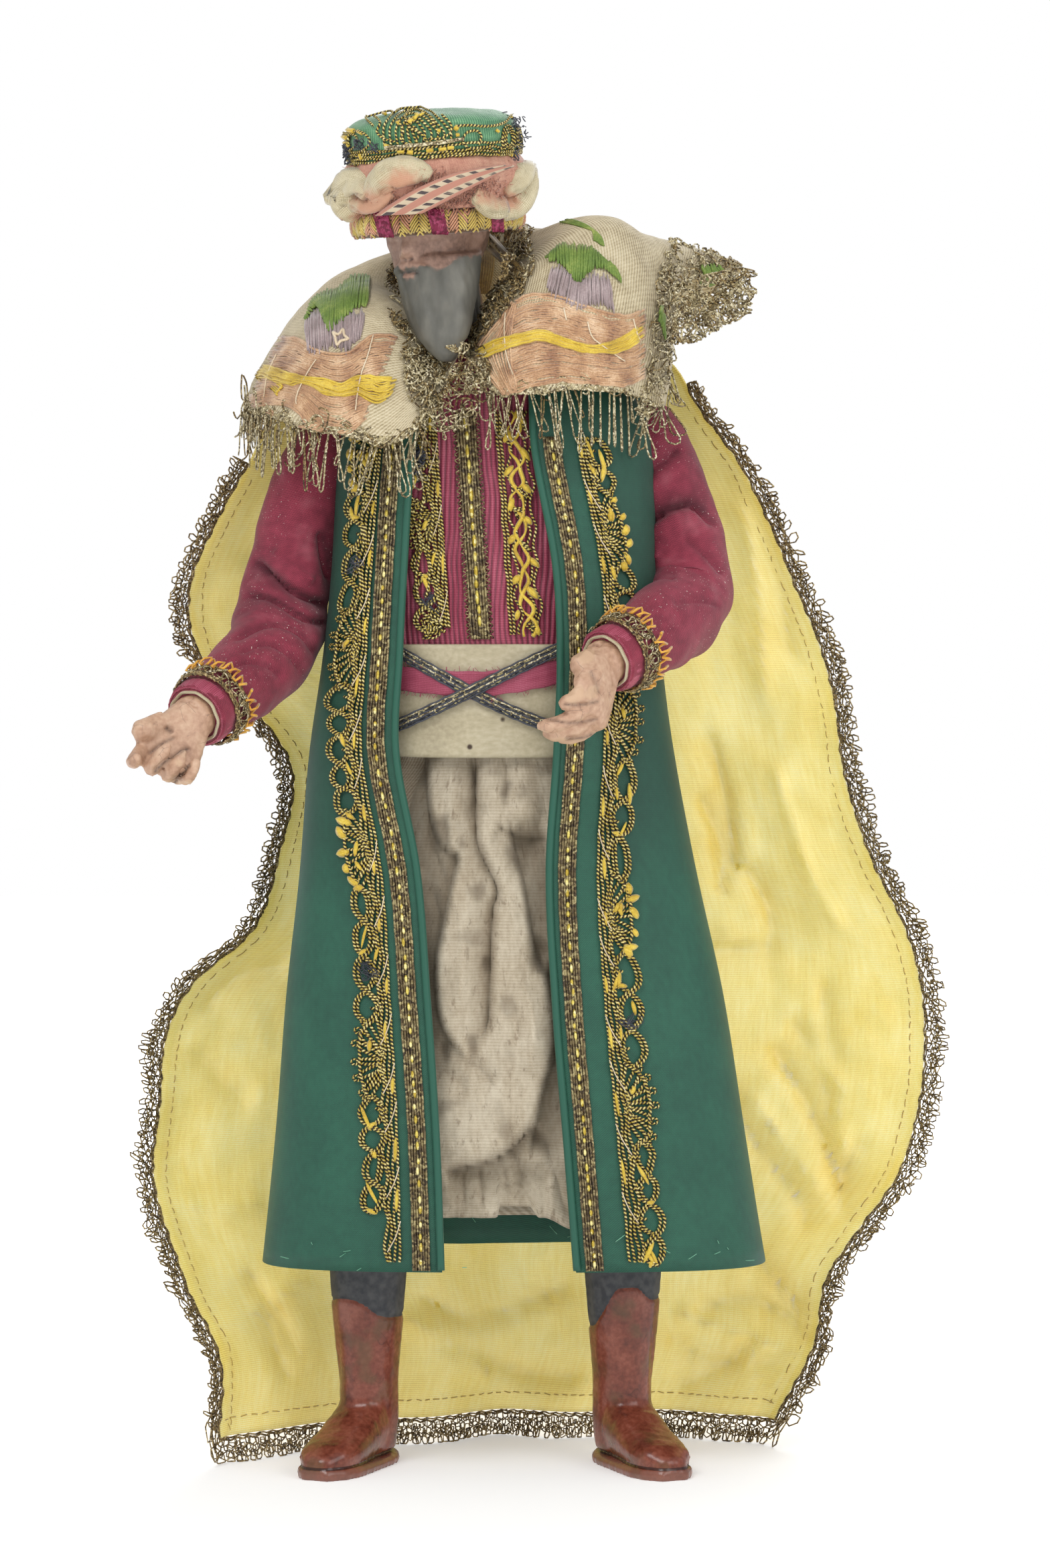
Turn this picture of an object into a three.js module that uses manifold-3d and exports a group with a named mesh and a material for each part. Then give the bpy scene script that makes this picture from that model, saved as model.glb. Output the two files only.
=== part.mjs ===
// A crib figure of an eastern dignitary: painted terracotta head, hands and booted legs,
// dressed in real cloth. Millimetres, +Z up, the boots point towards -Y.
// The origin is on the floor, under the middle of the whole dressed figure.

import * as THREE from "three";
import { mergeVertices } from "three/addons/utils/BufferGeometryUtils.js";
import Module from "manifold-3d";

const { Vector3 } = THREE;
const { sin, cos, abs, sign, PI, max, min, sqrt } = Math;
const mix = THREE.MathUtils.lerp;
const radians = THREE.MathUtils.degToRad;
const wasm = await Module();
wasm.setup();

// Cloth, braid and the play between pieces that lie on each other.
const play = 0.35;
const silk = 1.0;
const wool = 1.4;
const kid = 1.2;
const capeThickness = 1.6;
const braidThickness = 0.9;
const laceThickness = 1.0;

// Legs and boots.
const ankleSpan = 76;
const toeOut = 24;
const soleThickness = 2.6;
const legTop = 84;
const footLength = 46;
const welt = 0.7;

// Coat. The two fronts carry the same braids, each at its own distance from the edge.
const coatHem = 61;
const coatTop = 326;
const braidTop = 304;
const galloonWidth = 4.4;
const fronts = [
  { name: "right", side: -1, galloonInset: 3.2, laceInset: [8.7, 11.4] },
  { name: "left", side: 1, galloonInset: 2.8, laceInset: [12.6, 15] },
];
const frontLaceWidths = [9, 12.4];
const laceUnderCuff = [0.226, 0.292];

// Breeches, sash and waistcoat.
const breechesHem = 71;
const breechesTop = 225;
const sashOverlap = 13;
const sashHeight = 32;
const sashBottom = breechesTop - sashOverlap;
const sashTop = sashBottom + sashHeight;
const ribbonWidth = 7;
const crossBraidWidth = 4.2;
const waistcoatTop = 334;
const buttonBraidWidth = 5.5;
const chestLaceOffset = 13.6;
const chestLaceWidth = 10.2;
const chestLaceTop = 312;

// Sleeves and hands.
const sleeveRadius = 12.8;
const cuffLaceWidth = 5.4;
const wristHole = 8.3;
const shirtCuffWall = 0.7;
const wristPlay = 0.5;
const fingerRadius = 2.45;

// Cloak and its lace.
const cloakTop = 338;
const cloakHem = 8;
const edgeLaceWidth = 8.6;
const edgeLaceGap = 1.2;

// Shoulder cape and its fringe.
const neckX = -10;
const neckY = 3;
const fringeLength = 13;

// Head and turban, in the head's own frame with its origin midway between the ears.
const headPlace = new Vector3(-17, -15, 369);
const headTurn = -30;
const headNod = 9;
const headLean = 1;
const collarPlace = new Vector3(-8, 4, 322);
const skullWide = 14.3;
const skullDeep = 18.4;
const skullHigh = 19.5;
const neckRadius = 8.4;
const bandBottom = -2.6;
const bandHeight = 6;
const wrapHeight = 13.2;
const crownWallHeight = 10.2;
const crownDome = 4.2;
const bandRadius = 24.6;
const wrapRadius = 28.4;
const crownRadius = 25.6;

// Smooth curves through the rows of a table; a row starts with its level.
function through(rows) {
  const last = rows.length - 1;
  const slope = (i, k) => {
    const before = rows[max(i - 1, 0)];
    const after = rows[min(i + 1, last)];
    return (after[k] - before[k]) / (after[0] - before[0]);
  };
  return (level) => {
    let i = 0;
    while (i < last - 1 && level > rows[i + 1][0]) i += 1;
    const step = rows[i + 1][0] - rows[i][0];
    const t = min(max((level - rows[i][0]) / step, 0), 1);
    const a = (1 + 2 * t) * (1 - t) * (1 - t);
    const b = t * (1 - t) * (1 - t) * step;
    const c = t * t * (3 - 2 * t);
    const d = t * t * (t - 1) * step;
    return rows[i].slice(1).map((value, k) => {
      const rise = [slope(i, k + 1), slope(i + 1, k + 1)];
      return a * value + b * rise[0] + c * rows[i + 1][k + 1] + d * rise[1];
    });
  };
}

// Rows that start with a share of the way from one level to another.
function between(from, to, rows) {
  return rows.map(([share, ...sizes]) => [mix(from, to, share), ...sizes]);
}

// A share from 0 to 1 that starts and ends gently.
function ease(share) {
  const t = min(max(share, 0), 1);
  return t * t * (3 - 2 * t);
}

// A signed power, for squarish rounds.
function rounded(value, power) {
  return sign(value) * abs(value) ** power;
}

function closedGeometry(points, index) {
  const geometry = new THREE.BufferGeometry();
  geometry.setAttribute("position", new THREE.Float32BufferAttribute(points.flatMap((p) => [p.x, p.y, p.z]), 3));
  let volume = 0;
  for (let i = 0; i < index.length; i += 3) {
    const [a, b, c] = [0, 1, 2].map((k) => points[index[i + k]]);
    volume += a.dot(new Vector3().crossVectors(b, c));
  }
  geometry.setIndex(volume < 0 ? index.slice().reverse() : index);
  return geometry;
}

// A closed skin over rings of points, each ring a loop of as many points, with a fan over both ends.
function skin(rings) {
  const count = rings[0].length;
  const points = rings.flat();
  const index = [];
  for (let i = 0; i < rings.length - 1; i += 1) {
    for (let j = 0; j < count; j += 1) {
      const a = i * count + j;
      const b = i * count + ((j + 1) % count);
      index.push(a, b, b + count, a, b + count, a + count);
    }
  }
  for (const start of [0, (rings.length - 1) * count]) {
    const middle = new Vector3();
    for (let j = 0; j < count; j += 1) middle.addScaledVector(points[start + j], 1 / count);
    points.push(middle);
    for (let j = 0; j < count; j += 1) {
      const pair = [start + j, start + ((j + 1) % count)];
      if (start === 0) pair.reverse();
      index.push(pair[0], pair[1], points.length - 1);
    }
  }
  return solidOf(closedGeometry(points, index));
}

// A sheet of even thickness: surface(u, v) is the cloth that it lies on, lifted by lift along the normal.
// A sheet that is joined in u is a band with no seam.
function sheet(surface, across, down, thickness, lift = 0, joined = false) {
  const small = 1e-3;
  const columns = joined ? across : across + 1;
  const size = columns * (down + 1);
  const faces = [[], []];
  for (let i = 0; i < columns; i += 1) {
    for (let j = 0; j <= down; j += 1) {
      const u = i / across;
      const v = j / down;
      const here = surface(u, v);
      const alongU = surface(u + small, v).sub(surface(u - small, v));
      const alongV = surface(u, min(v + small, 1)).sub(surface(u, max(v - small, 0)));
      const normal = alongV.cross(alongU).normalize();
      faces[0].push(here.clone().addScaledVector(normal, lift + thickness / 2));
      faces[1].push(here.clone().addScaledVector(normal, lift - thickness / 2));
    }
  }
  const at = (i, j, face) => face * size + (i % columns) * (down + 1) + j;
  const index = [];
  const quad = (a, b, c, d) => index.push(a, b, c, a, c, d);
  for (let i = 0; i < across; i += 1) {
    for (let j = 0; j < down; j += 1) {
      quad(at(i, j, 0), at(i + 1, j, 0), at(i + 1, j + 1, 0), at(i, j + 1, 0));
      quad(at(i, j, 1), at(i, j + 1, 1), at(i + 1, j + 1, 1), at(i + 1, j, 1));
    }
    quad(at(i, 0, 0), at(i, 0, 1), at(i + 1, 0, 1), at(i + 1, 0, 0));
    quad(at(i, down, 0), at(i + 1, down, 0), at(i + 1, down, 1), at(i, down, 1));
  }
  for (let j = 0; j < down && !joined; j += 1) {
    quad(at(0, j, 0), at(0, j + 1, 0), at(0, j + 1, 1), at(0, j, 1));
    quad(at(across, j, 0), at(across, j, 1), at(across, j + 1, 1), at(across, j + 1, 0));
  }
  return solidOf(closedGeometry([...faces[0], ...faces[1]], index));
}

// A round bar along a curve: radius(t) is its thickness, and reach lengthens both ends.
function bar(curve, steps, sides, radius, reach = 0) {
  const { normals, binormals, tangents } = curve.computeFrenetFrames(steps);
  const rings = [];
  for (let i = 0; i <= steps; i += 1) {
    const size = radius(i / steps);
    const middle = curve.getPointAt(i / steps);
    if (i === 0) middle.addScaledVector(tangents[0], -reach);
    if (i === steps) middle.addScaledVector(tangents[steps], reach);
    const ring = [];
    for (let j = 0; j < sides; j += 1) {
      const angle = (2 * PI * j) / sides;
      const across = normals[i].clone().multiplyScalar(size * cos(angle));
      ring.push(middle.clone().add(across).addScaledVector(binormals[i], size * sin(angle)));
    }
    rings.push(ring);
  }
  return skin(rings);
}

// A level oval, its points starting in front and going round to the figure's left.
function oval(x, y, z, wide, deep, sides, squareness = 1) {
  const ring = [];
  for (let j = 0; j < sides; j += 1) {
    const angle = (2 * PI * j) / sides;
    ring.push(new Vector3(x + wide * rounded(sin(angle), squareness), y - deep * rounded(cos(angle), squareness), z));
  }
  return ring;
}

function steps(from, to, count) {
  return Array.from({ length: count + 1 }, (_, i) => mix(from, to, i / count));
}

function smoothCurve(points) {
  return new THREE.CatmullRomCurve3(points, false, "centripetal");
}

function solidOf(geometry) {
  const bare = new THREE.BufferGeometry();
  bare.setAttribute("position", geometry.getAttribute("position"));
  bare.setIndex(geometry.index);
  const merged = mergeVertices(bare, 1e-4);
  return new wasm.Manifold(
    new wasm.Mesh({
      numProp: 3,
      vertProperties: merged.attributes.position.array,
      triVerts: new Uint32Array(merged.index.array),
    }),
  );
}

function geometryOf(solid) {
  const mesh = solid.getMesh();
  const geometry = new THREE.BufferGeometry();
  geometry.setAttribute("position", new THREE.BufferAttribute(mesh.vertProperties, mesh.numProp));
  geometry.setIndex(new THREE.BufferAttribute(mesh.triVerts, 1));
  const faceted = geometry.toNonIndexed();
  faceted.computeVertexNormals();
  return faceted;
}

function turned(solid, matrix) {
  return solid.transform(matrix.elements);
}

const materials = {
  flesh: new THREE.MeshStandardMaterial({ color: 0xc9a08a, roughness: 0.6 }),
  boot: new THREE.MeshStandardMaterial({ color: 0x7d3a26, roughness: 0.35 }),
  greenCloth: new THREE.MeshStandardMaterial({ color: 0x2c6650, roughness: 0.75 }),
  crimsonCloth: new THREE.MeshStandardMaterial({ color: 0x7f2b45, roughness: 0.8 }),
  kidLeather: new THREE.MeshStandardMaterial({ color: 0xbdb29a, roughness: 0.55 }),
  ivoryCloth: new THREE.MeshStandardMaterial({ color: 0xb9ab95, roughness: 0.85 }),
  yellowSilk: new THREE.MeshStandardMaterial({ color: 0xd6bd58, roughness: 0.5 }),
  metalThread: new THREE.MeshStandardMaterial({ color: 0x746346, roughness: 0.45, metalness: 0.6 }),
  goldCord: new THREE.MeshStandardMaterial({ color: 0xa08a2e, roughness: 0.5, metalness: 0.3 }),
  pinkSilk: new THREE.MeshStandardMaterial({ color: 0xc99a82, roughness: 0.6 }),
};

// Built about an axis midway between the ankles.
const figure = new THREE.Group();

function place(name, solid, material, group = figure) {
  const mesh = new THREE.Mesh(geometryOf(solid), material);
  mesh.name = name;
  group.add(mesh);
}

// Booted legs: level, then how far forward, half width and half depth of the shank;
// share of the foot's length, then its half width and height. side is -1 for the figure's right leg.
const shankLevels = through([
  [3, 0.5, 8.0, 9.5],
  [14, -0.5, 8.6, 9.6],
  [24, -0.5, 8.4, 9.6],
  [36, 0, 9.6, 10.6],
  [49, 0, 10.9, 11.8],
  [62, 0, 11.9, 12.6],
  [90, 0, 12.2, 12.7],
]);
const footStations = through([
  [-0.21, 4.2, 12],
  [-0.15, 6.6, 16],
  [0, 8.2, 22],
  [0.2, 8.5, 18],
  [0.4, 9.0, 12.5],
  [0.58, 8.6, 9.6],
  [0.7, 6.6, 8.0],
  [0.76, 3.2, 5.6],
]);

function shank(grow) {
  const ring = (z) => {
    const [forward, wide, deep] = shankLevels(z);
    return oval(0, -forward, z, wide + grow, deep + grow, 14);
  };
  return skin(steps(soleThickness + 2, legTop + grow, 8).map(ring));
}

function foot() {
  const ring = (share) => {
    const [wide, high] = footStations(share);
    const middle = (soleThickness + high) / 2;
    return oval(0, 0, 0, wide, (high - soleThickness) / 2 + 0.3, 12, 0.8)
      .map((point) => new Vector3(point.x, -share * footLength, middle + point.y));
  };
  return skin(steps(-0.21, 0.76, 8).map(ring));
}

function sole() {
  const outline = [];
  for (const half of [-1, 1]) {
    for (const share of half < 0 ? steps(-0.225, 0.775, 9) : steps(0.775, -0.225, 9)) {
      const [wide] = footStations(min(max(share, -0.205), 0.755));
      outline.push(new THREE.Vector2(half * (wide + welt), -share * footLength));
    }
  }
  return solidOf(new THREE.ExtrudeGeometry(new THREE.Shape(outline), { depth: soleThickness, bevelEnabled: false }));
}

function legMatrix(side) {
  const turn = new THREE.Matrix4().makeRotationZ(side * radians(toeOut));
  return turn.setPosition((side * ankleSpan) / 2, 0, 0);
}

function leg(side) {
  return turned(shank(0).add(foot()).add(sole()), legMatrix(side));
}

function legSocket(side) {
  return turned(shank(play), legMatrix(side));
}

// Coat: share of the way up, middle, half width, half depth, right and left front edge.
const coatLevels = through(between(coatHem, coatTop, [
  [0, 5.8, 74.6, 38, -15.2, 23.6],
  [0.1434, 4.4, 70, 36.5, -16.6, 20.6],
  [0.2906, 2.6, 65, 34, -19.2, 17.4],
  [0.4377, 0.6, 58, 31, -22.4, 15.6],
  [0.5698, -1, 53.4, 29, -28.6, 17.8],
  [0.6755, -0.8, 50, 28, -27.6, 18.8],
  [0.7774, -0.4, 48, 27.4, -26.2, 17.4],
  [0.9019, 0, 46.6, 26.6, -24, 11.4],
  [0.9698, 0, 43, 24, -21, 10.5],
  [1, 0, 39, 21, -19, 10],
]));
const coatMiddleY = 2;
const coatSquareness = 0.62;

function coatEdgeAngle(x, middle, wide) {
  return Math.asin(rounded(min(max((x - middle) / wide, -0.98), 0.98), 1 / coatSquareness));
}

// The coat's cloth at an angle round the body, 0 in front and growing towards its left side.
function coatPoint(angle, z) {
  const [middle, wide, deep] = coatLevels(z);
  return new Vector3(middle + wide * rounded(sin(angle), coatSquareness), coatMiddleY - deep * rounded(cos(angle), coatSquareness), z);
}

function coatSurface(u, v) {
  const z = mix(coatTop, coatHem, v);
  const [middle, wide, , rightEdge, leftEdge] = coatLevels(z);
  const from = coatEdgeAngle(leftEdge, middle, wide);
  const to = coatEdgeAngle(rightEdge, middle, wide) + 2 * PI;
  return coatPoint(mix(from, to, u), z);
}

// A strip on one front of the coat. inset and width are given at its top and at the hem,
// scallops is how many bows its outer edge makes, and stretch is the share of the way down that it covers.
function coatStrip(side, inset, width, rows, scallops = 0, stretch = [0, 1]) {
  const surface = (u, share) => {
    const v = mix(stretch[0], stretch[1], share);
    const z = mix(braidTop, coatHem + play, v);
    const [middle, wide, , rightEdge, leftEdge] = coatLevels(z);
    const bow = scallops ? 1 + 0.12 * sin(2 * PI * scallops * v) : 1;
    const from = (side < 0 ? rightEdge : leftEdge) + side * mix(inset[0], inset[1], v);
    return coatPoint(coatEdgeAngle(from + side * mix(width[0], width[1], v) * bow * u, middle, wide), z);
  };
  const across = width[1] > 8 ? 3 : 1;
  return sheet(surface, across, rows, braidThickness, side * (wool / 2 + braidThickness / 2 + 0.5));
}

function coat() {
  return sheet(coatSurface, 24, 6, wool);
}

// Breeches: share of the way up, half width, half depth, depth of the folds.
const breechesLevels = through(between(breechesHem, breechesTop, [
  [0, 53, 25, 0.6],
  [0.1104, 53.5, 26, 0.8],
  [0.1364, 56, 29.5, 1.2],
  [0.3182, 56, 29.5, 2.0],
  [0.6104, 50, 27, 2.2],
  [0.8247, 40, 23.2, 1.0],
  [0.8896, 34.2, 20.8, 0.2],
  [1, 33, 20, 0],
]));

function breeches(cutters) {
  const ring = (z) => {
    const [wide, deep, fold] = breechesLevels(z);
    return oval(0, 1, z, 1, 1, 36, 0.8).map((point, j) => {
      const ripple = -fold * (0.5 + 0.5 * cos((2 * PI * j) / 3 + z / 30));
      return new Vector3((wide + ripple) * point.x, 1 + (deep + ripple) * (point.y - 1), z);
    });
  };
  const levels = [0, 0.11, 0.136, 0.23, 0.33, 0.45, 0.58, 0.71, 0.825, 0.89, 1].map((share) => mix(breechesHem, breechesTop, share));
  const rings = levels.map(ring);
  return cutters.reduce((left, cutter) => left.subtract(cutter), skin(rings));
}

// Body under the coat: level, middle, half width, half depth.
const bodyLevels = through([
  [sashBottom, -2, 38, 22],
  [breechesTop, -2, 37, 21.6],
  [sashTop, -2, 37, 21.6],
  [mix(sashTop, waistcoatTop, 0.34), -1.5, 39.5, 22.2],
  [mix(sashTop, waistcoatTop, 0.62), -1, 40.5, 22],
  [mix(sashTop, waistcoatTop, 0.82), -1, 36.5, 19],
  [waistcoatTop, -2, 24, 13],
]);
const bodySquareness = 0.8;

function bodyPoint(angle, z, lift = 0) {
  const [middle, wide, deep] = bodyLevels(z);
  const x = (wide + lift) * rounded(sin(angle), bodySquareness);
  return new Vector3(middle + x, 1 - (deep + lift) * rounded(cos(angle), bodySquareness), z);
}

// The same, at a distance x from the figure's axis in front.
function bodyFront(x, z, lift = 0) {
  const [middle, wide] = bodyLevels(z);
  return bodyPoint(Math.asin(rounded((x - middle) / (wide + lift), 1 / bodySquareness)), z, lift);
}

function waistcoat(grow = 0) {
  const ring = (z) => {
    const [middle, wide, deep] = bodyLevels(z);
    return oval(middle, 1, z, wide + grow, deep + grow, 32, bodySquareness);
  };
  const chest = [0.18, 0.34, 0.49, 0.62, 0.73, 0.82, 0.91, 1].map((share) => mix(sashTop, waistcoatTop, share));
  return skin([breechesTop + play, sashTop, ...chest].map(ring));
}

// A strip down the waistcoat's front, its middle a given offset from the line of buttons.
function waistcoatStrip(offset, width) {
  const surface = (u, v) => {
    const z = mix(chestLaceTop, sashTop + play, v);
    return bodyFront(mix(-8.8, -4.2, v) + offset + width * (u - 0.5), z);
  };
  return sheet(surface, 2, 8, braidThickness, braidThickness / 2 + play);
}

function sashDip(angle, v) {
  return 1.8 * max(cos(angle), 0) * (0.3 + 0.7 * v);
}

function sash() {
  const surface = (u, v) => {
    const point = bodyPoint(2 * PI * u, mix(sashTop, sashBottom, v));
    return point.setZ(point.z - sashDip(2 * PI * u, v));
  };
  return sheet(surface, 32, 2, kid, kid / 2 + play, true);
}

// What lies on the front of the sash, as the layers above it: height(s) is the level of its middle.
function sashStrip(height, width, layer) {
  const flat = silk / 2;
  const lift = 2 * play + kid + 0.3 + layer * (flat + play);
  const surface = (u, v) => bodyFront(mix(-27.2, 20.2, u), sashTop, lift).setZ(height(u) + width * (0.5 - v));
  return sheet(surface, 10, 1, flat, flat / 2);
}

// Arms: the sleeve's middle line from shoulder to cuff, then where the fingers and the palm point.
const arms = {
  right: {
    line: [[-42, 4, 318], [-55, 2, 290], [-62, 0, 262], [-66, -9, 243], [-77, -29, 230], [-86, -44, 222]],
    fingersTo: [-0.4, -0.52, -0.75],
    palmTo: [0.42, -0.78, 0.42],
    thumb: 1,
    fingers: [
      { start: [16, 7.0, 0], spread: 7, lengths: [8, 5, 3.6], bends: [30, 34, 22], thick: 1.02 },
      { start: [17, 2.4, 0.2], spread: 2, lengths: [8.6, 5.6, 3.8], bends: [48, 70, 42], thick: 1.03 },
      { start: [16.6, -2.2, 0], spread: -3, lengths: [8.2, 5.4, 3.6], bends: [52, 72, 44], thick: 1 },
      { start: [15, -6.6, -0.4], spread: -9, lengths: [7, 4.6, 3.4], bends: [48, 62, 40], thick: 0.95 },
      { start: [6, 6, -0.6], spread: 32, lengths: [4.6, 3.4, 2.6], bends: [12, 10, 12], thick: 1.7 },
    ],
  },
  left: {
    line: [[34, 5, 324], [45, 4, 304], [53, 3, 284], [57, 0, 259], [46, -24, 246], [32.5, -39, 238]],
    fingersTo: [-0.17, -0.62, -0.76],
    palmTo: [-0.85, 0.5, 0.06],
    thumb: -1,
    fingers: [
      { start: [16, 7.0, 0], spread: 5, lengths: [5.4, 2.4], bends: [40, 20], thick: 1.12 },
      { start: [17, 2.4, 0.2], spread: 1, lengths: [8, 5, 3.6], bends: [46, 32, 24], thick: 1.12 },
      { start: [16.6, -2.2, 0], spread: -3, lengths: [8, 5, 3.6], bends: [48, 36, 26], thick: 1.1 },
      { start: [15, -6.6, -0.4], spread: -7, lengths: [7, 4.6, 3.4], bends: [50, 40, 26], thick: 1.06 },
      { start: [3, 6, -0.6], spread: 26, lengths: [4.4, 2.4], bends: [14, 10], thick: 1.6 },
    ],
  },
};

function armCurve(arm) {
  return smoothCurve(arm.line.map((point) => new Vector3(...point)));
}

// Share of the way down the arm, then the sleeve's size there.
const sleeveSizes = through([
  [0, 0.72],
  [0.1, 0.84],
  [0.24, 1],
  [0.4, 1.02],
  [0.56, 1.1],
  [0.75, 1],
  [0.9, 0.84],
  [1, 0.75],
]);

function sleeve(arm, grow = 0) {
  const radius = (t) => {
    const [size] = sleeveSizes(t);
    const crumple = 0.6 * sin(t * 14 * PI) * ease(1 - abs(t - 0.55) / 0.3);
    return sleeveRadius * size + crumple + grow;
  };
  return bar(armCurve(arm), 14, 12, radius, grow);
}

// A short round bar on the end of an arm's line, from a distance inside the cuff to one beyond it.
function cuffBar(arm, inside, beyond, radius) {
  const curve = armCurve(arm);
  const end = curve.getPointAt(1);
  const along = curve.getTangentAt(1);
  const from = end.clone().addScaledVector(along, -inside);
  return bar(new THREE.LineCurve3(from, end.addScaledVector(along, beyond)), 1, 14, () => radius);
}

// The lace round a cuff stands a little way up the sleeve and leans off it at its upper edge.
function cuffLace(arm, grow = 0) {
  const curve = armCurve(arm);
  const frames = curve.computeFrenetFrames(100);
  const length = curve.getLength();
  const surface = (u, v) => {
    const t = 0.915 + (cuffLaceWidth / length) * v;
    const k = Math.round(t * 100);
    const radius = sleeveRadius * sleeveSizes(t)[0] + 0.6 + laceThickness / 2 + 0.4 * (1 - v);
    const angle = 2 * PI * u;
    const across = frames.normals[k].clone().multiplyScalar(radius * cos(angle));
    return curve.getPointAt(t).add(across).addScaledVector(frames.binormals[k], radius * sin(angle));
  };
  return sheet(surface, 16, 1, laceThickness + 2 * grow, 0, true);
}

function shirtCuff(arm) {
  const outer = wristHole - play;
  return cuffBar(arm, 7, 1.2, outer).subtract(cuffBar(arm, 8, 3, outer - shirtCuffWall));
}

// A hand in its own frame: the wrist at the origin, the fingers along +X, the back of the hand +Z
// and the thumb on +Y. Distance from the wrist, then shift, half width and half thickness.
const palmStations = through([
  [-2, 0, 6.6, 5.8],
  [1, 0, 7.2, 5.8],
  [6, 0.5, 8.8, 5.3],
  [12, 0.4, 9.8, 4.6],
  [17, 0, 9.3, 3.6],
  [19, 0, 7.2, 2.2],
]);

function palm() {
  const ring = (x) => {
    const [shift, wide, deep] = palmStations(x);
    return oval(0, 0, 0, wide, deep, 12, 0.8).map((point) => {
      const hollow = point.y < -0.5 ? 1.4 * ease((x - 2) / 8) * max(0, 1 - (point.x / wide) ** 2) : 0;
      return new Vector3(x, shift + point.x, point.y + hollow);
    });
  };
  return skin([-2, 1, 6, 10, 14, 17, 19].map(ring));
}

// A finger bends towards the palm joint by joint.
function finger({ start, spread, lengths, bends, thick }) {
  const points = [new Vector3(...start)];
  let bend = 0;
  lengths.forEach((length, i) => {
    bend += radians(bends[i]);
    const flat = cos(bend);
    const along = new Vector3(flat * cos(radians(spread)), flat * sin(radians(spread)), -sin(bend));
    points.push(points[i].clone().addScaledVector(along, length));
  });
  const radius = (t) => fingerRadius * thick * (1.04 - 0.2 * t) * (t > 0.95 ? 0.6 : 1);
  return bar(smoothCurve(points), 5, 7, radius);
}

function hand(arm) {
  const whole = arm.fingers.map(finger).reduce((left, one) => left.add(one), palm());
  const forward = new Vector3(...arm.fingersTo).normalize();
  const back = new Vector3(...arm.palmTo).negate();
  back.addScaledVector(forward, -back.dot(forward)).normalize();
  const across = new Vector3().crossVectors(back, forward).multiplyScalar(arm.thumb);
  const matrix = new THREE.Matrix4().makeBasis(forward, across, back);
  const curve = armCurve(arm);
  matrix.setPosition(curve.getPointAt(1).addScaledVector(curve.getTangentAt(1), 3.8));
  return turned(whole, matrix).add(cuffBar(arm, 6, 3, wristHole - play - shirtCuffWall - wristPlay));
}

// Cloak: share of the way up, then x and depth of its right and left front edges, then how far its back stands behind them.
const cloakLevels = through(between(cloakHem, cloakTop, [
  [0, -82, -6, 85, 30, 34],
  [0.0667, -82, 2, 97, 33, 34],
  [0.1333, -93, 10, 102, 35, 34],
  [0.2273, -103.5, 18, 123.5, 36, 32],
  [0.297, -102, 24, 130, 36, 30],
  [0.3576, -100.5, 27, 131.5, 36, 28],
  [0.4061, -92, 28, 130, 35, 27],
  [0.4545, -74, 27, 125.5, 34, 26],
  [0.5212, -66, 22, 114.5, 32, 25],
  [0.603, -61.5, 16, 106, 29, 24],
  [0.6667, -75, 12, 103, 27, 24],
  [0.7121, -89.5, 10, 99, 24, 24],
  [0.7697, -91.5, 8, 91, 21, 25],
  [0.8333, -82.5, 5, 82, 18, 26],
  [0.8848, -73, 2, 73, 15, 28],
  [0.9333, -66, 0, 61, 12, 30],
  [0.9697, -58, -2, 54, 10, 31],
  [1, -44, -1, 42, 10, 31],
]));

function cloakSurface(u, v) {
  const z = mix(cloakTop, cloakHem, v);
  const [rightX, rightY, leftX, leftY, back] = cloakLevels(z);
  const fall = ease(v / 0.8);
  const folds = (1.2 + 3.6 * fall) * sin(PI * u) * sin(2 * PI * (3.4 * u + 0.35 * v) + 1.2);
  const x = mix(rightX, leftX, u);
  const y = mix(rightY, leftY, u) + back * max(sin(PI * u), 0) ** 0.6 + folds;
  return new Vector3(x, y, z);
}

function cloak(cutters) {
  return cutters.reduce((left, cutter) => left.subtract(cutter), sheet(cloakSurface, 24, 16, silk));
}

// The cloak's edge, from the right shoulder down, along the hem and up to the left shoulder.
function cloakEdge(share) {
  const from = 0.12;
  const down = 0.375;
  if (share < down) return [0, mix(from, 1, share / down)];
  if (share > 1 - down) return [1, mix(1, from, (share - 1 + down) / down)];
  return [(share - down) / (1 - 2 * down), 1];
}

// The way out of the cloth at its edge, square to the edge.
function offEdge(share) {
  const small = 0.004;
  const [u, v] = cloakEdge(share);
  const [u0, v0] = cloakEdge(max(share - small, 0));
  const [u1, v1] = cloakEdge(min(share + small, 1));
  const along = cloakSurface(u1, v1).sub(cloakSurface(u0, v0)).normalize();
  const out = cloakSurface(u, v).sub(cloakSurface(mix(u, 0.5, 0.03), mix(v, 0.5, 0.03)));
  return out.addScaledVector(along, -out.dot(along)).normalize();
}

function cloakLace() {
  const picots = 24;
  const surface = (share, w) => {
    const clamped = min(max(share, 0), 1);
    const width = edgeLaceWidth * (0.88 + 0.12 * sin(2 * PI * picots * share));
    const point = cloakSurface(...cloakEdge(clamped)).addScaledVector(offEdge(clamped), edgeLaceGap + width * w);
    return point.setZ(max(point.z, laceThickness / 2 + 0.02));
  };
  return sheet(surface, 104, 1, laceThickness);
}

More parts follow.
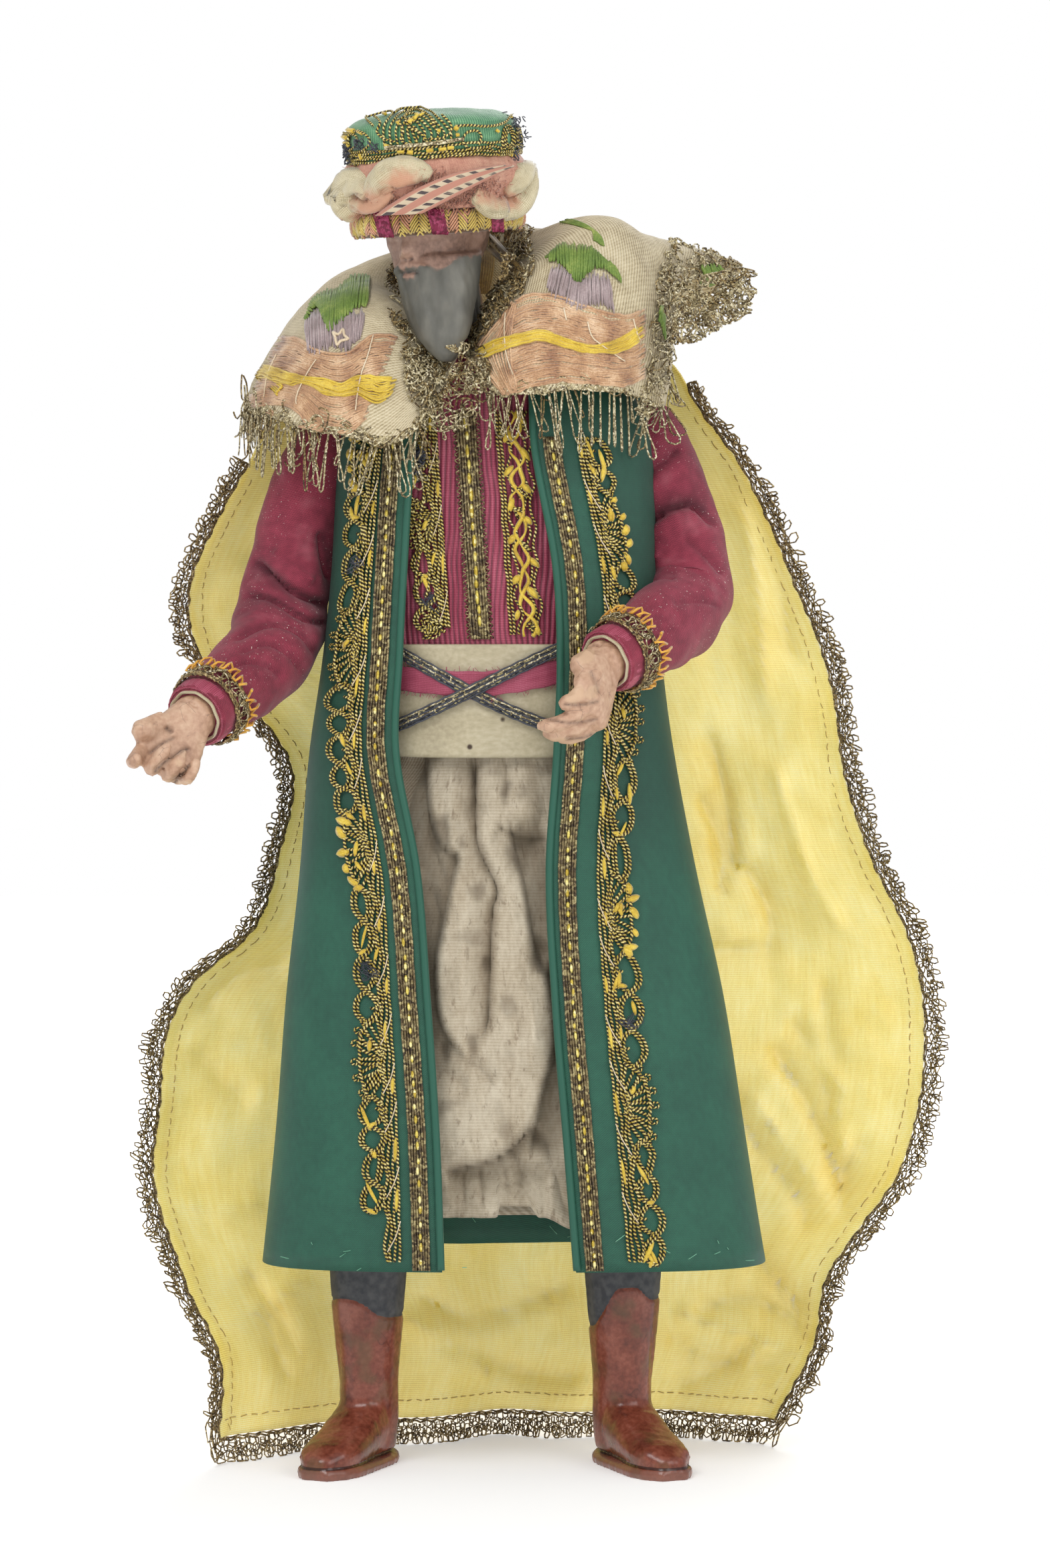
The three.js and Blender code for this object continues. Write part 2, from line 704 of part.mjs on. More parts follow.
// Shoulder cape, by angle from the front towards its left side: reach and level at the neck,
// over the shoulder and at the edge. The edge is scalloped, with a wing at the back of the left side.
const capeAngles = through([
  [-180, 20, 368, 40, 362, 50, 330],
  [-150, 20, 366, 44, 358, 60, 326],
  [-115, 20, 360, 48, 352, 66, 318],
  [-90, 22, 352, 46, 345, 64, 317],
  [-60, 20, 346, 42, 341.5, 62, 309],
  [-42, 18, 341, 38, 336, 57, 304],
  [-24, 17, 334, 31, 325, 43, 302],
  [-8, 17, 330, 25, 325, 33, 316],
  [8, 17, 331, 25, 327, 33, 321],
  [20, 17, 339, 30, 336, 36, 316],
  [45, 18, 352, 42, 352, 52, 317],
  [66, 19, 361, 51, 362, 60, 316],
  [78, 19, 365, 54, 365, 62, 317],
  [88, 19, 367, 56, 366, 63, 350],
  [98, 19, 368, 58, 367, 66, 354],
  [118, 20, 370, 66, 368, 96, 361],
  [140, 20, 370, 50, 364, 66, 334],
  [180, 20, 368, 40, 362, 50, 330],
]);

function capePoint(angle, share) {
  const [neckReach, neckLevel, reach, level, edgeReach, edgeLevel] = capeAngles(angle);
  const a = (1 - share) * (1 - 2 * share);
  const b = 4 * share * (1 - share);
  const c = share * (2 * share - 1);
  const radius = a * neckReach + b * reach + c * edgeReach;
  const turn = radians(angle);
  const z = a * neckLevel + b * level + c * edgeLevel;
  return new Vector3(neckX + radius * sin(turn), neckY - radius * cos(turn), z);
}

function capeSurface(u, v) {
  const angle = mix(2 + 10 * v, 358 - 8 * v, u);
  return capePoint(angle > 180 ? angle - 360 : angle, v);
}

function cape() {
  return sheet(capeSurface, 32, 3, capeThickness);
}

function capeFringe() {
  const surface = (u, w) => {
    const point = capeSurface(u, 1);
    const along = point.clone().sub(capeSurface(u, 0.9)).normalize();
    const length = fringeLength * (0.86 + 0.14 * sin(30 * PI * u));
    const away = new Vector3(point.x - neckX, point.y - neckY, 0).normalize();
    point.addScaledVector(along, capeThickness / 2 + play + 0.6 * length * w).addScaledVector(away, 2.8 + 0.6 * w);
    return point.setZ(point.z - 0.45 * length * w);
  };
  return sheet(surface, 60, 1, laceThickness);
}

// Head: an oval skull and face, a long beard and the neck that sits in the collar.
function headPoint(around, up, grow) {
  const angle = 2 * PI * around;
  const ring = sin(PI * up);
  const x = (skullWide + grow) * ring * rounded(sin(angle), 0.92);
  const z = -(skullHigh + grow) * cos(PI * up);
  const point = new Vector3(x, -(skullDeep + grow) * ring * rounded(cos(angle), 0.92), z);
  const near = (cx, cz, sx, sz) => (cos(angle) > 0 ? Math.exp(-(((x - cx) / sx) ** 2) - ((z - cz) / sz) ** 2) : 0);
  const nose = 4.6 * near(0, -9.5, 2.4, 3.0) + 2.4 * near(0, -4, 2, 5);
  const eyes = near(5.6, -2.5, 3.2, 2.4) + near(-5.6, -2.5, 3.2, 2.4);
  const cheeks = near(8, -8.5, 3.4, 3.2) + near(-8, -8.5, 3.4, 3.2);
  point.y += 2.0 * eyes - cheeks - nose;
  return point;
}

function skull(grow = 0) {
  const around = steps(0, 1, 24).slice(0, -1);
  return skin(steps(0.06, 0.94, 12).map((up) => around.map((share) => headPoint(share, up, grow))));
}

// Beard: level, middle, half width, half depth.
const beardLevels = through([
  [-41, 10.6, -18.2, 2.2, 2.2],
  [-38.5, 10, -17.6, 4.6, 4.2],
  [-34, 8.4, -15.6, 7.8, 6.6],
  [-29, 6.6, -13, 10, 8.6],
  [-19.5, 4.2, -8.6, 12, 11],
  [-10, 1.4, -4.4, 13.6, 13.2],
]);

function beard() {
  const ring = (z) => {
    const [x, y, wide, deep] = beardLevels(z);
    return oval(x, y, z, wide, deep, 16);
  };
  return skin([-41, -38.5, -34, -29, -24, -19.5, -15, -10].map(ring));
}

function headMatrix() {
  const turn = new THREE.Euler(radians(headNod), radians(headLean), radians(headTurn), "ZXY");
  return new THREE.Matrix4().makeRotationFromEuler(turn).setPosition(headPlace);
}

function neck(grow) {
  const collar = collarPlace.clone().applyMatrix4(headMatrix().invert());
  return bar(new THREE.LineCurve3(new Vector3(0, 3, -8), collar), 2, 14, () => neckRadius + grow, grow);
}

function head() {
  return skull().add(beard()).add(neck(0));
}

// One wound roll of the turban; puffs is how far its ruffles stand out.
function turbanRoll(bottom, height, radius, puffs) {
  const ring = ([share, inset]) => {
    const reach = radius - inset;
    return oval(0, 0, bottom + height * share, reach, reach + 0.8, 32).map((point, j) => {
      const ruffle = 1 + (puffs / radius) * sin((2 * PI * j * 7) / 32) * sin(PI * share);
      return new Vector3(point.x * ruffle, point.y * ruffle, point.z);
    });
  };
  return skin([[0, 0.9], [0.2, 0.2], [0.5, 0], [0.8, 0.2], [1, 0.9]].map(ring)).subtract(skull(0.8));
}

const wrapBottom = bandBottom + bandHeight + play;
const crownBottom = wrapBottom + wrapHeight + play;

function crown() {
  const outline = [[0, 0.97], [crownWallHeight / 2, 1], [crownWallHeight, 0.98]];
  for (const share of [0.5, 0.8, 0.95, 1]) {
    outline.push([crownWallHeight + crownDome * share, sqrt(1 - share * share * 0.97)]);
  }
  const ring = ([z, size]) => oval(0, 0, crownBottom + z, crownRadius * size, crownRadius * size, 32);
  return skin(outline.map(ring)).subtract(skull(0.8));
}

function crownLace() {
  const fans = 9;
  const radius = crownRadius + play + laceThickness / 2 + 0.3;
  const surface = (u, v) => {
    const angle = 2 * PI * u;
    const level = 0.6 + crownWallHeight * (0.88 + 0.14 * sin(angle * fans)) * (1 - v);
    return new Vector3(radius * sin(angle), -radius * cos(angle), crownBottom + level);
  };
  return sheet(surface, 54, 1, laceThickness, 0, true);
}

// A ribbon laid slantwise over the front of the wrap.
function wrapRibbon() {
  const radius = wrapRadius + 3.2;
  const surface = (u, v) => {
    const angle = mix(0.1, 1.62, u);
    const z = wrapBottom + mix(0.4, wrapHeight - 5.4, u) + 4.6 * (1 - v);
    return new Vector3(radius * sin(angle), -radius * cos(angle), z);
  };
  return sheet(surface, 10, 1, silk * 0.6);
}

function addHead() {
  const group = new THREE.Group();
  headMatrix().decompose(group.position, group.quaternion, group.scale);
  figure.add(group);
  place("head", head(), materials.flesh, group);
  place("turban_band", turbanRoll(bandBottom, bandHeight, bandRadius, 0.1), materials.pinkSilk, group);
  place("turban_wrap", turbanRoll(wrapBottom, wrapHeight, wrapRadius, 1.2), materials.pinkSilk, group);
  place("turban_crown", crown(), materials.greenCloth, group);
  place("turban_crown_lace", crownLace(), materials.goldCord, group);
  place("turban_ribbon", wrapRibbon(), materials.ivoryCloth, group);
}

function addLegs() {
  place("right_leg", leg(-1), materials.boot);
  place("left_leg", leg(1), materials.boot);
}

function addBody() {
  const onButtons = waistcoatStrip(0, buttonBraidWidth);
  place("breeches", breeches([legSocket(-1), legSocket(1)]), materials.ivoryCloth);
  place("waistcoat", waistcoat().subtract(turned(neck(play), headMatrix())), materials.crimsonCloth);
  place("waistcoat_braid", onButtons, materials.goldCord);
  place("waistcoat_lace_right", waistcoatStrip(-chestLaceOffset, chestLaceWidth), materials.goldCord);
  place("waistcoat_lace_left", waistcoatStrip(chestLaceOffset, chestLaceWidth), materials.goldCord);
  place("sash", sash(), materials.kidLeather);
  const ribbon = sashStrip((s) => sashTop - mix(9.6, 7.4, s) - 2.6 * sin(PI * s), ribbonWidth, 0);
  const falling = sashStrip((s) => mix(sashTop - 2, sashBottom + 7, s), crossBraidWidth, 1);
  const rising = sashStrip((s) => mix(sashBottom + 9, sashTop, s), crossBraidWidth, 2);
  place("sash_ribbon", ribbon, materials.crimsonCloth);
  place("sash_braid_falling", falling, materials.metalThread);
  place("sash_braid_rising", rising, materials.metalThread);
}

function addCoat() {
  const rooms = Object.values(arms).flatMap((arm) => [sleeve(arm, play), cuffLace(arm, 2 * play)]);
  const clear = (solid) => rooms.reduce((left, room) => left.subtract(room), solid);
  place("coat", clear(coat()), materials.greenCloth);
  for (const { name, side, galloonInset, laceInset } of fronts) {
    const galloon = coatStrip(side, [galloonInset, galloonInset], [galloonWidth, galloonWidth], 10);
    const start = side < 0 ? 0 : laceUnderCuff[1];
    const lace = coatStrip(side, laceInset, frontLaceWidths, 16, 4, [start, 1]);
    place(`coat_galloon_${name}`, galloon, materials.goldCord);
    place(`coat_lace_${name}`, clear(lace), materials.goldCord);
  }
  const aboveCuff = coatStrip(1, fronts[1].laceInset, frontLaceWidths, 4, 4, [0, laceUnderCuff[0]]);
  place("coat_lace_left_chest", clear(aboveCuff), materials.goldCord);
}

function addArms() {
  const body = waistcoat(play);
  for (const [name, arm] of Object.entries(arms)) {
    const hole = cuffBar(arm, 9, 4, wristHole);
    place(`${name}_sleeve`, sleeve(arm).subtract(body).subtract(hole), materials.crimsonCloth);
    place(`${name}_cuff_lace`, cuffLace(arm), materials.metalThread);
    place(`${name}_shirt_cuff`, shirtCuff(arm), materials.ivoryCloth);
    place(`${name}_hand`, hand(arm), materials.flesh);
  }
}

function addCloak() {
  place("cloak", cloak(Object.values(arms).map((arm) => sleeve(arm, play))), materials.yellowSilk);
  place("cloak_lace", cloakLace(), materials.metalThread);
}

function addCape() {
  place("shoulder_cape", cape(), materials.ivoryCloth);
  place("cape_fringe", capeFringe(), materials.metalThread);
}

addLegs();
addBody();
addCoat();
addArms();
addCloak();
addCape();
addHead();

const whole = new THREE.Box3().setFromObject(figure, true);
const middle = whole.getCenter(new Vector3());
figure.position.set(-middle.x, -middle.y, -whole.min.z);

export default figure;
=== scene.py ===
import math
import random

import bmesh
import bpy
from mathutils import Matrix, Vector, noise
from mathutils.bvhtree import BVHTree


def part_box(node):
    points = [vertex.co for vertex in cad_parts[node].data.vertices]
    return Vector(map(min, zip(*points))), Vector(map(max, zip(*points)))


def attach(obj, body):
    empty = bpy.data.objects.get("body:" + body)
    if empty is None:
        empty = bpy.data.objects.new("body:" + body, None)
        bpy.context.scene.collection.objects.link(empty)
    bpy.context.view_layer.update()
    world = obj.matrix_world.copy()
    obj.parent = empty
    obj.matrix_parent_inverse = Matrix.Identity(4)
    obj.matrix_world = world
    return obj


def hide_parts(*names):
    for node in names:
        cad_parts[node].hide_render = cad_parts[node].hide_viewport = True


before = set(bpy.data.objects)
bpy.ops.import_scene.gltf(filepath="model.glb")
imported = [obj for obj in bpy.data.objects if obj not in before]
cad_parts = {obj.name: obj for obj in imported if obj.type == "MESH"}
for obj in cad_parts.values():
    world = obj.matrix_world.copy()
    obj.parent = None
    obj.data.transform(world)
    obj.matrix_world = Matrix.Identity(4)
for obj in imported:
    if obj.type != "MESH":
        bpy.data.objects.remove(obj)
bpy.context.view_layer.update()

# A crib figure in real cloth. Its shapes are worked out in millimetres about an axis midway
# between the ankles, as in the solids, and go into the frame as the last step.
MM = 0.001
HEEL_BACK = 12.6027
RIGHT_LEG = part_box("right_leg")
LEFT_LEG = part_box("left_leg")
STAND = Vector(((RIGHT_LEG[0][0] + LEFT_LEG[1][0]) / 2, RIGHT_LEG[1][1] - HEEL_BACK * MM, 0))
TO_FRAME = Matrix.Translation(STAND) @ Matrix.Scale(MM, 4)

# The camera stands level with the waist, 1.2 m in front.
CAMERA = Vector((8.8, -1200, 202.5))
FOCAL_PIXELS = 6000
IMAGE_WIDE = 1568
IMAGE_HIGH = 2341
SENSOR = 36

random.seed(7)


# Curves, easing and small vector helpers.
def mix(a, b, share):
    return a + (b - a) * share


def ease(share):
    t = min(max(share, 0), 1)
    return t * t * (3 - 2 * t)


def to_front(way):
    """A direction, turned round where it points to the back."""
    return -way if way.y > 0 else way


def rounded(value, power):
    return math.copysign(abs(value) ** power, value)


def hump(x, middle, width):
    """A smooth hump of height 1."""
    return math.exp(-(((x - middle) / width) ** 2))


def through(rows):
    """A smooth curve through the rows of a table; a row starts with its level."""
    last = len(rows) - 1

    def slope(i, k):
        before, after = rows[max(i - 1, 0)], rows[min(i + 1, last)]
        return (after[k] - before[k]) / (after[0] - before[0])

    def at(level):
        i = 0
        while i < last - 1 and level > rows[i + 1][0]:
            i += 1
        step = rows[i + 1][0] - rows[i][0]
        t = min(max((level - rows[i][0]) / step, 0), 1)
        a = (1 + 2 * t) * (1 - t) ** 2
        b = t * (1 - t) ** 2 * step
        c = t * t * (3 - 2 * t)
        d = t * t * (t - 1) * step
        return [
            a * rows[i][k] + b * slope(i, k) + c * rows[i + 1][k] + d * slope(i + 1, k)
            for k in range(1, len(rows[0]))
        ]

    return at


def between(low, high, rows):
    """Rows that start with a share of the way from one level to another."""
    return [(mix(low, high, row[0]), *row[1:]) for row in rows]


def rough(x, y, z=0.0, size=1.0, seed=0.0):
    """Smooth noise from -1 to 1, with features of a size in millimetres."""
    return noise.noise(Vector((x / size + 31.7 * seed, y / size - 17.3 * seed, z / size + 7.9 * seed)))


def smooth_path(points, spacing):
    """Points at about even spacing on a smooth curve through a few."""
    points = [Vector(p) for p in points]
    path = []
    for i in range(len(points) - 1):
        before = points[max(i - 1, 0)]
        start, end = points[i], points[i + 1]
        after = points[min(i + 2, len(points) - 1)]
        count = max(1, round((end - start).length / spacing))
        for k in range(count):
            t = k / count
            line = 2 * start + (end - before) * t
            curve = (2 * before - 5 * start + 4 * end - after) * t * t
            twist = (3 * start - before - 3 * end + after) * t ** 3
            path.append((line + curve + twist) / 2)
    path.append(points[-1])
    return path


# Shader helpers.
def paint(code):
    """A shader colour from its sRGB hex code."""
    parts = [int(code[i:i + 2], 16) / 255 for i in (0, 2, 4)]
    return tuple(c / 12.92 if c <= 0.04045 else ((c + 0.055) / 1.055) ** 2.4 for c in parts) + (1.0,)


def connect(tree, target, value):
    if isinstance(value, bpy.types.NodeSocket):
        tree.links.new(value, target)
    else:
        target.default_value = value


def node(tree, kind, sockets=None, **settings):
    made = tree.nodes.new("ShaderNode" + kind)
    for name, value in settings.items():
        setattr(made, name, value)
    for name, value in (sockets or {}).items():
        connect(tree, made.inputs[name], value)
    return made


def sums(tree, operation, *values):
    return node(tree, "Math", dict(enumerate(values)), operation=operation).outputs[0]


def weighted(tree, *parts):
    """The sum of values, each with its share."""
    shares = [sums(tree, "MULTIPLY", value, share) for value, share in parts]
    total = shares[0]
    for share in shares[1:]:
        total = sums(tree, "ADD", total, share)
    return total


def blend(tree, share, first, second):
    made = node(tree, "Mix", data_type="RGBA", blend_type="MIX")
    for index, value in ((0, share), (6, first), (7, second)):
        connect(tree, made.inputs[index], paint(value) if isinstance(value, str) else value)
    return made.outputs[2]


def ramp(tree, share, stops, low=0.3, high=0.7):
    """A colour from stops of (share, code), or from codes in a row at even places from low to high."""
    if isinstance(stops, str):
        codes = stops.split()
        stops = [(mix(low, high, i / (len(codes) - 1)), code) for i, code in enumerate(codes)]
    made = node(tree, "ValToRGB", {"Fac": share})
    elements = made.color_ramp.elements
    for element, (place, code) in zip((elements[0], elements[1]), (stops[0], stops[-1])):
        element.position = place
        element.color = paint(code)
    for place, code in stops[1:-1]:
        elements.new(place).color = paint(code)
    return made.outputs["Color"]


def threshold(tree, value, low, high):
    """0 below low, 1 above high, and smooth between."""
    sockets = {"Value": value, "From Min": low, "From Max": high}
    return node(tree, "MapRange", sockets, interpolation_type="SMOOTHSTEP").outputs["Result"]


def speckle(tree, place, size, detail=2, stretch=None):
    """Noise from 0 to 1, its features a size in millimetres."""
    if stretch:
        place = node(tree, "VectorMath", {0: place, 1: stretch}, operation="MULTIPLY").outputs[0]
    sockets = {"Vector": place, "Scale": 1 / size, "Detail": detail}
    return node(tree, "TexNoise", sockets).outputs["Fac"]


def group(name, inputs, outputs, build):
    """A shader group: inputs are (name, kind, value), outputs are (name, kind)."""
    tree = bpy.data.node_groups.new(name, "ShaderNodeTree")
    for label, kind, value in inputs:
        socket = tree.interface.new_socket(label, in_out="INPUT", socket_type="NodeSocket" + kind)
        if value is not None:
            socket.default_value = value
    for label, kind in outputs:
        tree.interface.new_socket(label, in_out="OUTPUT", socket_type="NodeSocket" + kind)
    start = tree.nodes.new("NodeGroupInput")
    end = tree.nodes.new("NodeGroupOutput")
    for label, value in build(tree, start.outputs).items():
        tree.links.new(value, end.inputs[label])
    return tree


def build_weave(tree, given):
    """Two sets of threads over and under each other, slanted for a twill."""
    parts = node(tree, "SeparateXYZ", {0: given["Place"]})
    lean = sums(tree, "MULTIPLY", parts.outputs["Y"], given["Slant"])
    across = sums(tree, "ADD", parts.outputs["X"], lean)

    def threads(place, pitch):
        turns = sums(tree, "MULTIPLY", sums(tree, "DIVIDE", place, pitch), math.tau)
        return sums(tree, "SINE", turns)

    warp, weft = threads(across, given["Warp"]), threads(parts.outputs["Y"], given["Weft"])
    ribs = weighted(tree, (warp, 1), (weft, given["Weft share"]))
    height = weighted(tree, (ribs, 0.35), (speckle(tree, given["Place"], 0.35, 1), 1))
    return {"Height": height, "Shade": threshold(tree, height, 0.1, 0.9)}


def build_stains(tree, given):
    """Soft patches of dirt of a size, more of them as the amount grows."""
    sized = node(tree, "VectorMath", {0: given["Place"], 3: sums(tree, "DIVIDE", 1, given["Size"])},
                 operation="SCALE")
    broad = speckle(tree, sized.outputs[0], 1, 4)
    fine = speckle(tree, sized.outputs[0], 0.2, 3)
    mixed = weighted(tree, (broad, 0.75), (fine, 0.25))
    edge = sums(tree, "SUBTRACT", 0.85, sums(tree, "MULTIPLY", given["Amount"], 0.5))
    return {"Mask": threshold(tree, mixed, edge, sums(tree, "ADD", edge, 0.14))}


def build_beads(tree, given):
    """Short turns of wound thread along a cord, each with its own shade."""
    sockets = {"Vector": given["Place"], "Scale": sums(tree, "DIVIDE", 1, given["Size"])}
    cells = node(tree, "TexVoronoi", sockets)
    tone = node(tree, "SeparateColor", {0: cells.outputs["Color"]}).outputs[0]
    edge = threshold(tree, cells.outputs["Distance"], 0.75, 0.25)
    return {"Height": edge, "Tone": tone}


WEAVE = group(
    "woven threads",
    [("Place", "Vector", None), ("Warp", "Float", 0.5), ("Weft", "Float", 0.5), ("Slant", "Float", 0.0),
     ("Weft share", "Float", 1.0)],
    [("Height", "Float"), ("Shade", "Float")],
    build_weave,
)
STAINS = group(
    "soft stains",
    [("Place", "Vector", None), ("Size", "Float", 10.0), ("Amount", "Float", 0.5)],
    [("Mask", "Float")],
    build_stains,
)
BEADS = group(
    "wound thread",
    [("Place", "Vector", None), ("Size", "Float", 0.5)],
    [("Height", "Float"), ("Tone", "Float")],
    build_beads,
)


class Finish:
    """A material in the making, with a place in millimetres on the cloth or in the figure."""

    def __init__(self, name, on_cloth=False):
        self.material = bpy.data.materials.new(name)
        self.material.use_nodes = True
        self.tree = self.material.node_tree
        self.shader = self.tree.nodes["Principled BSDF"]
        if on_cloth:
            self.place = node(self.tree, "UVMap", uv_map="cloth").outputs["UV"]
        else:
            spot = node(self.tree, "TexCoord").outputs["Object"]
            self.place = node(self.tree, "VectorMath", {0: spot, 3: 1 / MM}, operation="SCALE").outputs[0]

    def use(self, tree_group, **values):
        made = self.tree.nodes.new("ShaderNodeGroup")
        made.node_tree = tree_group
        for name, value in {"Place": self.place, **values}.items():
            connect(self.tree, made.inputs[name.replace("_", " ")], value)
        return made.outputs

    def noise(self, size, detail=2, stretch=None):
        return speckle(self.tree, self.place, size, detail, stretch)

    def set(self, colour, roughness, height=None, depth=0.1, strength=0.6, **values):
        connect(self.tree, self.shader.inputs["Base Color"],
                paint(colour) if isinstance(colour, str) else colour)
        connect(self.tree, self.shader.inputs["Roughness"], roughness)
        for name, value in values.items():
            connect(self.tree, self.shader.inputs[name.replace("_", " ")], value)
        if height is not None:
            sockets = {"Height": height, "Strength": strength, "Distance": depth * MM}
            connect(self.tree, self.shader.inputs["Normal"], node(self.tree, "Bump", sockets).outputs[0])
        return self.material


def cloth_finish(name, colours, warp, weft, slant, roughness, stain, stain_size=14, stain_amount=0.4,
                 sheen=0.3, depth=0.1, weft_share=1.0, streak=None, folds=None):
    """A woven cloth: its colours from dark to light, its threads in mm, its stains, and the colour that its
    deep mark blends in: painted shade in folds and shaded places, a real pink stain on the ruffles.
    """
    made = Finish(name, on_cloth=True)
    tree = made.tree
    threads = made.use(WEAVE, Warp=warp, Weft=weft, Slant=slant, Weft_share=weft_share)
    broad = made.noise(22, 3)
    drift = made.noise(1.6, 2, streak) if streak else made.noise(3, 3)
    tone = weighted(tree, (broad, 0.45), (drift, 0.3), (threads["Shade"], 0.25))
    colour = ramp(tree, tone, colours)
    patches = made.use(STAINS, Size=stain_size, Amount=stain_amount)["Mask"]
    colour = blend(tree, patches, colour, blend(tree, 0.55, colour, stain))
    # Painted shade: the deep mark darkens folds, grooves and shaded places towards the folds colour; on the
    # ruffles the same mark is a real pink stain.
    if folds:
        deep = node(tree, "Attribute", attribute_name="deep").outputs["Fac"]
        colour = blend(tree, sums(tree, "MULTIPLY", deep, 0.75), colour, folds)
    return made.set(colour, roughness, threads["Height"], depth, Sheen_Weight=sheen, Sheen_Roughness=0.5)


def cord_finish(name, stops, size, roughness, metallic=0.0, depth=0.12, twist=None):
    """Wound cord: stops are the shades of its turns, twist the length of one turn of its strands."""
    made = Finish(name)
    tree = made.tree
    beads = made.use(BEADS, Size=size)
    tone, height = beads["Tone"], beads["Height"]
    if twist:
        place = node(tree, "Attribute", attribute_name="twist").outputs["Vector"]
        turned = node(tree, "SeparateXYZ", {0: place}).outputs
        around = sums(tree, "ARCTAN2", turned["Y"], turned["X"])
        strand = sums(tree, "SINE", sums(tree, "ADD", around,
            sums(tree, "MULTIPLY", turned["Z"], math.tau / twist)))
        height = threshold(tree, strand, -1, 1)
        tone = weighted(tree, (height, 0.7), (tone, 0.3))
    colour = ramp(tree, tone, stops)
    dust = made.use(STAINS, Size=5.0, Amount=0.45)["Mask"]
    colour = blend(tree, dust, colour, blend(tree, 0.5, colour, "5a4a33"))
    return made.set(colour, roughness, height, depth, 0.9, Metallic=metallic)


def floss_finish(name, stops, roughness=0.45, sheen=0.4):
    """Loose silk strands with a soft shine."""
    made = Finish(name)
    tone = weighted(made.tree, (made.noise(6), 0.6), (made.noise(0.5), 0.4))
    return made.set(ramp(made.tree, tone, stops), roughness, made.noise(0.3), 0.06, Sheen_Weight=sheen)


def painted_clay(name, colours, chip, stain, cracks=0.5, chips=0.25):
    """Paint over terracotta, rubbed, stained and crackled."""
    made = Finish(name)
    tree = made.tree
    tone = weighted(tree, (made.noise(9, 3), 0.6), (made.noise(1.4, 3), 0.4))
    colour = ramp(tree, tone, colours, 0.32, 0.68)
    dirt = made.use(STAINS, Size=4.0, Amount=0.45)["Mask"]
    colour = blend(tree, dirt, colour, blend(tree, 0.5, colour, stain))
    worn = made.use(STAINS, Size=1.6, Amount=chips)["Mask"]
    colour = blend(tree, worn, colour, chip)
    cells = node(tree, "TexVoronoi", {"Vector": made.place, "Scale": 0.22}, feature="DISTANCE_TO_EDGE")
    thin = threshold(tree, cells.outputs["Distance"], 0.02, 0.0)
    line = sums(tree, "MULTIPLY", thin, threshold(tree, made.noise(7), 0.52, 0.62))
    colour = blend(tree, sums(tree, "MULTIPLY", line, cracks), colour, stain)
    height = weighted(tree, (made.noise(0.8, 3), 0.5), (worn, -0.5))
    return made, colour, height


# Finishes, as the real thing shows them.
# The last colour given to a cloth is painted shade for its folds, grooves and shaded places; ivory silk's
# is a real pink stain.
YELLOW_SILK = cloth_finish("yellow_silk", "e2b448 fbd56a ffe998", 0.42, 0.6, 0.0, 0.36, "a8822c",
                           16, 0.3, 0.15, 0.07, 1.4, (1.0, 0.16, 1.0), "9c7a20")
for label, value in (("Weight", 0.55), ("Radius", (1.0, 0.9, 0.6)), ("Scale", 0.006)):
    YELLOW_SILK.node_tree.nodes["Principled BSDF"].inputs["Subsurface " + label].default_value = value
GREEN_TWILL = cloth_finish("green_twill", "124436 1a5341 235f4a", 0.62, 0.62, 1.0, 0.6, "2a4438",
                           20, 0.2, 0.05, 0.06, 0.35, None, "0c3026")
GREEN_PIPING = cloth_finish("green_piping", "134839 1c5846 266450", 0.62, 0.62, 1.0, 0.5, "2a4438",
                            20, 0.2, 0.08, 0.05, 0.35)
CRIMSON_TWILL = cloth_finish("crimson_twill", "5e1628 802138 9e3a4e", 0.6, 0.6, 1.0, 0.8, "8c4a50",
                             10, 0.3, 0.15, 0.1, 0.5, None, "370a18")
CRIMSON_RIB = cloth_finish("crimson_rib", "7a2438 a23a56 be6a7c", 0.5, 0.5, 0.0, 0.5, "4c1024",
                           8, 0.3, 0.08, 0.05, 1.2, (1.0, 0.1, 1.0), "300818")
BEIGE_CREPE = cloth_finish("beige_crepe", "9c8c74 c0b29a d9cfba", 0.5, 0.9, 0.2, 0.85, "74604a",
                           5, 0.6, 0.1, 0.12, 0.5, None, "5c4e3d")


def add_lint(material, size, low):
    """Small pale specks of lint and dust on a finished cloth."""
    tree = material.node_tree
    shader = tree.nodes["Principled BSDF"]
    colour = shader.inputs["Base Color"].links[0].from_socket
    place = node(tree, "UVMap", uv_map="cloth").outputs["UV"]
    specks = threshold(tree, speckle(tree, place, size, 1), low, low + 0.02)
    patches = threshold(tree, speckle(tree, place, 16, 2), 0.4, 0.62)
    worn = sums(tree, "MULTIPLY", threshold(tree, speckle(tree, place, 11, 3), 0.55, 0.75), 0.25)
    colour = blend(tree, worn, colour, "b07078")
    connect(tree, shader.inputs["Base Color"],
            blend(tree, sums(tree, "MULTIPLY", specks, patches), colour, "d9c4bc"))


add_lint(CRIMSON_TWILL, 0.7, 0.7)
IVORY_TWILL = cloth_finish("ivory_twill", "8f7f60 c2b391 d8ccae", 1.0, 1.0, 0.7, 0.8, "86704e",
                          12, 0.4, 0.2, 0.3, 0.4)
IVORY_SILK = cloth_finish("ivory_silk", "a3946f c2b694 d6ccae", 0.3, 0.3, 0.0, 0.5, "8a7650", 8, 0.4,
                          0.4, 0.05, folds="bd7c5e")
GREEN_RIB = cloth_finish("green_rib", "32684a 4e8a60 80b284", 0.8, 2.2, 0.0, 0.55, "164a3a", 8, 0.35,
                         0.35, 0.16, 0.15)
CRIMSON_RIBBON = cloth_finish("crimson_ribbon", "7c2038 983450 b25a70", 0.35, 0.5, 0.0, 0.5, "4a1028",
                              8, 0.3, 0.3, 0.05, 1.0, (0.15, 1.0, 1.0))

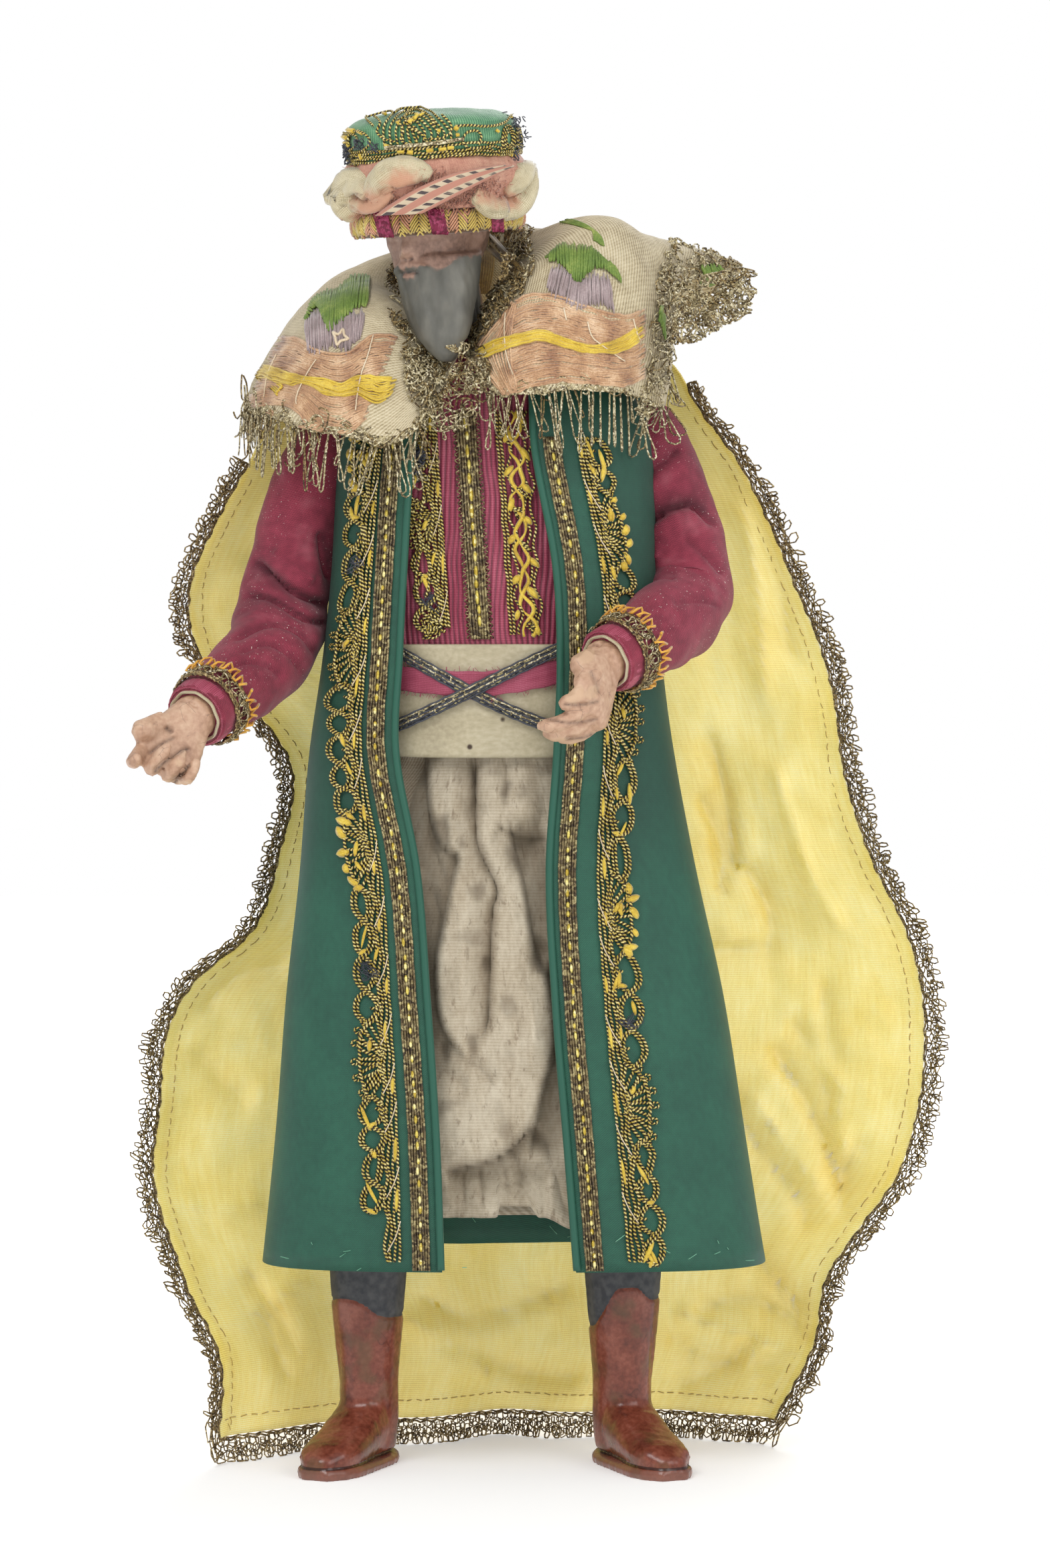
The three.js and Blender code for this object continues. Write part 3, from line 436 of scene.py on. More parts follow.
METAL_CORD = cord_finish("metal_cord", [(0.1, "564a34"), (0.4, "978762"), (0.7, "c2b48a"),
    (0.95, "eee4c4")], 0.55, 0.42, 0.15)
BRONZE_CORD = cord_finish("bronze_cord", [(0.1, "3e3020"), (0.45, "75603a"), (0.8, "9c8452"),
    (0.97, "cdb98a")], 0.5, 0.5, 0.1)
BEADED_CORD = cord_finish("beaded_cord", [(0.2, "221a12"), (0.44, "4c3f1e"), (0.6, "a4892c"),
    (0.78, "ccb452"), (0.96, "e8dc9c")], 0.9, 0.5, twist=1.15)
GALLOON_CORD = cord_finish("galloon_cord", [(0.1, "44382a"), (0.45, "6c5c40"), (0.75, "8a7a54"),
    (0.96, "b8aa7c")], 0.7, 0.4, 0.35)
BRIGHT_PLATE = cord_finish("bright_plate", [(0.1, "c4a83c"), (0.5, "e4d066"), (0.95, "fbf0b0")], 1.4, 0.3,
    0.3, 0.05)
DARK_METAL = cord_finish("dark_metal", [(0.1, "20222a"), (0.45, "3f4045"), (0.8, "6f6a58"),
    (0.97, "b3a878")], 0.9, 0.38, 0.4)
DARK_THREAD = floss_finish("dark_thread", [(0.3, "23252e"), (0.6, "4a4d58")], 0.6, 0.1)
YELLOW_FLOSS = floss_finish("yellow_floss", "ac8a1a d3b22e ecd254", 0.4)
ORANGE_FLOSS = floss_finish("orange_floss", "b47614 dc9c24 f2c248", 0.45)
STRAP_FLOSS = floss_finish("strap_floss", "4c3a20 7c6230 a08446", 0.5)
PEACH_FLOSS = floss_finish("peach_floss", "8e6042 c29870 e8caa6", 0.42)
LILAC_FLOSS = floss_finish("lilac_floss", "84726e a39090 c0b0ae", 0.5)
LEAF_FLOSS = floss_finish("leaf_floss", "4a6426 6e8838 a3ad5c", 0.6, 0.08)
CREAM_THREAD = floss_finish("cream_thread", "c9b08c efe0c4", 0.5)
STITCH_THREAD = floss_finish("stitch_thread", "a88634 cbaa50", 0.6)
PINK_PILE = floss_finish("pink_pile", "9a5f4c bd846e d8ab92", 0.7, 0.3)
GREEN_THREAD = floss_finish("green_thread", "3c8f6c 86c9a6", 0.6)
PINK_SILK = cloth_finish("pink_silk", "9c6252 be8670 d8ae94", 0.35, 0.35, 0.0, 0.6, "7a5646", 6, 0.4, 0.2,
    0.06, 1.0, (1.0, 0.4, 1.0))
BAND_GROUND = cloth_finish("herringbone_band", "4a3220 5e4229 7a5a38", 0.5, 0.5, 0.0, 0.7, "3a2a1c", 6, 0.4)
BAND_YELLOW = floss_finish("band_yellow", "a98a34 cbb052 e2cd78", 0.5)
BAND_PINK = floss_finish("band_pink", "a86a4a c48a66 dba886", 0.5)
CRIMSON_CORD = cord_finish("crimson_cord", [(0.1, "5e0f2c"), (0.5, "7f1a3f"), (0.95, "a34064")], 0.8, 0.6)


HOLES = [(-17.4, 214.6, 0.6), (-7.4, 213.4, 0.8), (2.3, 221.4, 0.8), (-23.4, 217.6, 0.4)]


def kid_leather():
    """Smooth leather with a few rusted nail holes."""
    made = Finish("sash_kid", on_cloth=True)
    tree = made.tree
    tone = weighted(tree, (made.noise(18, 3), 0.6), (made.noise(1.2, 3), 0.4))
    colour = ramp(tree, tone, "978c72 b2a78a c8bfa5")
    colour = blend(tree, made.use(STAINS, Size=7.0, Amount=0.4)["Mask"], colour, "97896a")
    spot = node(tree, "TexCoord").outputs["Object"]
    for x, z, size in HOLES:
        centre = TO_FRAME @ Vector((x, -22.6, z))
        away = node(tree, "VectorMath", {0: spot, 1: tuple(centre)}, operation="DISTANCE").outputs["Value"]
        colour = blend(tree, threshold(tree, away, (size + 0.35) * MM, size * 0.6 * MM), colour, "3c2a1c")
    return made.set(colour, 0.55, made.noise(0.5, 3), 0.05)


def ribbon_checks():
    """Pink and ivory stripes with a row of dark checks on each ivory one; across it is 6 mm."""
    made = Finish("checked_ribbon", on_cloth=True)
    tree = made.tree
    parts = node(tree, "SeparateXYZ", {0: made.place}).outputs
    stripes = checks = None
    for low, high in ((0.8, 2.2), (3.8, 5.2)):
        inside = sums(tree, "MULTIPLY", threshold(tree, parts["Y"], low - 0.15, low + 0.15),
                      threshold(tree, parts["Y"], high + 0.15, high - 0.15))
        check = sums(tree, "MULTIPLY", sums(tree, "GREATER_THAN", parts["Y"], low + 0.15),
                     sums(tree, "LESS_THAN", parts["Y"], high - 0.1))
        stripes = inside if stripes is None else sums(tree, "MAXIMUM", stripes, inside)
        checks = check if checks is None else sums(tree, "MAXIMUM", checks, check)
    row = sums(tree, "ADD", parts["X"], sums(tree, "MULTIPLY", sums(tree, "GREATER_THAN", parts["Y"], 3),
        2.2))
    dark = threshold(tree, sums(tree, "FRACT", sums(tree, "DIVIDE", row, 4.4)), 0.46, 0.4)
    colour = blend(tree, stripes, "b47c68", "c8b69a")
    worn = threshold(tree, made.noise(5, 3), 0.72, 0.5)
    colour = blend(tree, sums(tree, "MULTIPLY", sums(tree, "MULTIPLY", checks, dark), worn), colour,
                   "46393a")
    colour = blend(tree, made.use(STAINS, Size=4.0, Amount=0.4)["Mask"], colour, "8b745a")
    threads = made.use(WEAVE, Warp=0.3, Weft=0.3)
    return made.set(colour, 0.6, threads["Height"], 0.05, Sheen_Weight=0.3)


def boot_and_stocking():
    """Red-brown gloss paint below the line of the boot's top, dark matt blue above it."""
    made, boots, height = painted_clay("boot_paint", "522418 7a3e2e 955644", "a87a58", "3a1c12", chips=0.12)
    tree = made.tree
    above = node(tree, "Attribute", attribute_name="above_boot").outputs["Fac"]
    line = threshold(tree, above, 0.48, 0.52)
    stocking = ramp(tree, made.noise(2.5, 3), [(0.35, "34363b"), (0.65, "4e4f50")])
    olive = threshold(tree, made.noise(11, 3), 0.52, 0.66)
    boots = blend(tree, sums(tree, "MULTIPLY", olive, 0.5), boots, "5e4c30")
    level = node(tree, "SeparateXYZ", {0: made.place}).outputs["Z"]
    boots = blend(tree, sums(tree, "MULTIPLY", threshold(tree, level, 3.0, 2.6), 0.5), boots, "8a6254")
    boots = blend(tree, sums(tree, "MULTIPLY", sums(tree, "COMPARE", level, 3.4, 0.4), 0.8), boots,
                  "24100b")
    colour = blend(tree, line, boots, stocking)
    roughness = sums(tree, "ADD", 0.26, sums(tree, "MULTIPLY", line, 0.4))
    return made.set(colour, roughness, height, 0.15)


def head_paint():
    """Flesh with a rubbed grey beard: the beard's share is kept on the head itself."""
    made, flesh, height = painted_clay("head_paint", "6c5246 967666 b3927f", "b99c86", "4a3a32", cracks=0.3)
    tree = made.tree
    hairy = node(tree, "Attribute", attribute_name="hair").outputs["Fac"]
    worn = sums(tree, "MULTIPLY", threshold(tree, made.noise(2.4, 3, (1, 1, 0.4)), 0.36, 0.6), 0.3)
    grey = ramp(tree, made.noise(7, 3, (1, 1, 0.5)), "47463f 5c5b54 727067")
    hair = threshold(tree, sums(tree, "SUBTRACT", hairy, worn), 0.15, 0.75)
    colour = blend(tree, hair, flesh, grey)
    dark = node(tree, "Attribute", attribute_name="shaded").outputs["Fac"]
    colour = blend(tree, dark, colour, "3a2c28")
    return made.set(colour, 0.5, height, 0.12)


def hand_paint():
    made, colour, height = painted_clay("hand_paint", "a07a62 c09a80 d4b498", "dfc3a2", "3f3430",
        cracks=0.6)
    pale = node(made.tree, "Attribute", attribute_name="broken").outputs["Fac"]
    colour = blend(made.tree, pale, colour, "caa88a")
    # Painted shade in the hand's grooves.
    crack = node(made.tree, "Attribute", attribute_name="crack").outputs["Fac"]
    colour = blend(made.tree, crack, colour, "3a2c26")
    return made.set(colour, 0.48, height, 0.15)


# Making pieces.
def mark(mesh, label, value):
    """Keeps value(point in millimetres) on every vertex of a finished mesh."""
    layer = mesh.attributes.new(label, "FLOAT", "POINT")
    back = TO_FRAME.inverted()
    layer.data.foreach_set("value", [value(back @ vert.co) for vert in mesh.vertices])


def mesh_of(bm, name):
    mesh = bpy.data.meshes.new(name)
    bm.transform(TO_FRAME)
    bm.to_mesh(mesh)
    bm.free()
    mesh.shade_smooth()
    return mesh


def link(name, data):
    made = bpy.data.objects.new(name, data)
    bpy.context.scene.collection.objects.link(made)
    return made


def piece(name, mesh, slot, *nodes):
    """A finished piece of the figure, which stands for those solids."""
    made = link(name, mesh)
    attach(made, "root")
    if nodes:
        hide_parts(*nodes)
    return made


def formed(name, bm, finish, slot, *nodes, wall=0, **marks):
    """A piece of one finish. Cloth has a wall of a thickness; a mark is a value kept at every point."""
    mesh = mesh_of(bm, name)
    for label, value in marks.items():
        mark(mesh, label, value)
    mesh.materials.append(finish)
    made = piece(name, mesh, slot, *nodes)
    if wall:
        modifier = made.modifiers.new("wall", "SOLIDIFY")
        modifier.thickness = wall * MM
        modifier.offset = 0
    return made


def cloth(surface, across, down, size, joined=False):
    """A grid laid on surface(u, v). Its UV map holds millimetres of cloth of that size."""
    bm = bmesh.new()
    bmesh.ops.create_grid(bm, x_segments=across, y_segments=down, size=0.5)
    flat = bm.loops.layers.uv.new("cloth")
    for face in bm.faces:
        for loop in face.loops:
            spot = loop.vert.co
            loop[flat].uv = ((spot.x + 0.5) * size[0], (spot.y + 0.5) * size[1])
    for vert in bm.verts:
        vert.co = surface(vert.co.x + 0.5, vert.co.y + 0.5)
    if joined:
        bmesh.ops.remove_doubles(bm, verts=bm.verts, dist=0.02)
    bmesh.ops.recalc_face_normals(bm, faces=bm.faces)
    return bm


def closed(bm):
    """Fills the open rims of a form."""
    rims = [edge for edge in bm.edges if edge.is_boundary]
    bmesh.ops.holes_fill(bm, edges=rims, sides=0)
    bmesh.ops.recalc_face_normals(bm, faces=bm.faces)
    return bm


def keep_twist(mesh, paths, ring):
    """Keeps on each vertex its way round the cord and how far along the cord it is."""
    values = []
    for points, _, _ in paths:
        length = 0.0
        before = Vector(points[0])
        for point in points:
            length += (Vector(point) - before).length
            before = Vector(point)
            for k in range(ring):
                values += [math.cos(math.tau * k / ring), math.sin(math.tau * k / ring), length]
    if len(values) != 3 * len(mesh.vertices):
        raise ValueError("the cords' rings and the mesh do not agree")
    mesh.attributes.new("twist", "FLOAT_VECTOR", "POINT").data.foreach_set("vector", values)


def without_repeats(points, radius, finish):
    """A path where no point comes twice in a row."""
    kept = [0]
    for i in range(1, len(points)):
        if (Vector(points[i]) - Vector(points[i - 1])).length > 0.001:
            kept.append(i)
    if isinstance(radius, list):
        radius = [radius[i] for i in kept]
    return [points[i] for i in kept], radius, finish


def cord_mesh(name, paths, finishes, sides):
    """Round cords as one mesh. A path is its points, its radius and the number of its finish."""
    paths = [without_repeats(*path) for path in paths]
    curve = bpy.data.curves.new(name, "CURVE")
    curve.dimensions = "3D"
    curve.bevel_depth = 1
    curve.bevel_resolution = (sides - 4) // 2
    for finish in finishes:
        curve.materials.append(finish)
    for points, radius, finish in paths:
        spline = curve.splines.new("POLY")
        spline.points.add(len(points) - 1)
        spline.points.foreach_set("co", [c for p in points for c in (p[0], p[1], p[2], 1)])
        spline.points.foreach_set("radius", radius if isinstance(radius, list) else [radius] * len(points))
        spline.material_index = finish
        spline.use_smooth = True
    holder = link(name, curve)
    mesh = bpy.data.meshes.new_from_object(holder.evaluated_get(bpy.context.evaluated_depsgraph_get()))
    bpy.data.objects.remove(holder)
    bpy.data.curves.remove(curve)
    bm = bmesh.new()
    bm.from_mesh(mesh)
    closed(bm).to_mesh(mesh)
    bm.free()
    keep_twist(mesh, paths, 4 + 2 * ((sides - 4) // 2))
    mesh.transform(TO_FRAME)
    mesh.name = name
    return mesh


def corded(name, paths, finishes, slot, *nodes, sides=4):
    """A piece of cords."""
    return piece(name, cord_mesh(name, paths, finishes, sides), slot, *nodes)


class Skin:
    """A surface that things are laid on, by a point or by where the camera sees it."""

    def __init__(self, bm):
        bm.faces.ensure_lookup_table()
        self.tree = BVHTree.FromBMesh(bm)

    def near(self, point, lift):
        spot, normal, _, _ = self.tree.find_nearest(Vector(point))
        return spot + to_front(normal) * lift

    def cast(self, u, v):
        """The way that the camera looks at a pixel, and where it meets the surface."""
        line = Vector(((u - IMAGE_WIDE / 2) / FOCAL_PIXELS, 1, (IMAGE_HIGH / 2 - v) / FOCAL_PIXELS))
        spot, normal, _, _ = self.tree.ray_cast(CAMERA, line.normalized())
        return line, spot, normal

    def seen(self, u, v, lift):
        """Where the camera sees the surface at a pixel, or the nearest place to it."""
        line, spot, normal = self.cast(u, v)
        if spot is None:
            return self.near(CAMERA + line * (-CAMERA.y - 30), lift)
        return spot + to_front(normal) * lift


def in_plane(u, v, y):
    """The x and z of a place in the picture, at a depth y of the figure."""
    reach = (y - CAMERA.y) / FOCAL_PIXELS
    return CAMERA.x + (u - IMAGE_WIDE / 2) * reach, CAMERA.z - (v - IMAGE_HIGH / 2) * reach


class Folds:
    """Creases seen from the front. A row is a height, how wide it is to the right hand and to the left hand
    of someone who walks along its line, and the line itself. A side wider than 9 mm is a flat step."""

    def __init__(self, y, rows):
        self.rows = []
        for height, right, left, spots in rows:
            line = smooth_path([(*in_plane(u, v, y), 0) for u, v in spots], 1.6)
            line = [(p.x, p.y) for p in line]
            reach = 3.4 * max(right, left)
            box = (min(p[0] for p in line) - reach, max(p[0] for p in line) + reach,
                   min(p[1] for p in line) - reach, max(p[1] for p in line) + reach)
            self.rows.append((line, height, right, left, box))

    def at(self, x, z):
        total = 0
        for line, height, right, left, box in self.rows:
            if not (box[0] < x < box[1] and box[2] < z < box[3]):
                continue
            best, side, place = 1e9, 1, 0
            for i in range(len(line) - 1):
                (x0, z0), (x1, z1) = line[i], line[i + 1]
                along_x, along_z = x1 - x0, z1 - z0
                t = ((x - x0) * along_x + (z - z0) * along_z) / (along_x ** 2 + along_z ** 2 + 1e-9)
                t = min(max(t, 0), 1)
                away = math.hypot(x - x0 - t * along_x, z - z0 - t * along_z)
                if away < best:
                    best, place = away, (i + t) / (len(line) - 1)
                    side = along_x * (z - z0) - along_z * (x - x0)
            wide = left if side > 0 else right
            taper = ease(min(place, 1 - place) / 0.14)
            near = 1 - min(best / (wide if wide > 9 else 2.8 * wide), 1)
            share = ease(2.4 * near) if wide > 9 else 1 - math.sqrt(1 - near ** 2)
            total += height * taper * share
        return total

    def deep(self, x, z, full=5.0):
        """How far into a fold a place is, from 0 to 1."""
        return min(max(-self.at(x, z) / full, 0), 1)


# Camera and stage come first. Lights aim at the middle of the figure.
LIGHT_AIM = Vector((0, 0, 0.2))


def set_camera():
    data = bpy.data.cameras.new("camera")
    data.lens = FOCAL_PIXELS * SENSOR / IMAGE_HIGH
    data.sensor_width = SENSOR
    data.clip_start = 0.01
    data.clip_end = 20
    camera = link("camera", data)
    camera.matrix_world = Matrix.Translation(TO_FRAME @ CAMERA) @ Matrix.Rotation(math.pi / 2, 4, "X")
    bpy.context.scene.camera = camera


def set_floor():
    bm = bmesh.new()
    bmesh.ops.create_grid(bm, x_segments=2, y_segments=2, size=6)
    mesh = bpy.data.meshes.new("floor")
    bm.to_mesh(mesh)
    bm.free()
    plain = Finish("pale_floor")
    tree = plain.tree
    spot = node(tree, "TexCoord").outputs["Object"]
    behind = threshold(tree, node(tree, "SeparateXYZ", {0: spot}).outputs["Y"], 0.12, 1.2)
    around = threshold(tree, node(tree, "VectorMath", {0: spot}, operation="LENGTH").outputs["Value"], 0.8,
                       2.2)
    glow = sums(tree, "ADD", 0.3, sums(tree, "MULTIPLY", sums(tree, "MAXIMUM", behind, around), 0.7))
    mesh.materials.append(plain.set("f4f4f3", 0.9, Emission_Color=(1, 1, 1, 1), Emission_Strength=glow))
    floor = link("floor", mesh)


def area_light(name, place, size, power):
    data = bpy.data.lights.new(name, "AREA")
    data.energy = power
    data.size = size
    light = link(name, data)
    light.location = place
    light.rotation_euler = (LIGHT_AIM - Vector(place)).to_track_quat("-Z", "Y").to_euler()


def set_lights():
    world = bpy.data.worlds.new("studio")
    world.use_nodes = True
    tree = world.node_tree
    seen = node(tree, "LightPath").outputs["Is Camera Ray"]
    tree.nodes["Background"].inputs["Color"].default_value = (1, 1, 1, 1)
    connect(tree, tree.nodes["Background"].inputs["Strength"],
            sums(tree, "ADD", 0.5, sums(tree, "MULTIPLY", seen, 0.5)))
    bpy.context.scene.world = world
    area_light("key", (-0.6, -1.2, 1.5), 0.8, 13)
    area_light("fill", (1.0, -1.2, 1.0), 1.0, 8)
    area_light("rim", (0.4, 1.3, 1.0), 1.2, 12.5)
    bpy.context.scene.view_settings.view_transform = "Standard"
    bpy.context.scene.view_settings.look = "None"


# Cloak: share of the way up, then x and depth of its right and left front edges, then its fullness behind.
CLOAK_TOP = 338
CLOAK_HEM = 8
CLOAK_LEVELS = through(between(CLOAK_HEM, CLOAK_TOP, [
    (0, -82, -6, 85, 30, 34), (0.0667, -82, 2, 97, 33, 34), (0.1333, -93, 10, 102, 35, 34),
    (0.2273, -103.5, 18, 123.5, 36, 32), (0.297, -102, 24, 130, 36, 30),
    (0.3576, -100.5, 27, 131.5, 36, 28),
    (0.4061, -92, 28, 130, 35, 27), (0.4545, -74, 27, 125.5, 34, 26), (0.5212, -66, 22, 114.5, 32, 25),
    (0.603, -61.5, 16, 106, 29, 24), (0.6667, -75, 12, 103, 27, 24), (0.7121, -89.5, 10, 99, 24, 24),
    (0.7697, -91.5, 8, 91, 21, 25), (0.8333, -82.5, 5, 82, 18, 26), (0.8848, -73, 2, 73, 15, 28),
    (0.9333, -66, 0, 61, 12, 30), (0.9697, -58, -2, 54, 10, 31), (1, -44, -1, 42, 10, 31),
]))
CLOAK_HEM_WIDTH = 6.5
LACE_LOWEST = 0.3
CLOAK_ACROSS = 250
CLOAK_DOWN = 345
CLOAK_FOLDS = Folds(42, [
    (-4, 5, 2, [(1060, 1090), (1090, 1200), (1100, 1310)]),
    (3, 5, 5, [(1150, 1130), (1200, 1280), (1262, 1400)]),
    (-3.4, 2, 6, [(1110, 1290), (1150, 1360), (1150, 1440)]),
    (-3, 3, 6, [(1180, 1520), (1232, 1600), (1246, 1690)]),
    (-4.2, 2, 6, [(1150, 1560), (1206, 1650), (1245, 1740), (1262, 1800)]),
    (3, 3, 3, [(1120, 1640), (1180, 1720), (1230, 1790)]),
    (-3.6, 2, 6, [(1085, 1610), (1120, 1700), (1190, 1790), (1215, 1850)]),
    (-3, 5, 2, [(960, 1395), (1060, 1420), (1160, 1410)]),
    (2.4, 3, 3, [(1250, 1640), (1258, 1700), (1275, 1740)]),
    (-3, 2, 4, [(1290, 1700), (1262, 1770), (1270, 1830)]),
    (-4, 2, 6, [(1100, 1860), (1150, 1905), (1206, 1966)]),
    (-4, 2, 5, [(1040, 1975), (1100, 1950), (1160, 1960), (1222, 2008)]),
    (3, 3, 3, [(1000, 1960), (1070, 1985), (1160, 2010), (1220, 2030)]),
    (-3.4, 2, 5, [(1010, 2085), (1080, 2050), (1130, 2000)]),
    (-3, 2, 5, [(1120, 2040), (1170, 2035), (1215, 2045)]),
    (2.4, 3, 3, [(1150, 2075), (1180, 2035), (1205, 2020)]),
    (-3.6, 2, 5, [(620, 1935), (700, 1975), (780, 1960), (870, 1925)]),
    (-3.2, 2, 4, [(640, 1990), (720, 2035), (800, 2065), (880, 2060)]),
    (3, 3, 3, [(600, 1960), (680, 2010), (740, 2060)]),
    (-2.4, 3, 2, [(1000, 2000), (1060, 2040), (1120, 2035)]),
    (-3, 5, 2, [(370, 1890), (420, 1950), (450, 2010)]),
    (2.6, 3, 4, [(330, 1960), (395, 1945), (470, 1900)]),
    (-3, 4, 2, [(440, 2050), (410, 1990), (400, 1930)]),
    (-2.6, 3, 3, [(290, 1560), (340, 1620), (380, 1640)]),
    (2.6, 4, 4, [(260, 1780), (330, 1800), (400, 1790)]),
    (-3, 3, 3, [(300, 1510), (350, 1460), (430, 1440)]),
    (-2.6, 2, 4, [(370, 830), (420, 920), (410, 1000)]),
    (-2.6, 3, 2, [(1120, 700), (1160, 850), (1180, 1000)]),
    (2.4, 3, 3, [(1100, 740), (1130, 900), (1140, 1060)]),
    (-3, 2, 4, [(1040, 1180), (1075, 1260), (1078, 1340)]),
    (2.2, 2, 2, [(1210, 1560), (1236, 1600), (1262, 1640)]),
    (-2.2, 2, 3, [(1230, 1460), (1240, 1540), (1262, 1600)]),
])


def cloak_edge_distance(u, v):
    return min(u * CLOAK_ACROSS, (1 - u) * CLOAK_ACROSS, (1 - v) * (CLOAK_TOP - CLOAK_HEM))


def cloak_surface(u, v):
    z = mix(CLOAK_TOP, CLOAK_HEM, v)
    right_x, right_y, left_x, left_y, back = CLOAK_LEVELS(z)
    fall = ease(v / 0.8)
    folds = (1.2 + 3.6 * fall) * math.sin(math.pi * u) * math.sin(math.tau * (3.4 * u + 0.35 * v) + 1.2)
    x = mix(right_x, left_x, u)
    y = mix(right_y, left_y, u) + back * max(math.sin(math.pi * u), 0) ** 0.6 + folds
    return Vector((x, y, z))


def cloak_cloth(u, v):
    """The cloak with its creases, crumples and doubled hem."""
    point = cloak_surface(u, v)
    inside = ease(cloak_edge_distance(u, v) / 12)
    relief = 1.5 * CLOAK_FOLDS.at(point.x, point.z)
    relief += 1.6 * rough(point.x, 0, point.z, 19, 1) + 0.9 * rough(point.x * 1.6, 0, point.z, 8, 2)
    relief += 0.4 * rough(point.x * 2, 0, point.z, 3.6, 3)
    point.y -= relief * (0.2 + 0.8 * inside)
    point.y += (1 - inside) * 0.9 * math.sin(point.z / 5 + 2 * math.sin(point.x / 9))
    point.y -= 0.35 * ease((CLOAK_HEM_WIDTH - cloak_edge_distance(u, v)) / 0.8)
    return point


def cloak_edge(share):
    down = 0.375
    if share < down:
        return 0.0, mix(0.12, 1, share / down)
    if share > 1 - down:
        return 1.0, mix(1, 0.045, (share - 1 + down) / down)
    return (share - down) / (1 - 2 * down), 1.0


class Edge:
    """An edge of cloth, walked in millimetres: where it is, the way out of the cloth and the way off it."""

    def __init__(self, surface, route, inward, count=900):
        self.rows = []
        length = 0
        before = None
        for i in range(count + 1):
            u, v = route(i / count)
            point = surface(u, v)
            u0, v0 = inward(u, v)
            inner = surface(u0, v0)
            if before is not None:
                length += (point - before).length
            before = point
            self.rows.append([length, point, point - inner])
        for i, row in enumerate(self.rows):
            along = (self.rows[min(i + 3, count)][1] - self.rows[max(i - 3, 0)][1]).normalized()
            row[2] = (row[2] - along * row[2].dot(along)).normalized()
            row.append(along)
        self.length = length

    def at(self, s, t=0.0, lift=0.0):
        share = min(max(s / self.length, 0), 0.9999) * (len(self.rows) - 1)
        low, high, part = self.rows[int(share)], self.rows[int(share) + 1], share - int(share)
        point, out, along = (low[k].lerp(high[k], part) for k in (1, 2, 3))
        return point + out * t + to_front(along.cross(out)) * lift


def net_lace(edge, wide, start, end):
    """Rings of wire in rows along an edge, and long loops at the outside."""
    paths = []
    for t, wobble in ((0.5, 0.25), (1.2, 0.35)):
        count = int((end - start) / 1.3)
        run = [edge.at(mix(start, end, i / count), t + wobble * math.sin(i * 1.9 + t),
                       0.3 * math.sin(i * 1.1 + t)) for i in range(count + 1)]
        paths.append((run, 0.32, 0))
    rows = ((wide * 0.27, 1.3, 1.8), (wide * 0.47, 1.4, 1.9), (wide * 0.66, 1.3, 2.2))
    for row, (t, ring, pitch) in enumerate(rows):
        turns = (end - start) / pitch
        count = int(turns * 5)
        run = []
        for i in range(count + 1):
            turn = i / 5
            s = mix(start, end, i / count)
            angle = math.tau * turn
            swell = 1 + 0.8 * rough(s, row * 40, 0, 3, 4)
            ragged = 1.3 * rough(s, row * 40, 5, 4, 5)
            run.append(edge.at(s + ring * swell * math.sin(angle),
                               t + ragged + ring * swell * math.cos(angle),
                               0.5 * math.cos(angle * 0.5) + 0.5 * rough(s, 0, row * 9, 12, 6)))
        paths.append((run, 0.24, 0))
    s = start
    while s < end:
        reach = wide * (0.5 + 0.16 * random.random() + 0.1 * math.sin(s / 3.1))
        lean = random.uniform(-1.5, 1.5)
        loop_wide = random.uniform(0.7, 1.15)
        lift = random.uniform(-0.8, 0.8)
        run = []
        for i in range(8):
            angle = math.tau * i / 7
            away = (1 - math.cos(angle)) / 2
            run.append(edge.at(s + lean * away + loop_wide * math.sin(angle) * (0.5 + 0.7 * away),
                               wide * 0.55 + reach * away, lift * away + 0.25 * math.sin(angle)))
        paths.append((run, 0.25, 0))
        s += random.uniform(1.6, 3.4)
    s = start
    while s < end:
        paths.append(tangle(edge.at, s, wide * random.uniform(0.35, 1.0), random.uniform(1.2, 2.4), 1.6,
                            0.2, 0, 0.8))
        s += random.uniform(5, 13)
    return paths


def make_cloak():
    bm = cloth(cloak_cloth, 110, 136, (CLOAK_ACROSS, CLOAK_DOWN))
    # The deep mark is painted shade: in the cloak's creases, and more of it towards the top, where the arms
    # and cape shade it.
    silk = formed("silk_cloak", bm, YELLOW_SILK, "yellow_silk", "cloak", wall=0.5,
                  deep=lambda p: 0.8 * CLOAK_FOLDS.deep(p.x, p.z) + 0.35 * ease((p.z - 262) / 50))
    edge = Edge(cloak_cloth, cloak_edge, lambda u, v: (mix(u, 0.5, 0.03), mix(v, 0.5, 0.03)))
    paths = net_lace(edge, 8.4, 0, edge.length)
    for run, _, _ in paths:
        for point in run:
            point.z = max(point.z, LACE_LOWEST)
    lace = corded("cloak_net_lace", paths, [BRONZE_CORD], "tarnished_lace", "cloak_lace")
    stitches = []
    s = 4
    while s < edge.length - 4:
        long = random.uniform(1.8, 2.6)
        slope = random.uniform(-0.5, 0.5)
        run = [edge.at(s + long * k / 4, -CLOAK_HEM_WIDTH + 1.3 + slope * (k / 4 - 0.5),
                       0.42 + 0.24 * math.sin(math.pi * k / 4)) for k in range(5)]
        stitches.append((run, 0.16, 0))
        s += long + random.uniform(1.1, 1.9)
    hem = corded("cloak_hem_stitches", stitches, [STITCH_THREAD], "yellow_silk")


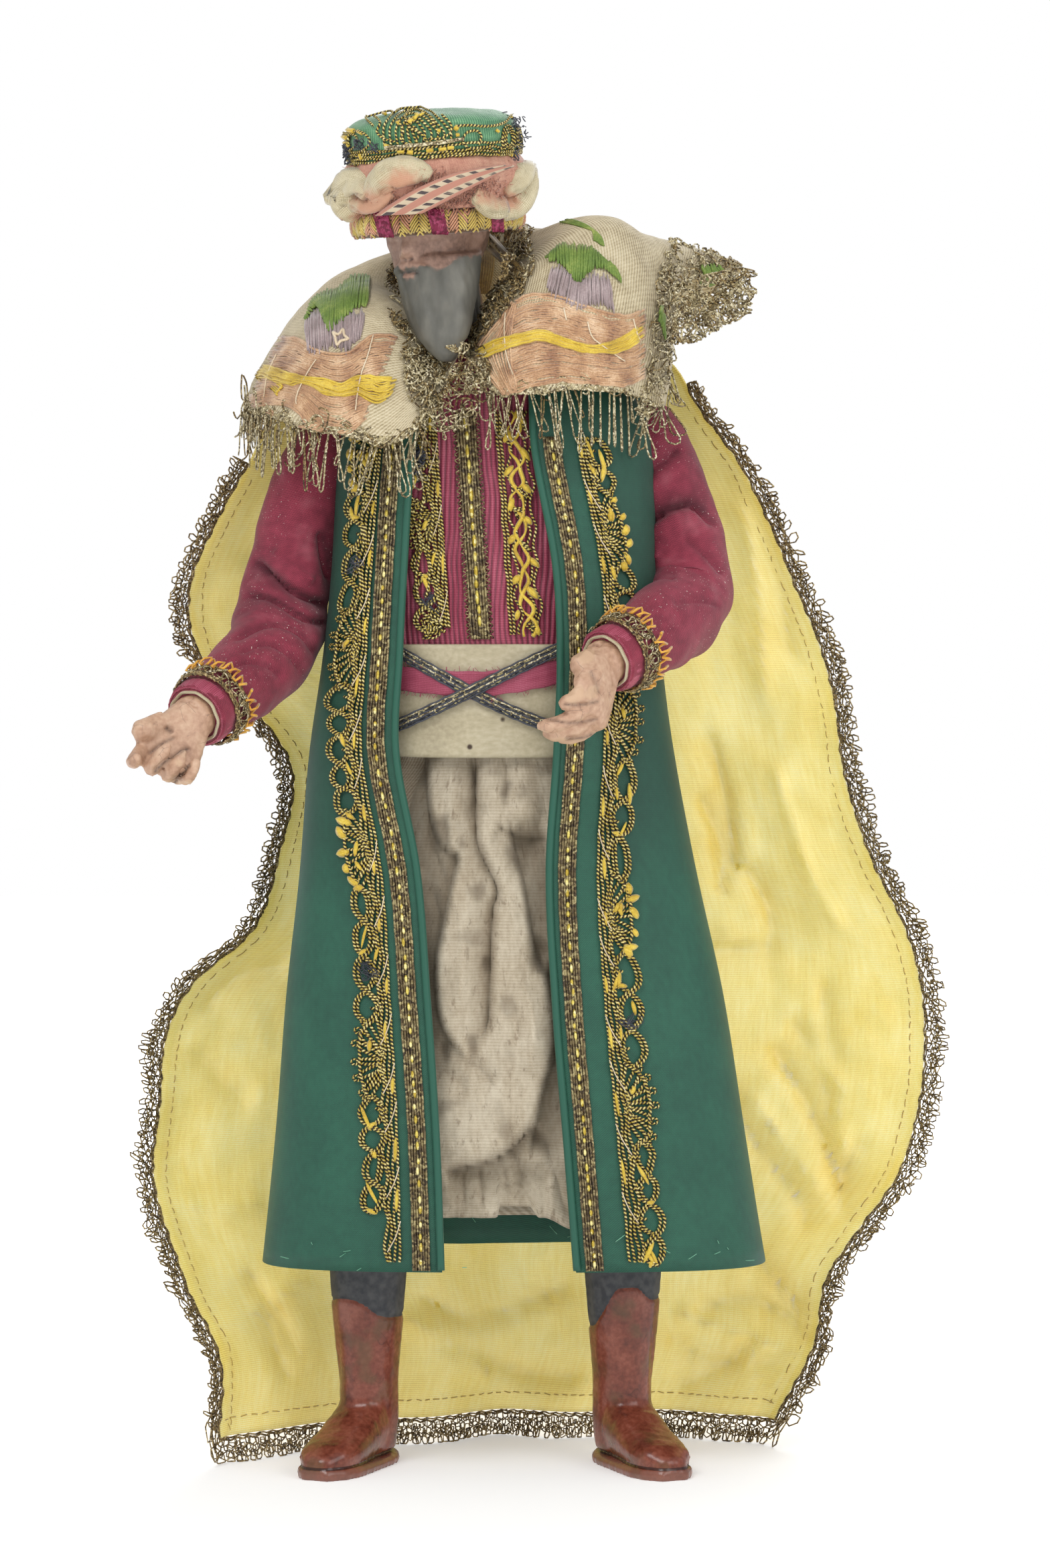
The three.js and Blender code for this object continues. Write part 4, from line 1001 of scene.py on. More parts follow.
# Coat: share of the way up, middle, half width, half depth, right and left front edge.
COAT_HEM = 61
COAT_TOP = 326
BRAID_TOP = 304
COAT_LEVELS = through(between(COAT_HEM, COAT_TOP, [
    (0, 5.8, 74.6, 38, -15.2, 23.6), (0.1434, 4.4, 70, 36.5, -16.6, 20.6),
        (0.2906, 2.6, 65, 34, -19.2, 17.4),
    (0.4377, 0.6, 58, 31, -22.4, 15.6), (0.5698, -1, 53.4, 29, -28.6, 17.8),
        (0.6755, -0.8, 50, 28, -27.6, 18.8),
    (0.7774, -0.4, 48, 27.4, -26.2, 17.4), (0.9019, 0, 46.6, 26.6, -24, 11.4),
        (0.9698, 0, 43, 24, -21, 10.5),
    (1, 0, 39, 21, -19, 10),
]))
COAT_MIDDLE_Y = 2
COAT_SQUARENESS = 0.62


def turn_to(aside, squareness):
    """The angle on a squared oval that lies a share of its half width aside."""
    return math.asin(rounded(min(max(aside, -0.98), 0.98), 1 / squareness))


def coat_edge_angle(x, middle, wide):
    return turn_to((x - middle) / wide, COAT_SQUARENESS)


def coat_point(angle, z):
    middle, wide, deep = COAT_LEVELS(z)[:3]
    point = Vector((middle + wide * rounded(math.sin(angle), COAT_SQUARENESS),
                    COAT_MIDDLE_Y - deep * rounded(math.cos(angle), COAT_SQUARENESS), z))
    behind = ease((-math.cos(angle) - 0.1) / 0.6)
    low = ease((COAT_TOP - z) / 160)
    point.y += behind * low * 2.2 * math.sin(angle * 17)
    side = ease(1.6 * abs(math.sin(angle)) - 0.9)
    point.x += side * low * 0.9 * math.sin(z / 31 + 2 * math.sin(angle))
    front = ease(2 * math.cos(angle) - 0.4)
    point.y += front * 0.5 * rough(point.x, 0, z, 26, 8)
    return point


def coat_surface(u, v):
    z = mix(COAT_TOP, COAT_HEM, v)
    middle, wide, _, right_edge, left_edge = COAT_LEVELS(z)
    start = coat_edge_angle(left_edge, middle, wide)
    end = coat_edge_angle(right_edge, middle, wide) + math.tau
    return coat_point(mix(start, end, u), z)


def coat_front(side, inset, z, lift):
    """A point on one front of the coat, a distance in from its edge."""
    middle, wide, _, right_edge, left_edge = COAT_LEVELS(z)
    edge = right_edge if side < 0 else left_edge
    angle = coat_edge_angle(edge + side * inset, middle, wide)
    point = coat_point(angle, z)
    across = coat_point(angle + 0.01, z) - coat_point(angle - 0.01, z)
    return point + to_front(Vector((across.y, -across.x, 0)).normalized()) * lift


def galloon(place, length, wide, dashes=1.0):
    """Rows of wound cord side by side, with flat bright plates down the middle."""
    rows = 7
    count = int(length / 1.2)
    paths = []
    for row in range(rows):
        t = wide * (row + 0.5) / rows
        run = [place(length * i / count, t + 0.06 * math.sin(i * 0.7 + row),
                     0.25 + 0.1 * math.sin(i * 1.7 + row * 2)) for i in range(count + 1)]
        paths.append((run, wide / rows * 0.58, 0))
    s = 1.0
    while s < length - 3:
        long = random.uniform(1.4, 2.6) * (1 + 0.7 * (dashes > 1))
        middle = wide / 2 + random.uniform(-0.2, 0.2)
        run = [place(s + long * k / 3, middle, 0.6) for k in range(4)]
        broad = 0.56 + 0.08 * (dashes > 1)
        paths.append((run, [0.5 * broad, broad, broad, 0.5 * broad], 1))
        s += long + random.uniform(0.6, 2.6) / dashes
    return paths


def strand(place, spots, thick, finish, lift=0.5, wave=0.15):
    """A cord through places on the cloth, given as millimetres along it and out from it."""
    run = []
    for i, spot in enumerate(smooth_path([(s, t, 0) for s, t in spots], 1.0)):
        run.append(place(spot.x, spot.y, lift + wave * math.sin(i * 0.9 + spots[0][0])))
    return run, thick, finish


def lump(place, s, t, long, turn, thick, finish):
    """A short fat strand of floss."""
    run = []
    for k in range(7):
        away = (k / 6 - 0.5) * long
        run.append(place(s + away * math.cos(turn), t + away * math.sin(turn),
                         0.5 + 0.5 * math.sin(math.pi * k / 6)))
    return run, [thick * v for v in (0.35, 0.8, 1.0, 1.05, 0.95, 0.75, 0.3)], finish


def tangle(place, s, t, size, turns, thick, finish, lift=0.8):
    """Loose curls of thread round a spot."""
    a, b, c = (random.uniform(0, 9) for _ in range(3))
    run = []
    count = int(turns * 9)
    for i in range(count + 1):
        angle = math.tau * turns * i / count
        run.append(place(s + size * math.sin(angle + a) * math.cos(0.37 * angle + b),
                         t + size * math.cos(angle * 1.13 + b) * math.sin(0.29 * angle + c),
                         lift * (0.6 + 0.5 * math.sin(angle * 0.61 + c))))
    return run, thick, finish


def fan(place, s, root, reach, half, flossy, thick=0.48):
    """Long loops of cord spread from the border, with a ring or a knot of floss at each tip."""
    paths = []
    tips = []
    petals = 7
    for k in range(petals):
        angle = mix(-1.25, 1.25, k / (petals - 1)) + random.uniform(-0.08, 0.08)
        foot = Vector((s + 0.2 * half * math.sin(angle), root))
        long = reach * math.cos(angle * 0.68) * random.uniform(0.9, 1)
        tip = Vector((s + half * math.sin(angle), root + long))
        out = (tip - foot).normalized()
        side = Vector((out.y, -out.x)) * min(0.14 * (tip - foot).length, 0.8)
        middle = foot.lerp(tip, 0.55)
        paths.append(strand(place, [foot - side * 0.5, middle - side, tip - side * 0.8, tip + out * 0.7,
                                    tip + side * 0.8, middle + side, foot + side * 0.5], thick, 0))
        tips.append(tip)
        if flossy and k > 0:
            paths.append(lump(place, *(tip + out * 0.8), random.uniform(2.2, 3.8), random.uniform(0, 3),
                              random.uniform(0.95, 1.4), 1))
        else:
            turns = [math.tau * i / 6 for i in range(7)]
            ring = [tip + out * 1.2 + Vector((math.sin(turn), math.cos(turn))) * 0.85 for turn in turns]
            paths.append(strand(place, ring, 0.36, 0, 0.8))
    arch = [Vector((s - half * 1.2, root + 0.6))] + tips + [Vector((s + half * 1.2, root + 0.6))]
    paths.append(strand(place, arch, thick, 0, 1.0))
    return paths


def eyes(place, start, end, root, reach, flossy, thick=0.46):
    """Cords that part and cross, with the cloth open between them."""
    count = max(1, round((end - start) / random.uniform(7.5, 11)))
    middle, swing = root + reach * 0.5, reach * 0.38
    seed = random.uniform(0, 50)
    paths = []
    for way, shift in ((1, 0), (-1, 0), (1, 0.95), (-1, 0.8)):
        spots = []
        for i in range(count * 6 + 1):
            angle = math.pi * i / 6
            wobble = 1.7 * rough(i, seed, way, 3.5, 47)
            grow = 1 + 0.8 * rough(i, seed, 9, 8, 48)
            away = way * swing * grow * rounded(math.sin(angle), 0.7)
            spots.append((mix(start, end, i / (count * 6)) + wobble * 0.8,
                          middle + away + shift + 0.5 * wobble))
        paths.append(strand(place, spots, thick, 0, 0.6 + 0.2 * way))
    for _ in range(2 + flossy * 2):
        at = random.uniform(start + 2, max(end - 2, start + 3))
        out = root + reach * random.uniform(0.05, 0.85)
        paths.append(lump(place, at, out, random.uniform(4, 8), random.uniform(-0.4, 0.4),
                          random.uniform(0.5, 0.85), 1))
    for k in range(count):
        at = mix(start, end, (k + 0.5) / count)
        if random.random() < 0.6:
            paths.append(strand(place, [(at, root - 0.5),
                                        (at + random.uniform(-1, 1), middle - 0.2 * swing)], 0.42, 0, 0.7))
        if random.random() < 0.4:
            paths.append(lump(place, at + 4, middle + random.uniform(-1, 1), random.uniform(2, 3),
                              random.uniform(0, 3), 0.7, 1))
    return paths


def cord_lace(place, length, wide, fans, half=10.5, flossy=(True, False), loose=0):
    """A border of cords with fans at places along it, and crossing cords with a frayed tuft between them.

    The finishes are beaded cord, yellow floss, dark thread, metal cord and pale thread."""
    paths = []
    for row, (t, lift) in enumerate(((0.45, 0.45), (1.4, 0.5), (2.35, 0.6), (3.2, 0.8))):
        spots = []
        for i in range(int(length / 4) + 1):
            spots.append((4 * i, t + (0.08 + 0.14 * row) * math.sin(i * 1.9 + row)))
        paths.append(strand(place, spots, 0.48, 0, lift, 0.1))
    root, reach = 2.6, wide - 3.4
    before = 0.5
    for number, s in enumerate(list(fans) + [length + half]):
        if s - half > before + 5:
            paths += eyes(place, before, min(s - half, length - 1), root, reach, loose)
            tuft = mix(before, s - half, 0.6)
            if number % 2 and tuft < length - 3:
                for _ in range(6):
                    paths.append(tangle(place, tuft + random.uniform(-2, 2),
                                        root + reach * random.uniform(0.2, 0.7), random.uniform(1.4, 2.8),
                                        1.8, 0.12, 2, 1.4))
        if s < length - half * 0.6:
            paths += fan(place, s, root, reach, half, flossy[number % len(flossy)])
            for _ in range(3 if flossy[number % len(flossy)] else 1):
                paths.append(lump(place, s + random.uniform(-5, 5), root + reach * random.uniform(0.2, 0.6),
                                  random.uniform(2.4, 4), random.uniform(-0.6, 0.6), 0.75, 1))
        before = s + half
    s = random.uniform(3, 9)
    while s < length - 10:
        long = random.uniform(4, 8)
        paths.append(lump(place, s, random.choice((0.9, 1.9)), long, 0.05, random.uniform(0.45, 0.65), 1))
        wire = s + random.uniform(4, 9)
        paths.append(strand(place, [(wire, 0.1), (wire + 4.5, 1.2), (wire + 9, 3.0)], 0.17, 4, 1.25, 0.05))
        s += random.uniform(13, 22)
    return paths


LACE_FINISHES = [BEADED_CORD, YELLOW_FLOSS, DARK_THREAD, METAL_CORD, CREAM_THREAD]
GALLOON_INSET = {"right": 3.2, "left": 2.8}
LACE_INSET = {"right": (8.7, 11.4), "left": (12.6, 15)}
LACE_WIDTH = (9, 12.4)
FANS = {"right": (4, 62, 121, 182, 236), "left": (27, 84, 140, 195)}


def coat_trim(name, side):
    """The galloon and the cord lace on one front."""
    length = BRAID_TOP - COAT_HEM
    inset = GALLOON_INSET[name]
    paths = galloon(lambda s, t, lift: coat_front(side, inset + t, BRAID_TOP - s, lift + 0.75),
                    length - 0.5, 5.3)
    band = corded(f"coat_{name}_galloon_braid", paths, [GALLOON_CORD, BRIGHT_PLATE], "gold_braid",
                  f"coat_galloon_{name}")
    start, end = LACE_INSET[name]

    def on_front(s, t, lift):
        share = min(max(s / length, 0), 0.999)
        scale = mix(*LACE_WIDTH, share) / LACE_WIDTH[0]
        return coat_front(side, mix(start, end, share) + t * scale, BRAID_TOP - share * length, lift + 0.75)

    nodes = [f"coat_lace_{name}"]
    if name == "left":
        nodes.append("coat_lace_left_chest")
    paths = cord_lace(on_front, length - 1, LACE_WIDTH[0], FANS[name], loose=1 if name == "left" else 0)
    lace = corded(f"coat_{name}_cord_lace", paths, LACE_FINISHES, "silk_cord_lace", *nodes)
    run = [coat_front(side, 0.3, mix(COAT_TOP - 4, COAT_HEM + 0.6, i / 130), 0.5) for i in range(131)]
    piping = corded(f"coat_{name}_piping", [(run, 1.15, 0)], [GREEN_PIPING], "green_twill", sides=8)
    return [band, lace, piping]


def coat_painted_shade(p):
    """Painted shade on the coat: darker beside the arms and under the cape, where they shade it."""
    beside = ease((abs(p.x + 1.5) - 24) / 16) * ease((p.z - 165) / 40)
    return max(0.62 * beside, 0.4 * ease((p.z - 284) / 12))


def make_coat():
    bm = cloth(coat_surface, 170, 56, (370, COAT_TOP - COAT_HEM))
    coat = formed("green_coat", bm, GREEN_TWILL, "green_twill", "coat", wall=1.1, deep=coat_painted_shade)
    trims = coat_trim("right", -1) + coat_trim("left", 1)
    threads = []
    for _ in range(34):
        angle = random.uniform(-1.1, 1.1) if random.random() < 0.6 else random.uniform(2.4, 3.9)
        start = coat_point(angle, COAT_HEM + random.uniform(1, 9))
        normal = Vector((0, -1.1 if math.cos(angle) > 0 else -0.9, 0))
        way = Vector((random.uniform(-1, 1), 0, random.uniform(-0.3, 0.7))) * random.uniform(2, 5)
        run = [start + normal + way * k / 4 + Vector((0, -0.2 * math.sin(k), 0)) for k in range(5)]
        threads.append((run, 0.09, 0))
    frayed = corded("coat_hem_threads", threads, [GREEN_THREAD], "green_twill")


# Waistcoat: level, middle, half width, half depth of the body.
SASH_BOTTOM = 212
SASH_TOP = 244
WAISTCOAT_TOP = 334
RIB_PITCH = 1.6
BODY_LEVELS = through([(SASH_BOTTOM, -2, 38, 22), (225, -2, 37, 21.6)] + between(SASH_TOP, WAISTCOAT_TOP, [
    (0, -2, 37, 21.6), (0.34, -1.5, 39.5, 22.2), (0.62, -1, 40.5, 22), (0.82, -1, 36.5, 19),
        (1, -2, 24, 13),
]))
BODY_SQUARENESS = 0.8


def body_point(angle, z, lift=0.0):
    middle, wide, deep = BODY_LEVELS(z)
    return Vector((middle + (wide + lift) * rounded(math.sin(angle), BODY_SQUARENESS),
                   1 - (deep + lift) * rounded(math.cos(angle), BODY_SQUARENESS), z))


def front_angle(x, z):
    middle, wide, _ = BODY_LEVELS(z)
    return turn_to((x - middle) / wide, BODY_SQUARENESS)


def body_front(x, z, lift):
    """The front of the body at an x, lifted off it."""
    angle = front_angle(x, z)
    point = body_point(angle, z)
    beside = body_point(angle + 0.01, z) - point
    return point + Vector((beside.y, -beside.x, 0)).normalized() * lift


def rib_wave(x, z):
    """From -1 in a groove to 1 on a rib."""
    slip = 0.9 * math.sin(z / 9.5 + x / 14) + 0.9 * rough(x, 0, z, 12, 11)
    return math.cos(math.tau * (x + slip) / RIB_PITCH)


def waistcoat_surface(u, v):
    """The columns stand close together in front, where the ribs are."""
    z = mix(WAISTCOAT_TOP, SASH_TOP - 17, v)
    aside = 2 * u - 1
    share, width = 0.86, 0.84
    if abs(aside) < share:
        angle = turn_to(aside / share * width, BODY_SQUARENESS)
    else:
        rest = (abs(aside) - share) / (1 - share)
        angle = math.copysign(mix(turn_to(width, BODY_SQUARENESS), math.pi, rest), aside)
    point = body_point(angle, z)
    if abs(aside) < share:
        front = ease((1 - abs(aside) / share) * 8)
        point.y -= front * (0.3 * rib_wave(point.x, z) + 0.7 * rough(point.x, 0, z, 14, 12))
    return point


BUTTON_BRAID_TOP = 312


def waistcoat_strip(offset):
    def place(s, t, lift):
        v = s / (BUTTON_BRAID_TOP - SASH_TOP)
        z = mix(BUTTON_BRAID_TOP, SASH_TOP + 0.35, v)
        return body_front(mix(-8.8, -4.2, v) + offset + t, z, lift + 0.5)
    return place


def wavy_silk(place, length):
    """Wavy cords of yellow floss with leaves of floss beside them, and beaded cords at both sides."""
    paths = []
    for row, (t, thick) in enumerate(((0.5, 0.45), (1.5, 0.45), (3.2, 0.42), (7.4, 0.42), (9.2, 0.45))):
        swing = 0.15 if row < 2 else 0.9
        spots = [(2 * i, t + swing * (math.sin(i * 1.05 + row * 0.7) + rough(i, row, 0, 2.4, 51)))
                 for i in range(int(length / 2) + 1)]
        paths.append(strand(place, spots, thick, 0, 0.6 + 0.12 * (row % 3), 0.25))
    for row in range(2):
        turn = 2.1 * row
        spots = [(1.8 * i, 5.4 + 1.7 * math.sin(i * 0.75 + turn) + 1.6 * rough(i, turn, 3, 2.6, 52))
                 for i in range(int(length / 1.8) + 1)]
        run = strand(place, spots, 0.6, 1, 0.8 + 0.3 * row, 0.3)[0]
        paths.append((run, [0.6 * (0.55 + 0.65 * abs(math.sin(0.23 * i + turn))) for i in range(len(run))],
                      1))
    for k in range(13):
        s = 3 + 5.1 * k + random.uniform(-1.2, 1.2)
        paths.append(lump(place, s, 5.6 + 2.4 * (-1) ** k + random.uniform(-0.6, 0.6), random.uniform(3, 5),
                          random.uniform(0.2, 0.9) * (-1) ** k, random.uniform(0.9, 1.25), 1))
    for _ in range(4):
        paths.append(tangle(place, random.uniform(4, length - 4), random.uniform(3, 8), 2.0, 2.2, 0.4, 0,
                            1.2))
    return paths


def frayed_lace(place, length):
    """A cord lace with tufts of loose thread at its top and foot."""
    paths = cord_lace(place, length, 10.2, (34,), 6.5, (False,))
    for _ in range(16):
        paths.append(tangle(place, 14 + random.uniform(-6, 6), 6.5 + random.uniform(-2, 2.5), 2.0, 2.6,
                            0.24, random.choice((2, 2, 3)), 1.8))
    for _ in range(5):
        paths.append(tangle(place, length - 4 + random.uniform(-3, 2), 5 + random.uniform(-3, 3), 2.6, 2.4,
                            0.42, 0, 1.2))
    for k in range(4):
        spots = [(20 + 5 * i, 1.6 + 2.1 * k + math.sin(i * 1.3 + k * 2)) for i in range(8)]
        paths.append(strand(place, spots, 0.44, 0, 1.2 + 0.3 * (k % 2)))
    return paths


def make_waistcoat():
    bm = closed(cloth(waistcoat_surface, 250, 56, (150, 107), joined=True))
    # The deep mark is painted shade in the grooves between the ribs, on the front.
    vest = formed("ribbed_waistcoat", bm, CRIMSON_RIB, "crimson_rib", "waistcoat",
                  deep=lambda p: ease(-0.2 - 1.1 * rib_wave(p.x, p.z)) * ease(-p.y / 4))
    long = BUTTON_BRAID_TOP - SASH_TOP - 0.6
    middle = waistcoat_strip(-2.9)
    paths = galloon(middle, long, 5.8, 1.8)
    for side in (0, 5.8):
        run = []
        for i in range(int(long * 5)):
            t = side + (0.7 if side else -0.7) * (0.6 + 0.8 * math.sin(i * 0.7))
            run.append(middle(i / 5, t, 0.4 + 0.3 * math.cos(i * 0.7)))
        paths.append((run, 0.22, 0))
    corded("waistcoat_galloon", paths, [GALLOON_CORD, BRIGHT_PLATE], "gold_braid", "waistcoat_braid")
    for name, side in (("right", -1), ("left", 1)):
        centre = waistcoat_strip(13.6 * side)

        def facing(s, t, lift, centre=centre, side=side):
            return centre(s, side * (t - 5.1), lift)

        paths = frayed_lace(facing, long) if side < 0 else wavy_silk(facing, long)
        corded(f"waistcoat_{name}_cord_lace", paths, LACE_FINISHES, "silk_cord_lace",
               f"waistcoat_lace_{name}")


# Sash: kid leather round the waist, with a ribbon and two crossed braids between the same two ends.
KID_LIFT = 0.95
RIBBON_ENDS = (-27.2, 20.2)
BRAID_LENGTH = 53


def sash_dip(angle, v):
    return 1.8 * max(math.cos(angle), 0) * (0.3 + 0.7 * v)


def sash_surface(u, v):
    angle = mix(-math.pi, math.pi, u)
    z = mix(SASH_TOP, SASH_BOTTOM, v)
    point = body_point(angle, z, KID_LIFT)
    front = ease(math.cos(angle) * 2)
    crease = 0.5 * hump(v, 0.66, 0.07) * rough(point.x, 0, 0, 8, 15)
    wrinkle = 0.45 * rough(point.x, 0, z * 2.4, 9, 14) + crease
    point.y -= front * (wrinkle + 0.5 * hump(v, 0.97, 0.06))
    point.z -= sash_dip(angle, v)
    return point


def sash_front(x, z, lift):
    point = body_front(x, z, lift + KID_LIFT + 0.6)
    point.z -= sash_dip(front_angle(x, z), (SASH_TOP - z) / (SASH_TOP - SASH_BOTTOM))
    return point


BRAID_ROWS = (2, 0, 2, 1, 2, 0, 1, 2)


def make_sash():
    bm = cloth(sash_surface, 130, 26, (190, 32), joined=True)
    kid = formed("kid_sash", bm, kid_leather(), "sash_kid", "sash", wall=0.9)
    silk, frayed = make_ribbon()
    braids = [make_braid(*row) for row in (("falling", 242, 219, 1.15), ("rising", 221, 244, 1.75))]


def make_ribbon():
    def ribbon(u, v):
        x = mix(*RIBBON_ENDS, u)
        z = SASH_TOP - mix(9.6, 7.4, u) - 2.6 * math.sin(math.pi * u) + 3.5 * (1 - 2 * v)
        z += 0.1 * math.sin(u * 41) * (2 * v - 1) + 0.2 * rough(x, v * 30, 0, 4, 16) * abs(2 * v - 1)
        return sash_front(x, z, 0.8 + 0.3 * rough(x, 0, z, 4, 17) + 0.25 * (2 * v - 1) ** 2)

    bm = cloth(ribbon, 90, 8, (50, 7))
    silk = formed("crimson_ribbon", bm, CRIMSON_RIBBON, "crimson_rib", "sash_ribbon", wall=0.4)
    threads = []
    for _ in range(90):
        u = random.random()
        v = random.choice((0.0, 1.0))
        start = ribbon(u, v)
        down = -1 if v else 1
        way = Vector((random.uniform(-0.8, 0.8), -0.3,
                      down * random.uniform(0.3, 1.1))) * random.uniform(0.8, 2.2)
        threads.append(([start + way * k / 3 + Vector((0, -0.3 * math.sin(k), 0)) for k in range(4)], 0.08,
                        0))
    return silk, corded("crimson_ribbon_fray", threads, [CRIMSON_RIBBON], "crimson_rib")


def make_braid(name, start, end, lift):
    """A flat braid of eight cords, from one level of the sash to another."""
    def place(s, t, out):
        u = s / BRAID_LENGTH
        sag = 1.6 * math.sin(math.pi * u) if start > end else 0
        return sash_front(mix(*RIBBON_ENDS, u), mix(start, end, u) - sag + t - 2.1, lift + out)

    paths = []
    for row in range(8):
        run = []
        for i in range(81):
            t = 3.9 * (row + 0.5) / 8 + 0.08 * math.sin(i * 0.9 + row)
            run.append(place(BRAID_LENGTH * i / 80, t, 0.22 + 0.1 * math.sin(i * 1.57 + row * math.pi)))
        paths.append((run, 0.29, BRAID_ROWS[row]))
    for k in range(11):
        s = 2.5 + 4.6 * k + random.uniform(-1, 1)
        t = random.uniform(0.6, 2.2)
        run = [place(s, t + 1.2 * i / 3, 0.52) for i in range(4)]
        paths.append((run, [0.12, 0.26, 0.26, 0.12], 1))
    finishes = [DARK_METAL, METAL_CORD, DARK_THREAD]
    return corded(f"{name}_braid", paths, finishes, "tarnished_braid", f"sash_braid_{name}")


# Breeches: share of the way up, half width and half depth.
BREECHES_HEM = 71
BREECHES_TOP = 225
BREECHES_LEVELS = through(between(BREECHES_HEM, BREECHES_TOP, [
    (0, 53, 25), (0.11, 53.5, 26), (0.136, 56, 29.5), (0.318, 56, 29.5), (0.61, 50, 27), (0.825, 40, 23.2),
    (0.89, 34.2, 20.8), (1, 33, 20),
]))
BREECHES_FOLDS = Folds(-27, [
    (-5.0, 14, 0.7, [(630, 1080), (636, 1150), (641, 1216), (656, 1262), (683, 1279), (674, 1321),
        (663, 1378), (652, 1426), (651, 1487), (663, 1540), (697, 1580), (712, 1596)]),
    (-6.0, 5, 1.0, [(711, 1090), (711, 1216), (715, 1264), (744, 1330), (737, 1356), (733, 1443),
        (730, 1522), (719, 1552), (702, 1584)]),
    (-4.6, 0.7, 13, [(756, 1215), (763, 1251), (772, 1286), (783, 1330), (796, 1408), (807, 1439),
        (824, 1472), (834, 1510)]),
    (-3.6, 6, 0.6, [(741, 1230), (763, 1243), (789, 1250), (822, 1248)]),
    (-4.6, 0.7, 12, [(818, 1430), (826, 1500), (829, 1531), (827, 1575), (811, 1627), (798, 1688),
        (788, 1730)]),
    (-3.0, 2.5, 2.5, [(698, 1580), (722, 1600), (738, 1616)]),
    (-1.6, 3, 3, [(668, 1600), (684, 1612), (700, 1618)]),
    (-7, 8, 1.0, [(660, 1750), (706, 1742), (754, 1722), (800, 1676)]),
    (-2.0, 1.2, 2.5, [(702, 1120), (706, 1170), (702, 1225)]),
    (-1.8, 1.2, 2, [(752, 1125), (757, 1170), (752, 1205)]),
    (1.6, 2.5, 2.5, [(676, 1320), (690, 1400), (686, 1500)]),
    (2.2, 3, 3, [(770, 1440), (796, 1520), (790, 1600)]),
    (-1.4, 1, 2, [(644, 1330), (656, 1370), (648, 1410)]),
    (-1.2, 1.5, 1, [(640, 1240), (660, 1300), (668, 1330)]),
    (-1.2, 1, 1, [(676, 1180), (690, 1196), (700, 1222)]),
    (-1.2, 1, 1.5, [(760, 1480), (772, 1510), (776, 1560)]),
    (-2, 0.8, 0.8, [(717, 1748), (719, 1800), (720, 1826)]), (-1.4, 0.7, 0.7, [(753, 1740), (758, 1800)]),
    (-1.4, 0.7, 0.7, [(690, 1752), (692, 1822)]), (-2.4, 1.2, 3, [(760, 1715), (778, 1752), (776, 1800)]),
    (-1.6, 1.5, 3, [(812, 1700), (830, 1760), (846, 1826)]),
])
BREECHES_HOLLOWS = [(780, 1272, 7, 2.5), (655, 1240, 6, 2.0), (806, 1430, 5, 2.0), (664, 1568, 3.4, 3.0),
    (714, 1330, 4, 1.5), (640, 1120, 5, 1.5), (728, 1440, 3, 1.5), (706, 1556, 3.5, 2.0),
    (756, 1180, 3, 1.0), (690, 1260, 3, 0.5)]
FRONT_SHARE = 0.72
FRONT_WIDTH = 0.62


def hollow(x, z):
    """How deep a place lies in the hollows between the folds, and how much painted shade it gets there."""
    deep = shade = 0
    for u, v, size, depth in BREECHES_HOLLOWS:
        spot_x, spot_z = in_plane(u, v, -27)
        away = math.hypot((x - spot_x) * 1.5, z - spot_z) / size + 0.5 * rough(x, 0, z, 3, 49)
        share = ease(1.3 - away)
        deep += depth * share
        shade = max(shade, share)
    return deep, shade


def breeches_surface(u, v):
    """The columns stand close together in front, where the folds are."""
    z = mix(BREECHES_TOP, BREECHES_HEM, v)
    wide, deep = BREECHES_LEVELS(z)
    aside = 2 * u - 1
    if abs(aside) < FRONT_SHARE:
        angle = turn_to(aside / FRONT_SHARE * FRONT_WIDTH, BODY_SQUARENESS)
    else:
        rest = (abs(aside) - FRONT_SHARE) / (1 - FRONT_SHARE)
        angle = math.copysign(mix(turn_to(FRONT_WIDTH, BODY_SQUARENESS), math.pi, rest), aside)
    point = Vector((wide * rounded(math.sin(angle), BODY_SQUARENESS),
                    1 - deep * rounded(math.cos(angle), BODY_SQUARENESS), z))
    front = ease((FRONT_WIDTH + 0.2 - abs(point.x / wide)) / 0.2) if math.cos(angle) > 0 else 0
    if front:
        x = point.x
        fold = BREECHES_FOLDS.at(x, z)
        crumple = 1.2 * rough(x * 1.5, 0, z * 0.7, 9, 18) + 0.8 * rough(x * 0.7, 0, z * 1.2, 4.6, 19)
        crumple += 0.25 * rough(x, 0, z, 1.9, 20) - hollow(x, z)[0]
        bulge = 2.4 * hump(x, -10, 7) * hump(z, 138, 22) + 3.0 * hump(x, 9, 8) * hump(z, 122, 26)
        bulge += 1.8 * hump(x, -9, 7) * hump(z, 196, 12) + 2.2 * hump(x, 4, 7) * hump(z, 194, 14)
        lower = ease((93 - z) / 4) * ease((17 - x) / 3)
        point.y -= front * (max(1.1 * fold, -9) + crumple + bulge - 3.2 * lower - 0.6)
        step = 3.4 * ease((x - 0.5) / 0.6) * ease((13 - x) / 3) - 3.2 * ease((x - 15) / 8)
        point.z += front * (4.2 + step) * ease((z - 90) / -19)
    behind = ease(-math.cos(angle) * 2)
    point.y += behind * 1.2 * math.sin(angle * 19)
    return point


def make_breeches():
    # Painted shade in the folds and hollows, and real stains in soft patches, all on the front.
    def shade_and_stains(p):
        fold = 0.85 * BREECHES_FOLDS.deep(p.x, p.z, 6.5)
        patch = 0.5 * ease(2.4 * rough(p.x, 0, p.z, 7, 50) - 0.5)
        return max(fold, 0.8 * hollow(p.x, p.z)[1], patch) * ease(-p.y / 8)

    bm = cloth(breeches_surface, 150, 96, (250, 154), joined=True)
    crepe = formed("crepe_breeches", bm, BEIGE_CREPE, "breeches_crepe", "breeches", wall=0.6, deep=shade_and_stains)


